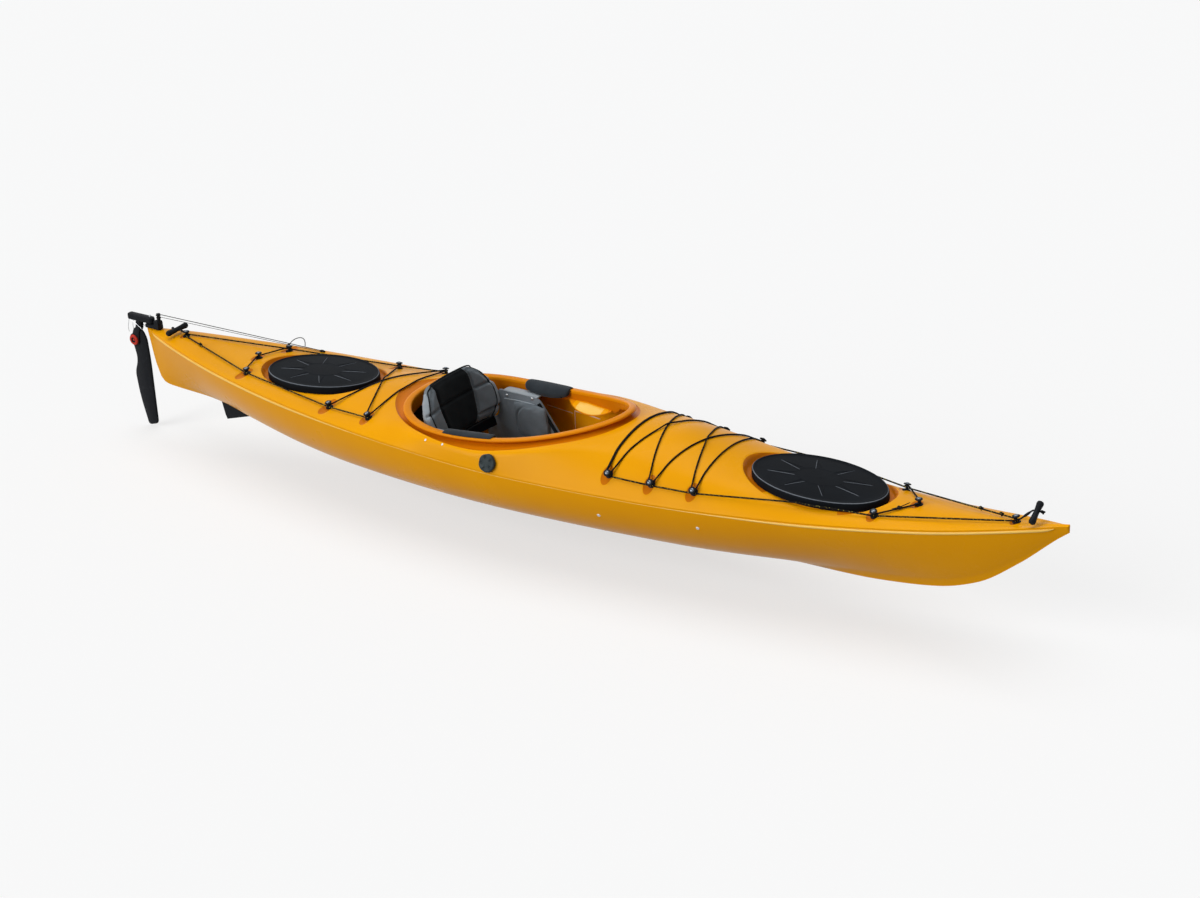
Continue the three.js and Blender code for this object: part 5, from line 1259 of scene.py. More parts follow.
def bend(stop, arrive, leave, reach):
    post, way = stop["post"], stop["way"]
    if post is None:
        return [stop["centre"].copy()]
    turn = leave - arrive
    while turn * way < -WRAP_STEP / 2:
        turn += 2 * math.pi * way
    while turn * way > 2 * math.pi:
        turn -= 2 * math.pi * way
    steps = max(2, math.ceil(abs(turn) / WRAP_STEP - 0.001))
    made = []
    for k in range(steps + 1):
        angle = arrive - math.pi / 2 * way + turn * k / steps
        spoke = post["fore"] * math.cos(angle) + post["port"] * math.sin(angle)
        made.append(post["base"] + post["normal"] * stop["level"] + spoke * reach)
    return made


def crossing(start, end, line):
    """Where a straight leg passes over an older line, as (share, height)."""
    for a, b in zip(line, line[1:]):
        ux, uy, vx, vy = end.x - start.x, end.y - start.y, b.x - a.x, b.y - a.y
        area = ux * vy - uy * vx
        if abs(area) < 1e-12:
            continue
        share = ((a.x - start.x) * vy - (a.y - start.y) * vx) / area
        along = ((a.x - start.x) * uy - (a.y - start.y) * ux) / area
        if 0 < share < 1 and 0 <= along < 1:
            return share, a.z + (b.z - a.z) * along
    return None


def taut(start, end, radius, older, lift=CORD_LIFT):
    """The points between two ends at which a tight cord touches what lies under it."""
    rows = [(0.0, start.z)]
    for k in range(1, TAUT_STEPS):
        share = k / TAUT_STEPS
        place = start.lerp(end, share)
        rows.append((share, top_height(place.x, place.y) + radius + lift))
    for line in older:
        hit = crossing(start, end, line)
        if hit:
            rows.append((hit[0], hit[1] + 2 * radius + 3 * SEAM))
    rows = sorted(rows + [(1.0, end.z)])
    tops = []
    for row in rows:
        while len(tops) > 1:
            (s0, z0), (s1, z1) = tops[-2], tops[-1]
            if z1 - TOUCH > z0 + (row[1] - z0) * (s1 - s0) / (row[0] - s0):
                break
            tops.pop()
        tops.append(row)
    made = []
    for share, z in tops[1:-1]:
        place = start.lerp(end, share)
        made.append(Vector((place.x, place.y, z)))
    return made


def laced(stops, radius, closed=False, older=None):
    reach = wrap_radius(radius)
    count = len(stops)
    legs = count if closed else count - 1
    headings = [heading_between(stops[k], stops[(k + 1) % count], reach) for k in range(legs)]
    bends = []
    for k, stop in enumerate(stops):
        first, last = not closed and k == 0, not closed and k == count - 1
        arrive = headings[0] - math.pi * stop["way"] if first else headings[k - 1]
        leave = headings[-1] + math.pi * stop["way"] if last else headings[k]
        bends.append(bend(stop, arrive, leave, reach))
    points, older = [], list(older or [])
    for k, curve in enumerate(bends):
        points += curve
        if k < legs:
            start, end = curve[-1], bends[(k + 1) % count][0]
            middle = taut(start, end, radius, older)
            older.append([start, *middle, end])
            points += middle
    return points


def rounded(points, closed=False, step=0.006, passes=2):
    """The same route with its corners eased, sampled evenly."""
    path = list(points) + ([points[0]] if closed else [])
    dense = [path[0]]
    for a, b in zip(path, path[1:]):
        parts = max(1, round((b - a).length / step))
        dense += [a.lerp(b, k / parts) for k in range(1, parts + 1)]
    if closed:
        dense.pop()
    for _ in range(passes):
        count = len(dense)
        eased = []
        for k, point in enumerate(dense):
            if not closed and k in (0, count - 1):
                eased.append(point)
            else:
                eased.append(point / 2 + (dense[k - 1] + dense[(k + 1) % count]) / 4)
        dense = eased
    return dense


def knot(name, centre, along, radius, material):
    """An overhand knot: a trefoil squeezed along the cord."""
    along = Vector(along).normalized()
    side = along.cross(UP)
    side = side.normalized() if side.length > 0.1 else Vector((0, 1, 0))
    up = side.cross(along)
    points = []
    for t in turns(48):
        u = (math.sin(t) + 2 * math.sin(2 * t)) * 0.9
        v = (math.cos(t) - 2 * math.cos(2 * t)) * 0.9
        w = -math.sin(3 * t) * 0.9
        points.append(Vector(centre) + (along * u + side * w + up * v * 0.8) * radius)
    return tube(name, points, radius, material, closed=True, sides=8)


print("a cord bends round a post", round(wrap_radius(BUNGEE_RADIUS), 4), "m from its middle")

# %% [markdown]
# Each cord's route is a list of posts in the order in which it was laced. A number of 1 or -1 after a post
# says which way the cord goes round it.

# %% Cords
DOUBLE_OFFSET = -0.0105
FORE_KNOTS = [(1.665, 0.052), (1.745, 0.03)]
AFT_KNOTS = [(-1.665, -0.04)]


def low(name, way=1):
    return around(name, LOW_LEVEL, way)


def high(name, way=1):
    return around(name, HIGH_LEVEL, way)


def beside_lid(side):
    front = HATCHES["front"]
    return through((front["x"], side * (HATCH_SEMI[1] + 0.01), front["top"] - COVER_DEPTH + 0.01))


fore_line = laced([
    low("fore_1_starboard"), low("fore_2_starboard"), low("fore_3_starboard"), beside_lid(-1),
    low("fore_4_starboard"), low("bow"), low("fore_4_port"), beside_lid(1),
    low("fore_3_port"), low("fore_2_port"), low("fore_1_port"),
], LINE_RADIUS)
aft_line = laced([
    low("aft_1_port"), low("aft_2_port"), low("aft_3_port"), low("stern"),
    low("aft_3_starboard"), low("aft_2_starboard"), low("aft_1_starboard"),
], LINE_RADIUS)
fore_route = [
    high("fore_1_starboard", -1), high("fore_1_port", -1), high("fore_2_starboard", 1),
    high("fore_3_port", -1), high("fore_3_starboard", -1), high("fore_2_port", 1),
]
fore_lacing = laced(fore_route, BUNGEE_RADIUS, closed=True)
aft_lacing = laced(
    [high("aft_2_starboard", 1), high("aft_1_port", -1), high("aft_1_starboard", -1), high("aft_2_port", 1)],
    BUNGEE_RADIUS,
)
fore_cross = laced([high("fore_4_starboard"), low("fore_centre"), high("fore_4_port")], BUNGEE_RADIUS)
aft_cross = laced([high("aft_3_port"), low("aft_centre"), high("aft_3_starboard")], BUNGEE_RADIUS)


def second_strand(first, second, offset):
    """A doubled strand straight across, laid beside the laced one."""
    ends = [posts[name]["base"] + posts[name]["normal"] * HIGH_LEVEL for name in (first, second)]
    start, end = [p + Vector((offset, 0, 0)) for p in ends]
    return [start, *taut(start, end, BUNGEE_RADIUS, []), end]


def rope_knots(places, route):
    """Knots at the points of a route nearest to the given stations."""
    made = []
    for x, y in places:
        k = min(range(1, len(route) - 1), key=lambda j: abs(route[j].x - x) + abs(route[j].y - y))
        along = route[k + 1] - route[k - 1]
        made.append(knot("knot", route[k] + UP * 0.002, along, 0.0026, deck_rope))
    return made


fore_dense, aft_dense = rounded(fore_line), rounded(aft_line)
rope = [tube("line", fore_dense, LINE_RADIUS, deck_rope)]
rope += rope_knots(FORE_KNOTS, fore_dense)
declare(joined("fore_deck_rope", rope), "boat", "cord", "fore_deck_line")
rope = [tube("line", aft_dense, LINE_RADIUS, deck_rope)] + rope_knots(AFT_KNOTS, aft_dense)
declare(joined("aft_deck_rope", rope), "boat", "cord", "aft_deck_line")
elastics = [tube("lacing", rounded(fore_lacing, closed=True), BUNGEE_RADIUS, elastic, closed=True)]
double = rounded(second_strand("fore_1_starboard", "fore_1_port", DOUBLE_OFFSET))
elastics.append(tube("double", double, BUNGEE_RADIUS, elastic))
declare(joined("fore_elastic", elastics), "boat", "cord", "fore_bungee")
declare(tube("aft_elastic", rounded(aft_lacing), BUNGEE_RADIUS, elastic), "boat", "cord", "aft_bungee")
declare(tube("fore_cross", rounded(fore_cross), BUNGEE_RADIUS, elastic), "boat", "cord", "fore_cross_cord")
declare(tube("aft_cross", rounded(aft_cross), BUNGEE_RADIUS, elastic), "boat", "cord", "aft_cross_cord")

# %% [markdown]
# The grab toggles turn about the cords that run through them, so each bar is a piece of its own, with a real
# bore. The stopper knot sits beyond the bar, on the same cord.

# %% Toggles
TOGGLES = {
    "bow": {
        "way": 1, "half": 0.041, "offset": -0.007, "centre": (1.8778, 0.0, 0.4031),
        "axis": (0.0, math.cos(0.6), math.sin(0.6)),
    },
    "stern": {
        "way": -1, "half": 0.055, "offset": 0.0, "centre": (-1.828, 0.0, 0.3307), "axis": (0.0, 1.0, 0.0),
    },
}
# Radius, and how far in from the bar's end
TOGGLE_END = [(0.0012, 0.0), (0.0068, 0.0), (0.0092, 0.0012), (0.0112, 0.0042)]
TOGGLE_WAIST, TOGGLE_SWELL = 0.0092, 0.0028
TOGGLE_BORE = 0.0036


def toggle_bar(half, offset, centre, axis):
    rows = [(radius, inward - half) for radius, inward in TOGGLE_END]
    for k in range(17):
        t = -1 + k / 8
        rows.append((TOGGLE_WAIST + TOGGLE_SWELL * abs(t) ** 1.5, t * (half - 0.009)))
    rows += [(radius, half - inward) for radius, inward in reversed(TOGGLE_END)]
    bar = lathe("bar", rows, Vector(centre) + Vector(axis) * offset, axis, [black_plastic], 32, 40)
    drill(bar, TOGGLE_BORE, (-0.03, 0.03), centre, (1, 0, 0))
    soften(bar, 40)
    return bar


def toggle_route(name, toggle):
    """Round the post, out level past its cap, through the bar and into the stopper knot."""
    stop, way = high(name), toggle["way"]
    centre = Vector(toggle["centre"])
    reach = wrap_radius(BUNGEE_RADIUS)
    before = centre - Vector((way * 0.013, 0, 0))
    beyond = centre + Vector((way * 0.02, 0, 0))
    heading = heading_between(stop, through(before), reach)
    wrap = bend(stop, heading - math.pi * stop["way"], heading, reach)
    level = wrap[-1] + stop["post"]["fore"] * way * BASE_RADIUS
    return [*wrap, level, before, beyond]


for name, toggle in TOGGLES.items():
    bar = toggle_bar(toggle["half"], toggle["offset"], toggle["centre"], toggle["axis"])
    declare(bar, f"{name}_handle", "black_plastic", f"{name}_toggle")
    route = toggle_route(name, toggle)
    cord = [tube("cord", rounded(route, passes=1), BUNGEE_RADIUS, elastic)]
    cord.append(knot("stopper", route[-1], (toggle["way"], 0, 0.05), 0.0024, elastic))
    sleeve = [route[-3].lerp(route[-2], t) for t in (0.25, 0.45, 0.65, 0.85)]
    cord.append(tube("sleeve", sleeve, 0.0046, black_plastic, sides=16))
    declare(joined(f"{name}_toggle_loop", cord), "boat", "cord", f"{name}_toggle_cord")

# %% [markdown]
# The knob on the starboard side winds the skeg's cable. It is a plain disc with five hollows for the fingers
# round a raised middle.

# %% Skeg knob
KNOB_SEAT = Vector((-0.056914, -0.309752, 0.270991))
KNOB_AXIS = Vector((0.042334, -0.947283, 0.317589))
KNOB_RADIUS = 0.033
# Share of the radius, and height
KNOB_ROWS = [
    (0.93, 0.0014), (0.98, 0.002), (1.0, 0.0036), (1.0, 0.0098), (0.985, 0.0122), (0.95, 0.014),
    (0.9, 0.0149), (0.84, 0.015), (0.76, 0.0149), (0.68, 0.0147), (0.6, 0.0145), (0.52, 0.0143),
    (0.44, 0.0142), (0.38, 0.0143), (0.34, 0.0147), (0.3, 0.015), (0.2, 0.015), (0.03, 0.015),
]
DRUM_ROWS = [(0.015, -0.0135), (0.016, -0.0125), (0.016, -0.0066), (0.015, -0.0056)]
LOBES = 5
LOBE_DEPTH = 0.0012
HOLLOW = 0.0042
HOLLOW_AT, HOLLOW_BREADTH = 0.66, 0.24
knob_turn = UP.rotation_difference(KNOB_AXIS)


def knob_ring(share, height):
    ring = []
    for angle in turns(80):
        between = max(0.0, -math.cos(LOBES * angle)) ** 0.7
        radius = KNOB_RADIUS * share - (LOBE_DEPTH * between if share > 0.5 else 0.0)
        sunk = HOLLOW * between * max(0.0, 1 - ((share - HOLLOW_AT) / HOLLOW_BREADTH) ** 2)
        spoke = Vector((radius * math.cos(angle), radius * math.sin(angle), height - sunk))
        ring.append(KNOB_SEAT + knob_turn @ spoke)
    return ring


knob = skin("knob", [knob_ring(*row) for row in KNOB_ROWS], [knob_plastic], sharp=40)
shaft = lathe("shaft", [(0.006, -0.012), (0.006, 0.003)], KNOB_SEAT, KNOB_AXIS, [black_plastic], 24)
drum = lathe("drum", DRUM_ROWS, KNOB_SEAT, KNOB_AXIS, [black_plastic], 28)
declare(joined("skeg_dial", [knob, shaft, drum]), "skeg_control", "black_plastic", "skeg_knob")

# %% [markdown]
# Small steel heads hold the seat to the rim and the foot rails to the hull. Each one is set square to the
# surface it sits on, which a ray finds.

# %% Small steel heads
# Shares of a head's radius, and heights
HEAD_ROWS = [
    (1.0, -0.002), (1.0, 0.0004), (0.94, 0.0011), (0.72, 0.0019), (0.42, 0.0023), (0.38, 0.002),
    (0.36, 0.0008),
]
RIM_HEADS = [(-0.346, 0.295), (-0.266, 0.3)]
RAIL_HEADS = [(0.377, 0.154), (0.753, 0.176)]
hull_tree = surface_tree(hull)


def steel_head(tree, start, towards, radius):
    towards = Vector(towards)
    place, normal, _, _ = tree.ray_cast(Vector(start), towards)
    if normal.dot(towards) > 0:
        normal = -normal
    rows = [(radius * share, up) for share, up in HEAD_ROWS] + [(0.0003, 0.0007)]
    return lathe("head", rows, place, normal, [steel], 24, 35)


heads = []
for side in (1, -1):
    for x, y in RIM_HEADS:
        heads.append(steel_head(cord_tree, (x, side * y, 0.5), (0, 0, -1), 0.0048))
    for x, z in RAIL_HEADS:
        heads.append(steel_head(hull_tree, (x, side * 0.5, z), (0, -side, 0), 0.0065))
declare(joined("steel_heads", heads), "boat", "steel")

# %% [markdown]
# Inside the footwell, fine beads on the hull's wall follow the seams of its lining, and their pale colour is
# a painted highlight. The front lid's tether is a thin cord that leaves the lid's foot and is knotted to the
# elastic ahead of it.

# %% Beads and tether
BEAD_RUNS = [
    [(-0.262, 0.204), (-0.24, 0.202), (-0.192, 0.197), (-0.144, 0.193)],
    [(-0.139, 0.204), (-0.093, 0.201), (-0.046, 0.198), (-0.02, 0.197)],
    [(-0.137, 0.204), (-0.135, 0.19), (-0.133, 0.174), (-0.13, 0.16), (-0.127, 0.146), (-0.123, 0.128)],
]
TETHER_ANGLES = (-0.62, -0.42)
TETHER_OUT = 0.009
TIE_PLACE = (1.412, -0.05)


def on_wall(x, z, side):
    """The inner wall of the hull at a station and height."""
    place = hull_tree.ray_cast(Vector((x, 0.0, z)), Vector((0, side, 0)))[0]
    return place - Vector((0, side * 0.0004, 0))


beads = []
for side in (1, -1):
    for run in BEAD_RUNS:
        route = rounded([on_wall(x, z, side) for x, z in run], passes=1)
        beads.append(tube("bead", [on_wall(p.x, p.z, side) for p in route], 0.0021, bead_highlight, sides=8))
declare(joined("footwell_beads", beads), "boat", "shell")

tie = min(rounded(fore_cross), key=lambda p: abs(p.x - TIE_PLACE[0]) + abs(p.y - TIE_PLACE[1]))
tether_places = []
for angle in TETHER_ANGLES:
    place = oval_point(HATCHES["front"], angle, TETHER_OUT)
    place.z = top_height(place.x, place.y) + 0.004
    tether_places.append(place)
tether_places.append(tie.lerp(tether_places[-1], 0.5) - UP * 0.003)
tether_places.append(tie + UP * (BUNGEE_RADIUS + 0.0016))
tail_end = tie + Vector((0.02, 0.034, 0))
tail_end.z = top_height(tail_end.x, tail_end.y) + 0.012
tether_route = rounded([*tether_places, tail_end], passes=3)
tether = [tube("tether", tether_route, 0.0016, thin_line, sides=8)]
tether.append(knot("tie", tie + UP * 0.003, (1, 0.4, 0), 0.0024, thin_line))
declare(joined("lid_tether", tether), "boat", "cord")

# %% [markdown]
# Two thin lines run from the guide on the rudder's bracket along the port side: the one that lifts the blade
# and the one that drops it. They end in a small fairlead on the deck. The lifting line's free end is the loop
# behind the rear hatch.

# %% Thin lines
GUIDE_X = -1.922
GUIDE_TURN = 0.0088
FAIRLEAD_X, FAIRLEAD_Y = -1.24, 0.185
FAIRLEAD_HALF = 0.01
LIFT_RADIUS, DROP_RADIUS = 0.0015, 0.001
PULL_LOOP = [
    (0, 0, 0), (0.006, 0.001, 0.008), (0.016, 0.002, 0.018), (0.03, 0.003, 0.029), (0.048, 0.004, 0.037),
    (0.064, 0.006, 0.041), (0.075, 0.007, 0.039), (0.08, 0.008, 0.03), (0.079, 0.008, 0.016),
    (0.075, 0.008, 0.002),
]


def deck_run(start, end, radius, lift):
    """A line drawn tight from one place to the other, over the deck between them."""
    return rounded([start, *taut(start, end, radius, [], lift), end])


lift_start = Vector((GUIDE_X, 0.0093, 0.3735))
lift_end = on_deck(FAIRLEAD_X, FAIRLEAD_Y) + UP * 0.005
drop_start = lift_start + Vector((0.004, -0.0015, -0.01))
drop_end = lift_end + Vector((0.006, -0.007, -0.0008))
lines = [
    tube("lift", deck_run(lift_start, lift_end, LIFT_RADIUS, 0.0018), LIFT_RADIUS, thin_line, sides=8),
    tube("drop", deck_run(drop_start, drop_end, DROP_RADIUS, 0.0012), DROP_RADIUS, piping_cloth, sides=8),
]
for level in (0.0, -0.01):
    height = lift_start.z + level
    loop = [Vector((GUIDE_X + GUIDE_TURN * math.cos(a), GUIDE_TURN * math.sin(a), height)) for a in turns(18)]
    lines.append(tube("turn", loop, 0.0013, thin_line, closed=True, sides=8))
ahead = on_deck(FAIRLEAD_X + FAIRLEAD_HALF, FAIRLEAD_Y)
slope = (ahead - on_deck(FAIRLEAD_X - FAIRLEAD_HALF, FAIRLEAD_Y)).normalized()
fairlead = [lift_end + slope * t - UP * 0.0015 for t in (-0.012, -0.004, 0.004, 0.012)]
lines.append(tube("fairlead", fairlead, 0.0058, black_plastic, sides=14))
declare(joined("rudder_lines", lines), "boat", "cord", "rudder_lift_line")

foot = posts["aft_3_port"]
loop_base = foot["base"] + foot["normal"] * (CAP_FOOT + 0.0074)
pull = [loop_base + Vector(place) for place in PULL_LOOP]
pull_parts = [tube("loop", rounded(pull, passes=6), 0.0016, thin_line, sides=10)]
pull_parts.append(knot("pull_knot", pull[0] + UP * 0.002, (1, 0, 0.6), 0.0018, thin_line))
declare(joined("pull_loop", pull_parts), "boat", "cord", "rudder_pull_loop")

# %% [markdown]
# The rudder's head is a rounded bar over a slim neck. Two cheeks run down from it to the blade's pin, and a
# steel wire guard stands on each side.

# %% Rudder head
HUB = Vector((-2.066, 0.0, 0.247308))
HEAD_FOOT, HEAD_TOP = 0.332, 0.3592
HEAD_AFT, HEAD_FORE = -2.0895, -1.9505
HEAD_HALF = 0.0139
CHEEK_INNER, CHEEK_OUTER = 0.0066, 0.0114
CHEEK_RADIUS = 0.0258
WIRE_RADIUS = 0.0011
PINTLE_X = -1.97
GUARD_WIRE = [
    (-2.078, 0.0125, 0.335), (-2.083, 0.0128, 0.318), (-2.089, 0.0128, 0.298), (-2.087, 0.0128, 0.278),
]
STAY_WIRE = [
    (-2.07, 0.0128, 0.334), (-2.052, 0.013, 0.327), (-2.033, 0.013, 0.316), (-2.012, 0.013, 0.301),
]


def head_ring(t):
    """A section of the bar: a rounded oblong that closes in at both ends."""
    into_end = max(0.0, (0.09 - t) / 0.09, (t - 0.88) / 0.12)
    close = min(1.0, math.sqrt(max(0.0, 1 - into_end ** 2)) + 0.02)
    least = 0.6 if t > 0.88 else 0.45
    rise = (HEAD_TOP - HEAD_FOOT) / 2 * (least + (1 - least) * close)
    ring = []
    for angle in turns(28):
        c, s = math.cos(angle), math.sin(angle)
        y = HEAD_HALF * close * math.copysign(abs(c) ** 0.45, c)
        z = (HEAD_TOP + HEAD_FOOT) / 2 + rise * math.copysign(abs(s) ** 0.45, s)
        ring.append(Vector((HEAD_AFT + (HEAD_FORE - HEAD_AFT) * t, y, z)))
    return ring


def upright(start, side=1):
    """Stands a panel up along the boat. Its depth runs out to one side, from a breadth on."""
    return lambda u, v, depth: (u, side * (start + depth), v)


bar_shares = [*np.linspace(0, 0.1, 8), *np.linspace(0.14, 0.86, 12), *np.linspace(0.88, 1, 8)]
head_bar = skin("head_bar", [head_ring(t) for t in bar_shares], [black_plastic], sharp=40)
drill(head_bar, 0.0054, (-0.03, 0.05), (PINTLE_X, 0, 0.331308), UP, 24)
cheek_outline = [(-2.044, 0.3345), (-2.048, 0.31), (-2.06, 0.288)]
for k in range(14):
    angle = math.radians(110 + 20 * k)
    cheek_outline.append((HUB.x + CHEEK_RADIUS * math.cos(angle), HUB.z + CHEEK_RADIUS * math.sin(angle)))
cheek_outline += [(-2.036, 0.283), (-2.026, 0.3), (-2.022, 0.3345)]
cheek_outline = round_corners(cheek_outline, [0.006] * len(cheek_outline), 3)
head_parts = [head_bar]
for side in (1, -1):
    thick = CHEEK_OUTER - CHEEK_INNER
    cheek = panel("cheek", cheek_outline, upright(CHEEK_INNER, side), thick, black_plastic)
    drill(cheek, 0.0046, (-0.03, 0.03), HUB, (0, 1, 0))
    head_parts.append(cheek)
    for name, wire_places, passes in (("guard", GUARD_WIRE, 2), ("stay", STAY_WIRE, 1)):
        route = rounded([Vector((x, side * y, z)) for x, y, z in wire_places], step=0.004, passes=passes)
        head_parts.append(tube(name, route, WIRE_RADIUS, steel, sides=8))
head = joined("rudder_yoke", head_parts, 38)
declare(head, "rudder_head_body", "black_plastic", "rudder_head")

# %% [markdown]
# The blade is a thick plate with rounded edges and a step in its trailing edge. The bracket is two blocks
# with a bobbin on top, which the thin lines turn round. A red cap with a dark hollow covers the blade's pin.

# %% Rudder blade and bracket
BLADE_OUTLINE = [
    (-0.024, 0.002), (-0.005, -0.086), (-0.03, -0.148), (-0.022, -0.252), (0.005, -0.375), (0.059, -0.359),
    (0.066, -0.081), (0.062, 0.014), (0.042, 0.05), (-0.004, 0.052),
]
BLADE_CORNERS = [0.02, 0.034, 0.02, 0.08, 0.016, 0.016, 0.08, 0.03, 0.018, 0.024]
BLADE_EDGES = [
    (0.0065, 0.0), (0.0035, 0.1), (0.0012, 0.26), (0.0, 0.42), (0.0, 0.58), (0.0012, 0.74), (0.0035, 0.9),
    (0.0065, 1.0),
]
BLADE_HALF = 0.006
blade_outline = round_corners([(HUB.x + u, HUB.z + v) for u, v in BLADE_OUTLINE], BLADE_CORNERS, 9)
blade = panel("blade", blade_outline, upright(-BLADE_HALF), 2 * BLADE_HALF, black_plastic, BLADE_EDGES)
drill(blade, 0.0043, (-0.03, 0.03), HUB, (0, 1, 0))
blade.name = "rudder_foil"
soften(blade, 38)
declare(blade, "rudder_blade_body", "black_plastic", "rudder_blade")

CAP_ROWS = [
    (0.0046, 0.0), (0.0216, 0.0), (0.022, 0.0006), (0.022, 0.003), (0.0207, 0.0049), (0.018, 0.0058),
    (0.0112, 0.0059), (0.0098, 0.0052), (0.009, 0.0034), (0.0046, 0.003),
]
DARK_FROM = 6
cap_seat = HUB - Vector((0, CHEEK_OUTER + 0.0004, 0))
cap_colours = [hub_red, black_plastic]
cap = lathe("rudder_cap", CAP_ROWS, cap_seat, (0, -1, 0), cap_colours, 40, 38, lambda r: int(r >= DARK_FROM))
declare(cap, "rudder_blade_body", "hub_red", "rudder_hub_cap")

BRACKET_HALF = 0.0139
BRACKET_FOOT, BRACKET_LEDGE, BRACKET_TOP = 0.3137, 0.3312, 0.3512
BRACKET_AFT, BRACKET_STEP, BRACKET_FORE = -1.9918, -1.943, -1.9151
bracket_outline = round_corners(
    [
        (BRACKET_AFT, BRACKET_FOOT), (BRACKET_FORE, BRACKET_FOOT), (BRACKET_FORE, BRACKET_TOP),
        (BRACKET_STEP, BRACKET_TOP), (BRACKET_STEP, BRACKET_LEDGE), (BRACKET_AFT, BRACKET_LEDGE),
    ],
    [0.003, 0.003, 0.012, 0.006, 0.003, 0.005],
)
bracket = panel("bracket", bracket_outline, upright(-BRACKET_HALF), 2 * BRACKET_HALF, black_plastic)
drill(bracket, 0.0053, (-0.012, 0.05), (PINTLE_X, 0, 0.3313), UP, 24)
BOBBIN_ROWS = [
    (0.007, -0.006), (0.007, 0.0095), (0.0088, 0.0103), (0.0088, 0.0113), (0.0068, 0.012), (0.0068, 0.0266),
    (0.0086, 0.0273), (0.0086, 0.0284), (0.0076, 0.029),
]
bobbin = lathe("bobbin", BOBBIN_ROWS, (GUIDE_X, 0.0, BRACKET_TOP), UP, [black_plastic], 28)
bracket = joined("stern_bracket", [bracket, bobbin], 38)
declare(bracket, "boat", "black_plastic", "rudder_bracket")

# %% [markdown]
# The seat is a moulded pan with two wings that hang on the rim. Flat parts of it are panels with rounded
# corners and softened edges.

# %% Seat shell
SEAT_AFT, SEAT_FORE = -0.394, -0.0569
SEAT_HALF = 0.192
SEAT_WALL = 0.008
PAN_TOP = 0.06
PAN_HALF = SEAT_HALF + 0.004
LEDGE_AFT = -0.37
LEDGE_DROP, LEDGE_THICK = 0.0072, 0.0066
WING_AFT, WING_NECK = -0.456, -0.395
WING_FOOT = 0.0535
WING_TOP = 0.2902
WING_EDGE = WING_TOP - 0.001
FOOT_AFT, FOOT_FORE, FOOT_HALF = -0.31, -0.141, 0.015
BACK_PIVOT = Vector((-0.433957, 0.0, 0.15))
BOSS_ROWS = [(0.016, 0.0), (0.016, 0.003), (0.014, 0.0045), (0.004, 0.005)]
WING_SCREWS = [(-0.353, 0.271), (-0.237, 0.279)]
WING_SCREW_ROWS = [
    (0.0062, -0.001), (0.0062, 0.0006), (0.005, 0.0018), (0.0026, 0.0023), (0.0022, 0.0012), (0.0003, 0.0011),
]
STRAP_PLACES = [(-0.206, 0.268), (-0.169, 0.217), (-0.1235, 0.152), (-0.0815, 0.092)]
STRAP_HALF = 0.0075
STRAP_THICK = 0.001


def flat(start, side=1):
    """Lays a panel down. Its depth runs up from a height on."""
    return lambda u, v, depth: (u, side * v, start + depth)


def oblong(aft, fore, half, corner):
    """An outline as wide to port as to starboard, with rounded corners."""
    outline = [(aft, -half), (fore, -half), (fore, half), (aft, half)]
    return round_corners(outline, [corner] * 4)


def welt(side):
    """A raised line along the wing, under its screws."""
    points = []
    for x in np.linspace(-0.366, -0.226, 14):
        points.append(Vector((x, side * (SEAT_HALF - 0.0008), 0.256 + 0.004 * math.sin((x + 0.37) * 18))))
    return tube("welt", points, 0.0022, seat_plastic, sides=8)


def strap(side):
    """A strap down the wing's sloping front edge, a little uneven in its thickness."""
    places = [Vector((x, side * (SEAT_HALF - 0.0035), z)) for x, z in STRAP_PLACES]
    direction = (places[-1] - places[0]).normalized()
    across = Vector((direction.z, 0, -direction.x)) * STRAP_HALF
    rings = []
    for k, point in enumerate(rounded(places, step=0.012)):
        up = Vector((0, side * STRAP_THICK * (1 + 0.3 * math.sin(k * 1.7)), 0))
        rings.append([point - across - up, point - across + up, point + across + up, point + across - up])
    return skin("strap", rings, [black_cloth], sharp=50)


flange_end = SEAT_FORE - (SEAT_FORE - SEAT_AFT) * 0.451
wing_outline = round_corners(
    [
        (WING_AFT, WING_FOOT), (SEAT_FORE, WING_FOOT), (SEAT_FORE, 0.074), (flange_end, WING_EDGE),
        (WING_NECK, WING_EDGE), (WING_NECK, 0.194), (-0.412, 0.172), (WING_AFT, 0.172),
    ],
    [0.03, 0.012, 0.02, 0.03, 0.016, 0.02, 0.01, 0.02],
)
ledge_end = flange_end - 0.004
ledge = round_corners(
    [(LEDGE_AFT, SEAT_HALF), (ledge_end, SEAT_HALF), (ledge_end, 0.2325), (LEDGE_AFT, 0.2315)],
    [0.002, 0.002, 0.014, 0.014],
)
seat_parts = []
for side in (1, -1):
    # The upright wings take the darker copy, painted shade, and the ledges the lighter copy, painted light
    seat_parts.append(panel("wing", wing_outline, upright(SEAT_HALF, side), SEAT_WALL, wing_shaded_plastic))
    seat_parts.append(panel("ledge", ledge, flat(WING_TOP - LEDGE_DROP, side), LEDGE_THICK, seat_plastic))
pan = oblong(SEAT_AFT, SEAT_FORE, PAN_HALF, 0.02)
seat_parts.append(panel("pan", pan, flat(PAN_TOP - SEAT_WALL), SEAT_WALL, seat_plastic))
lip_points = [Vector((SEAT_FORE - 0.004, y, PAN_TOP - 0.003)) for y in np.linspace(-0.186, 0.186, 12)]
seat_parts.append(tube("front_lip", lip_points, 0.0055, seat_plastic, sides=14))
foot = oblong(FOOT_AFT, FOOT_FORE, FOOT_HALF, 0.006)
seat_parts.append(panel("foot", foot, flat(0.006), 0.05, seat_plastic))
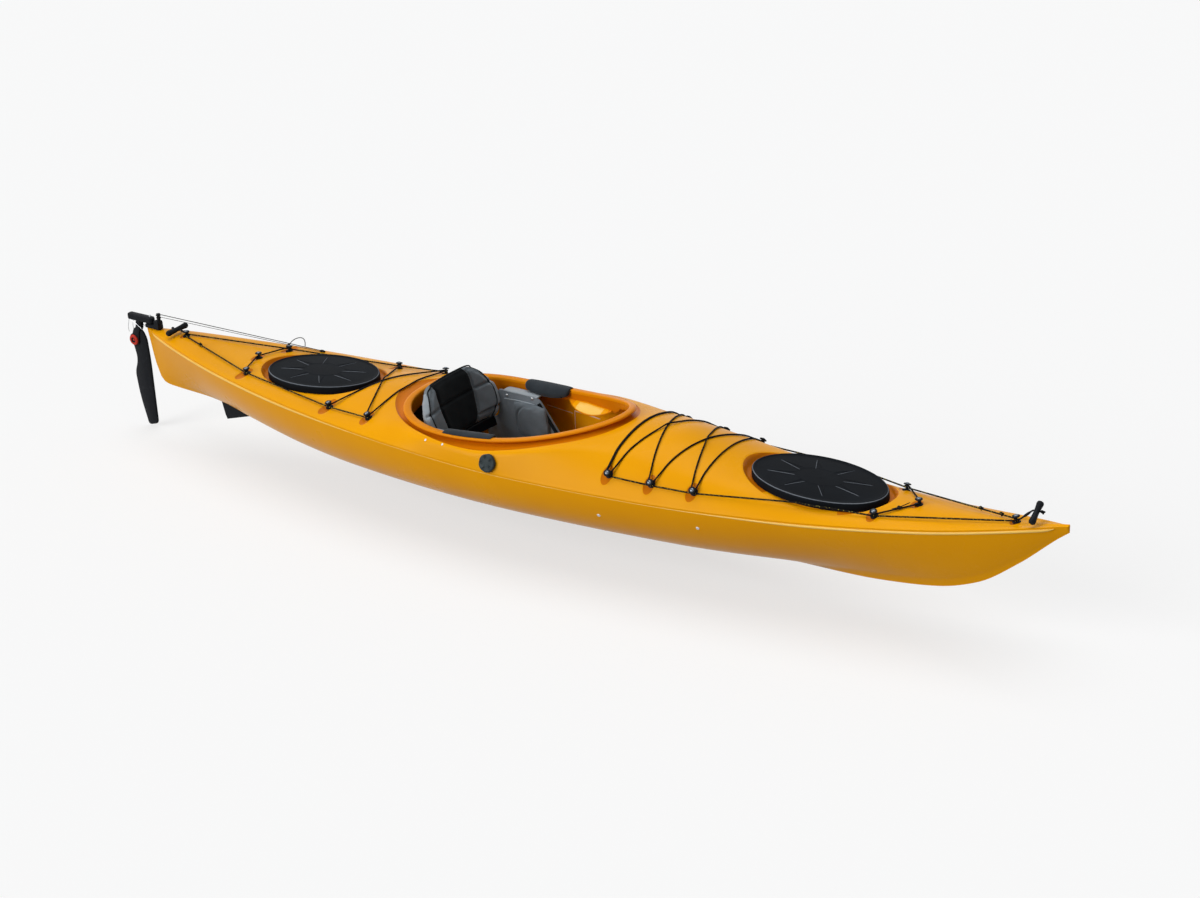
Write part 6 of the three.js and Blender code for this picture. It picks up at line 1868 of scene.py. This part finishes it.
for side in (1, -1):
    pivot = (BACK_PIVOT.x, side * (SEAT_HALF + SEAT_WALL), BACK_PIVOT.z)
    seat_parts.append(lathe("pivot_boss", BOSS_ROWS, pivot, (0, side, 0), [seat_plastic], 28))
    for x, z in WING_SCREWS:
        place = (x, side * SEAT_HALF, z)
        seat_parts.append(lathe("wing_screw", WING_SCREW_ROWS, place, (0, -side, 0), [steel], 22))
    seat_parts += [welt(side), strap(side)]
declare(joined("seat", seat_parts), "boat", "seat_plastic", "seat_shell")

# %% [markdown]
# Padding starts as a crowned closed form, a little slacker than the real thing. Cloth is stretched over it
# and blown up from inside, as foam does to a cover, and no point may travel further than a cap. The seams are
# drawn in afterwards, because the remesh would wipe them out.

# %% Padding tools
QUAD = ((0, 0), (1, 0), (1, 1), (0, 1))
CLOTH = {
    "quality": 6, "mass": 0.3, "tension_stiffness": 15, "compression_stiffness": 15, "bending_stiffness": 0.4,
    "use_pressure": True,
}


def fullness(u, v, power):
    return math.sqrt(max(0.0, (1 - abs(u) ** power) * (1 - abs(v) ** power)))


def channel(distance, width):
    return math.exp(-((distance / width) ** 2))


def pad(name, columns, rows, at, material):
    """A closed pad over a grid. at(u, v) gives its back point, the way out and the depth of its face."""
    points, faces, index = [], [], {1: [], -1: []}
    for sign in (1, -1):
        for j in range(rows + 1):
            for i in range(columns + 1):
                edge = i in (0, columns) or j in (0, rows)
                if sign < 0 and edge:
                    index[sign].append(index[1][j * (columns + 1) + i])
                    continue
                back, out, depth = at(2 * i / columns - 1, 2 * j / rows - 1)
                index[sign].append(len(points))
                face_depth = depth if sign > 0 else 0.0
                points.append(back + out * (depth / 2 if edge else face_depth))
        for j in range(rows):
            for i in range(columns):
                quad = [index[sign][(j + dj) * (columns + 1) + i + di] for di, dj in QUAD]
                faces.append(tuple(quad if sign > 0 else quad[::-1]))
    return finish_mesh(name, points, faces, [material])


def inflate(obj, voxel, pressure, cap, frames=20):
    """Cloth blown up over the pad, with its travel capped, then smoothed once."""
    remesh = obj.modifiers.new("remesh", "REMESH")
    remesh.mode = "VOXEL"
    remesh.voxel_size = voxel
    bake(obj)
    start = [v.co.copy() for v in obj.data.vertices]
    cloth = obj.modifiers.new("cloth", "CLOTH")
    for name, value in CLOTH.items():
        setattr(cloth.settings, name, value)
    cloth.settings.uniform_pressure_force = pressure
    cloth.settings.effector_weights.gravity = 0.0
    cloth.collision_settings.use_collision = False
    cloth.point_cache.frame_start = 1
    cloth.point_cache.frame_end = frames
    for frame_number in range(1, frames + 1):
        bpy.context.scene.frame_set(frame_number)
    bake(obj)
    bpy.context.scene.frame_set(1)
    for vertex, old in zip(obj.data.vertices, start):
        move = vertex.co - old
        if move.length > cap:
            vertex.co = old + move.normalized() * cap
    smooth = obj.modifiers.new("smooth", "SUBSURF")
    smooth.levels = smooth.render_levels = 1
    bake(obj)
    soften(obj, 80)


def dent(obj, depth_at):
    """Moves each point inward along its normal by depth_at(point)."""
    moves = [(v, v.normal.copy() * depth_at(v.co)) for v in obj.data.vertices]
    for vertex, move in moves:
        vertex.co -= move


def paint(obj, materials, choose):
    """Gives each face the material that choose(middle of the face) names."""
    for material in materials:
        obj.data.materials.append(material)
    for polygon in obj.data.polygons:
        polygon.material_index = choose(polygon.center)


# %% [markdown]
# The backrest is a shield. Its middle is black mesh in two sections, grey bolsters wrap its sides, and a dark
# piping runs round its front edge.

# %% Backrest
BACK_LEAN = math.radians(16.7)
BACK_UP = Vector((-math.sin(BACK_LEAN), 0, math.cos(BACK_LEAN)))
BACK_OUT = Vector((math.cos(BACK_LEAN), 0, math.sin(BACK_LEAN)))
BACK_LOW = 0.024
BACK_HEIGHT = 0.236
BACK_HALF = 0.205
BACK_WRAP = 0.042
BACK_DEPTH = 0.036
BACK_PLATE = 0.007
BACK_BREADTHS = [(0, 0.86), (0.27, 1), (0.49, 0.975), (0.74, 0.83), (0.89, 0.68), (1, 0.56)]
PANEL_SEAMS = [(0, 0.4), (0.3, 0.44), (0.58, 0.5), (0.8, 0.6), (1, 0.76)]
CROSS_SEAM, LOW_SEAM = 0.58, 0.16
SEAM_DEPTH = 0.0085
BACK_PROUD = 0.004
BOLSTER_PROUD = 0.009
PIPING_SHARE = (0.955, 0.8)


def back_point(across, height, depth):
    point = BACK_PIVOT + BACK_UP * height + BACK_OUT * depth
    return Vector((point.x, across, point.z))


def back_wrap(u):
    return BACK_WRAP * abs(u) ** 2.4


def back_grid(u, v):
    share = (v + 1) / 2
    half = (BACK_HALF + BACK_PROUD) * follow(BACK_BREADTHS, share) - 0.003
    # The outline's own corners are drawn in
    drawn = 1 - 0.035 * (abs(u) * abs(v)) ** 6
    height = BACK_LOW + 0.003 + share * (BACK_HEIGHT - 0.006) * drawn
    back = back_point(u * half * drawn, height, BACK_PLATE + 0.002 + back_wrap(u * half / BACK_HALF))
    depth = BACK_DEPTH * (1 + 0.15 * u * u) * (0.62 + 0.38 * fullness(u, v, 6)) - 0.004
    return back, BACK_OUT, depth + BOLSTER_PROUD * abs(u) ** 3


def back_place(co):
    """Where a point of the backrest lies: shares of half its breadth and of its height, and how far out."""
    offset = co - BACK_PIVOT
    share = (offset.dot(BACK_UP) - BACK_LOW) / BACK_HEIGHT
    half = BACK_HALF * follow(BACK_BREADTHS, unit(share))
    depth = offset.dot(BACK_OUT) - BACK_PLATE - back_wrap(unit(abs(co.y) / BACK_HALF))
    return co.y / half, share, depth, half


def back_seams(co):
    u, share, depth, half = back_place(co)
    panel_edge = follow(PANEL_SEAMS, unit(share))
    seam = channel((abs(u) - panel_edge) * half, 0.0055)
    cross = channel((share - CROSS_SEAM) * BACK_HEIGHT, 0.0055)
    low_cross = channel((share - LOW_SEAM) * BACK_HEIGHT, 0.006) * (u > panel_edge)
    wrinkle = 0.0007 * math.sin(95 * co.y + 40 * co.z) * math.sin(60 * co.z - 22 * co.y)
    return unit((depth - 0.01) / 0.012) * (SEAM_DEPTH * max(seam, cross, low_cross) + wrinkle)


def piping_share(share):
    """How far out the piping runs, as a share of half the breadth: further at the top than at the foot."""
    return PIPING_SHARE[1] + (PIPING_SHARE[0] - PIPING_SHARE[1]) * share


def back_tint(co):
    u, share, depth, _ = back_place(co)
    if abs(u) < follow(PANEL_SEAMS, unit(share)) and depth > 0.012:
        return 1
    return 2 if abs(u) > piping_share(unit(share)) else 0


back_pad = pad("backrest_pad", 40, 30, back_grid, grey_cloth)
inflate(back_pad, 0.005, 4.0, 0.006)
dent(back_pad, back_seams)
paint(back_pad, [black_cloth, side_cloth], back_tint)
back_pad_tree = surface_tree(back_pad)
declare(back_pad, "backrest", "fabric", "backrest_cushion", fill=0.8)

# %% [markdown]
# The piping is sewn on where the faces of the cover meet. Rays at the finished pad find its place, because
# the cloth has moved the surface. Behind the pad is a bent plate with the hinge pin through its foot.

# %% Piping and backrest plate
SHIELD_CORNERS = [(-1, -1), (-1, 1), (1, 1), (1, -1)]
PIPING_STEPS = 120
PIPING_RADIUS = 0.0026
# How far out the piping runs where a ray misses the pad's rounded edge
PIPING_DEPTH = 0.03
PLATE_SHARE = 0.86
PLATE_STEPS = 40
PIN_HALF = 0.1995
# The plate's section from its foot to its top: the end it is measured from, the way along, and the depth
PLATE_ROWS = [
    ("foot", 0.0, 0.001), ("foot", 0.0, 0.0055), ("foot", 0.002, 0.0066), ("top", -0.003, 0.0066),
    ("top", 0.0, 0.0052), ("top", 0.0, 0.0015), ("top", -0.003, 0.0), ("foot", 0.002, 0.0),
]


def back_edge(t):
    """A point of the shield's outline: up one side, over the top, down the other and back along the foot."""
    k = int(t * 4) % 4
    s = t * 4 - int(t * 4)
    start, end = Vector(SHIELD_CORNERS[k]), Vector(SHIELD_CORNERS[(k + 1) % 4])
    u, v = start.lerp(end, s)
    back, out, _ = back_grid(u * piping_share((v + 1) / 2), v * PIPING_SHARE[0])
    hit = back_pad_tree.ray_cast(back + out * 0.15, -out)[0]
    return (hit or back + out * PIPING_DEPTH) + out * 0.0004


def plate_ring(u):
    top = BACK_LOW + BACK_HEIGHT * PLATE_SHARE * (1 - 0.4 * u * u)
    ends = {"foot": -BACK_LOW / 2, "top": top}
    wrap = back_wrap(u) - SEAM
    return [back_point(u * BACK_HALF, ends[end] + along, wrap + depth) for end, along, depth in PLATE_ROWS]


route = rounded([back_edge(k / PIPING_STEPS) for k in range(PIPING_STEPS)], closed=True, passes=3)
declare(tube("backrest_piping", route, PIPING_RADIUS, piping_cloth, closed=True), "backrest", "fabric")
plate_rings = [plate_ring((2 * k / PLATE_STEPS - 1) * PLATE_SHARE) for k in range(PLATE_STEPS + 1)]
plate = [skin("plate", plate_rings, [black_plastic], sharp=40)]
pin_rows = [(0.005, -PIN_HALF), (0.005, PIN_HALF)]
plate.append(lathe("pin", pin_rows, BACK_PIVOT, (0, 1, 0), [black_plastic], 24))
declare(joined("backrest_frame", plate), "backrest", "black_plastic", "backrest_plate")

# %% [markdown]
# The seat cushion is dished, with two sewn channels along it. The hip pads are D-shaped. Both are foam under
# the same grey cloth.

# %% Seat cushion and hip pads
SEAT_MIDDLE = (SEAT_AFT + SEAT_FORE) / 2 + 0.006
CUSHION_HALF = SEAT_HALF - 0.006
CUSHION_LENGTH = SEAT_FORE - SEAT_AFT - 0.018
CHANNEL_OUT = 0.42 * CUSHION_HALF


def cushion_grid(u, v):
    drawn = 1 - 0.05 * (abs(u) * abs(v)) ** 5
    x = SEAT_MIDDLE + v * (CUSHION_LENGTH / 2 - 0.003) * drawn
    back = Vector((x, u * (CUSHION_HALF - 0.003) * drawn, PAN_TOP + 0.0012))
    depth = 0.042 * (1 - 0.38 * (1 - u * u)) * (0.25 + 0.75 * fullness(u, v, 6)) - 0.004
    return back, UP, depth


def cushion_seams(co):
    along = channel(abs(co.y) - CHANNEL_OUT, 0.006)
    across = channel(co.x - (SEAT_MIDDLE + 0.06), 0.006) * (abs(co.y) < CHANNEL_OUT)
    wrinkle = 0.0006 * math.sin(80 * co.x + 30 * co.y) * math.sin(70 * co.y)
    return unit((co.z - PAN_TOP - 0.008) / 0.008) * (0.007 * max(along, across) + wrinkle)


cushion = pad("seat_pad", 36, 30, cushion_grid, grey_cloth)
inflate(cushion, 0.005, 3.0, 0.004)
dent(cushion, cushion_seams)
paint(cushion, [black_cloth], lambda co: int(abs(co.y) < CHANNEL_OUT and co.z > PAN_TOP + 0.012))
for vertex in cushion.data.vertices:
    vertex.co.z = max(vertex.co.z, PAN_TOP + 0.0008)
declare(cushion, "boat", "fabric", "seat_cushion", fill=0.7)

SIDES = ((1, "port"), (-1, "starboard"))
HIP_MIDDLE_X = SEAT_MIDDLE - 0.012
HIP_MIDDLE_Z = (PAN_TOP + WING_TOP) / 2 + 0.013


def hip_grid(side):
    def at(u, v):
        drawn = 1 - (0.1 if v > 0 else 0.26) * (abs(u) * abs(v)) ** 2
        x = HIP_MIDDLE_X + u * 0.08 * drawn - 0.0075 * (v + 1)
        back = Vector((x, side * (SEAT_HALF - 0.0008), HIP_MIDDLE_Z + v * 0.076 * drawn))
        return back, Vector((0, -side, 0)), 0.017 * (0.2 + 0.8 * fullness(u, v, 5))

    return at


def hip_seam(co):
    """A curved fold round the pad's lower aft side, where its cover is pulled tight."""
    u, v = (co.x - HIP_MIDDLE_X + 0.004) / 0.076, (co.z - HIP_MIDDLE_Z) / 0.075
    front = unit((SEAT_HALF - abs(co.y) - 0.006) / 0.006)
    aft = unit(0.6 - u - v)
    return front * aft * 0.0065 * channel((math.hypot(u, v) - 0.9) * 0.075, 0.0045)


for side, suffix in SIDES:
    hip = pad(f"hip_cushion_{suffix}", 26, 24, hip_grid(side), grey_cloth)
    inflate(hip, 0.004, 3.0, 0.003)
    dent(hip, hip_seam)
    for vertex in hip.data.vertices:
        vertex.co.y = side * min(abs(vertex.co.y), SEAT_HALF - 0.0004)
    declare(hip, "boat", "fabric", f"hip_pad_{suffix}", fill=0.7)

# %% [markdown]
# The thigh pads are rolls folded over the lip. Their inner face hangs below it, a seam runs along them, and a
# small snap holds the fold.

# %% Thigh pads
THIGH_ENDS = (-0.18, 0.0447)
LIP_BREADTH = 0.027
# In shares of the lip's breadth: outward from its inner edge, and up from its top
THIGH_FACE = [
    (0.8, 0.1), (0.62, 0.3), (0.3, 0.42), (-0.1, 0.42), (-0.5, 0.32), (-0.85, 0.1), (-1.08, -0.22),
    (-1.18, -0.6), (-1.12, -0.98), (-0.92, -1.22), (-0.62, -1.28), (-0.34, -1.16), (-0.16, -0.92),
]
THIGH_SEAM = 6
THIGH_STEPS = 36
SNAP_SHARE = 0.86
SNAP_ROWS = [(0.0045, -0.002), (0.0045, 0.0006), (0.0036, 0.0016), (0.0016, 0.002), (0.0002, 0.002)]


def thigh_ring(side, t):
    x = COAMING_CENTRE + COAMING_LENGTH * (THIGH_ENDS[0] + (THIGH_ENDS[1] - THIGH_ENDS[0]) * t)
    full = 0.42 + 0.58 * max(math.sin(math.pi * t), 0.0) ** 0.4
    inner = -LIP_BREADTH / 2
    face = []
    for k, (out, up) in enumerate(THIGH_FACE):
        tuck = 0.06 * channel(k - THIGH_SEAM, 0.8)
        spread = LIP_BREADTH * (1 if out > 0 else full)
        face.append((inner + (out + tuck) * spread, (up * full - tuck * 0.3) * LIP_BREADTH))
    over = SEAM + 0.0004
    held = [(inner - SEAM, -0.86 * LIP_BREADTH * full), (inner - SEAM, -0.005), (inner + 0.0035, over)]
    held.append((face[0][0], over))
    ring = []
    for grow, rise in face + held:
        y, z = coaming_at(x, grow)
        ring.append(Vector((x, side * y, z + rise)))
    return ring


for side, suffix in SIDES:
    rings = [thigh_ring(side, k / THIGH_STEPS) for k in range(THIGH_STEPS + 1)]
    roll = skin("roll", rings, [pad_cloth], sharp=55)
    section = thigh_ring(side, SNAP_SHARE)
    snap_at = (section[8] + section[9]) / 2
    outward = (snap_at - sum(section, Vector()) / len(section)).normalized()
    snap = lathe("snap", SNAP_ROWS, snap_at, outward, [black_plastic], 20)
    roll = joined(f"thigh_roll_{suffix}", [roll, snap], 55)
    declare(roll, "boat", "fabric", f"thigh_pad_{suffix}", fill=0.8)

# %% [markdown]
# What is left of the CAD model already has its true form: the skeg and its box, the pins, the foot rails and
# the bulkheads. Those nodes stay in view and only take their materials.

# %% Nodes that stay
STAY = {
    black_plastic: [
        "skeg_box", "skeg_blade", "skeg_cable", "foot_rail_port", "foot_rail_starboard", "foot_pedal_port",
        "foot_pedal_starboard",
    ],
    steel: ["skeg_pin", "rudder_pintle", "rudder_pivot_pin"],
    foam: ["fore_bulkhead", "aft_bulkhead"],
}
for material, names in STAY.items():
    for name in names:
        for slot in nodes[name].material_slots:
            slot.material = material
print("nodes that stay:", sum(len(names) for names in STAY.values()))

# %% [markdown]
# The studio is a pale floor that fades into a pale room. What the camera sees of the floor is mostly its own
# pale glow, and the rest takes the light, so that the boat's soft shadow stays on it without the floor
# throwing all its brightness back at the hull.

# %% Studio
FLOOR_HALF = 40.0
FLOOR_GAP = 0.003
FLOOR_GREY = (0.34, 0.34, 0.34, 1.0)
PALE = rgb(248, 248, 248)
GLOW = 0.66
AMBIENT = 0.3
AMBIENT_TINT = (0.96, 0.98, 1.0, 1.0)


def seen_rays(tree):
    """1 for rays that show the background itself: straight from the camera, or by way of metal or glass."""
    path = tree.nodes.new("ShaderNodeLightPath")
    seen = Value(tree, path.outputs["Is Camera Ray"])
    for name in ("Is Glossy Ray", "Is Transmission Ray"):
        seen = seen + Value(tree, path.outputs[name])
    return seen.clamp()


floor_shader = Shader("floor", Base_Color=FLOOR_GREY, Roughness=0.95, Specular_IOR_Level=0.0)
floor_shader.surface.inputs["Emission Strength"].default_value = 1.0
shown_glow = (*[level * GLOW for level in PALE[:3]], 1.0)
glow = floor_shader.mix(seen_rays(floor_shader.tree), (0.0, 0.0, 0.0, 1.0), shown_glow)
floor_shader.feed(Emission_Color=glow)
floor_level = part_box("rudder_blade")[0][2] - FLOOR_GAP
corners = [(x * FLOOR_HALF, y * FLOOR_HALF, floor_level) for x, y in ((-1, -1), (1, -1), (1, 1), (-1, 1))]
floor_mesh = bpy.data.meshes.new("floor")
floor_mesh.from_pydata(corners, [], [(0, 1, 2, 3)])
floor_mesh.materials.append(floor_shader.material)
floor = placed("floor", floor_mesh)
print("floor at", round(floor_level, 4), "m")

# %% [markdown]
# The light is a broad sun from above and a second one from the side. The room shows pale behind the boat and
# in its steel, and otherwise gives only a dim, even fill.

# %% Light
def sun(name, towards, strength, softness):
    """A distant light shining along a direction, softer the wider it is."""
    data = bpy.data.lights.new(name, "SUN")
    data.energy = strength
    data.angle = math.radians(softness)
    light = placed(name, data)
    light.rotation_euler = Vector(towards).to_track_quat("-Z", "Y").to_euler()


sun("overhead", (0.14, -0.1, -1.0), 1.35, 50)
sun("side", (0.45, 0.8, -0.4), 1.8, 40)

world = bpy.data.worlds.new("studio")
bpy.context.scene.world = world
world.use_nodes = True
tree = world.node_tree
tree.nodes.clear()
shown = add_node(tree, "ShaderNodeBackground", {}, 0, {"Color": PALE})
ambient = add_node(tree, "ShaderNodeBackground", {}, 0, {"Color": AMBIENT_TINT, "Strength": AMBIENT})
mixed = add_node(tree, "ShaderNodeMixShader", {}, 0, {0: seen_rays(tree), 1: ambient, 2: shown})
wire(tree, tree.nodes.new("ShaderNodeOutputWorld").inputs["Surface"], mixed)
bpy.context.scene.view_settings.view_transform = "Standard"
print("lights:", len(bpy.data.lights))
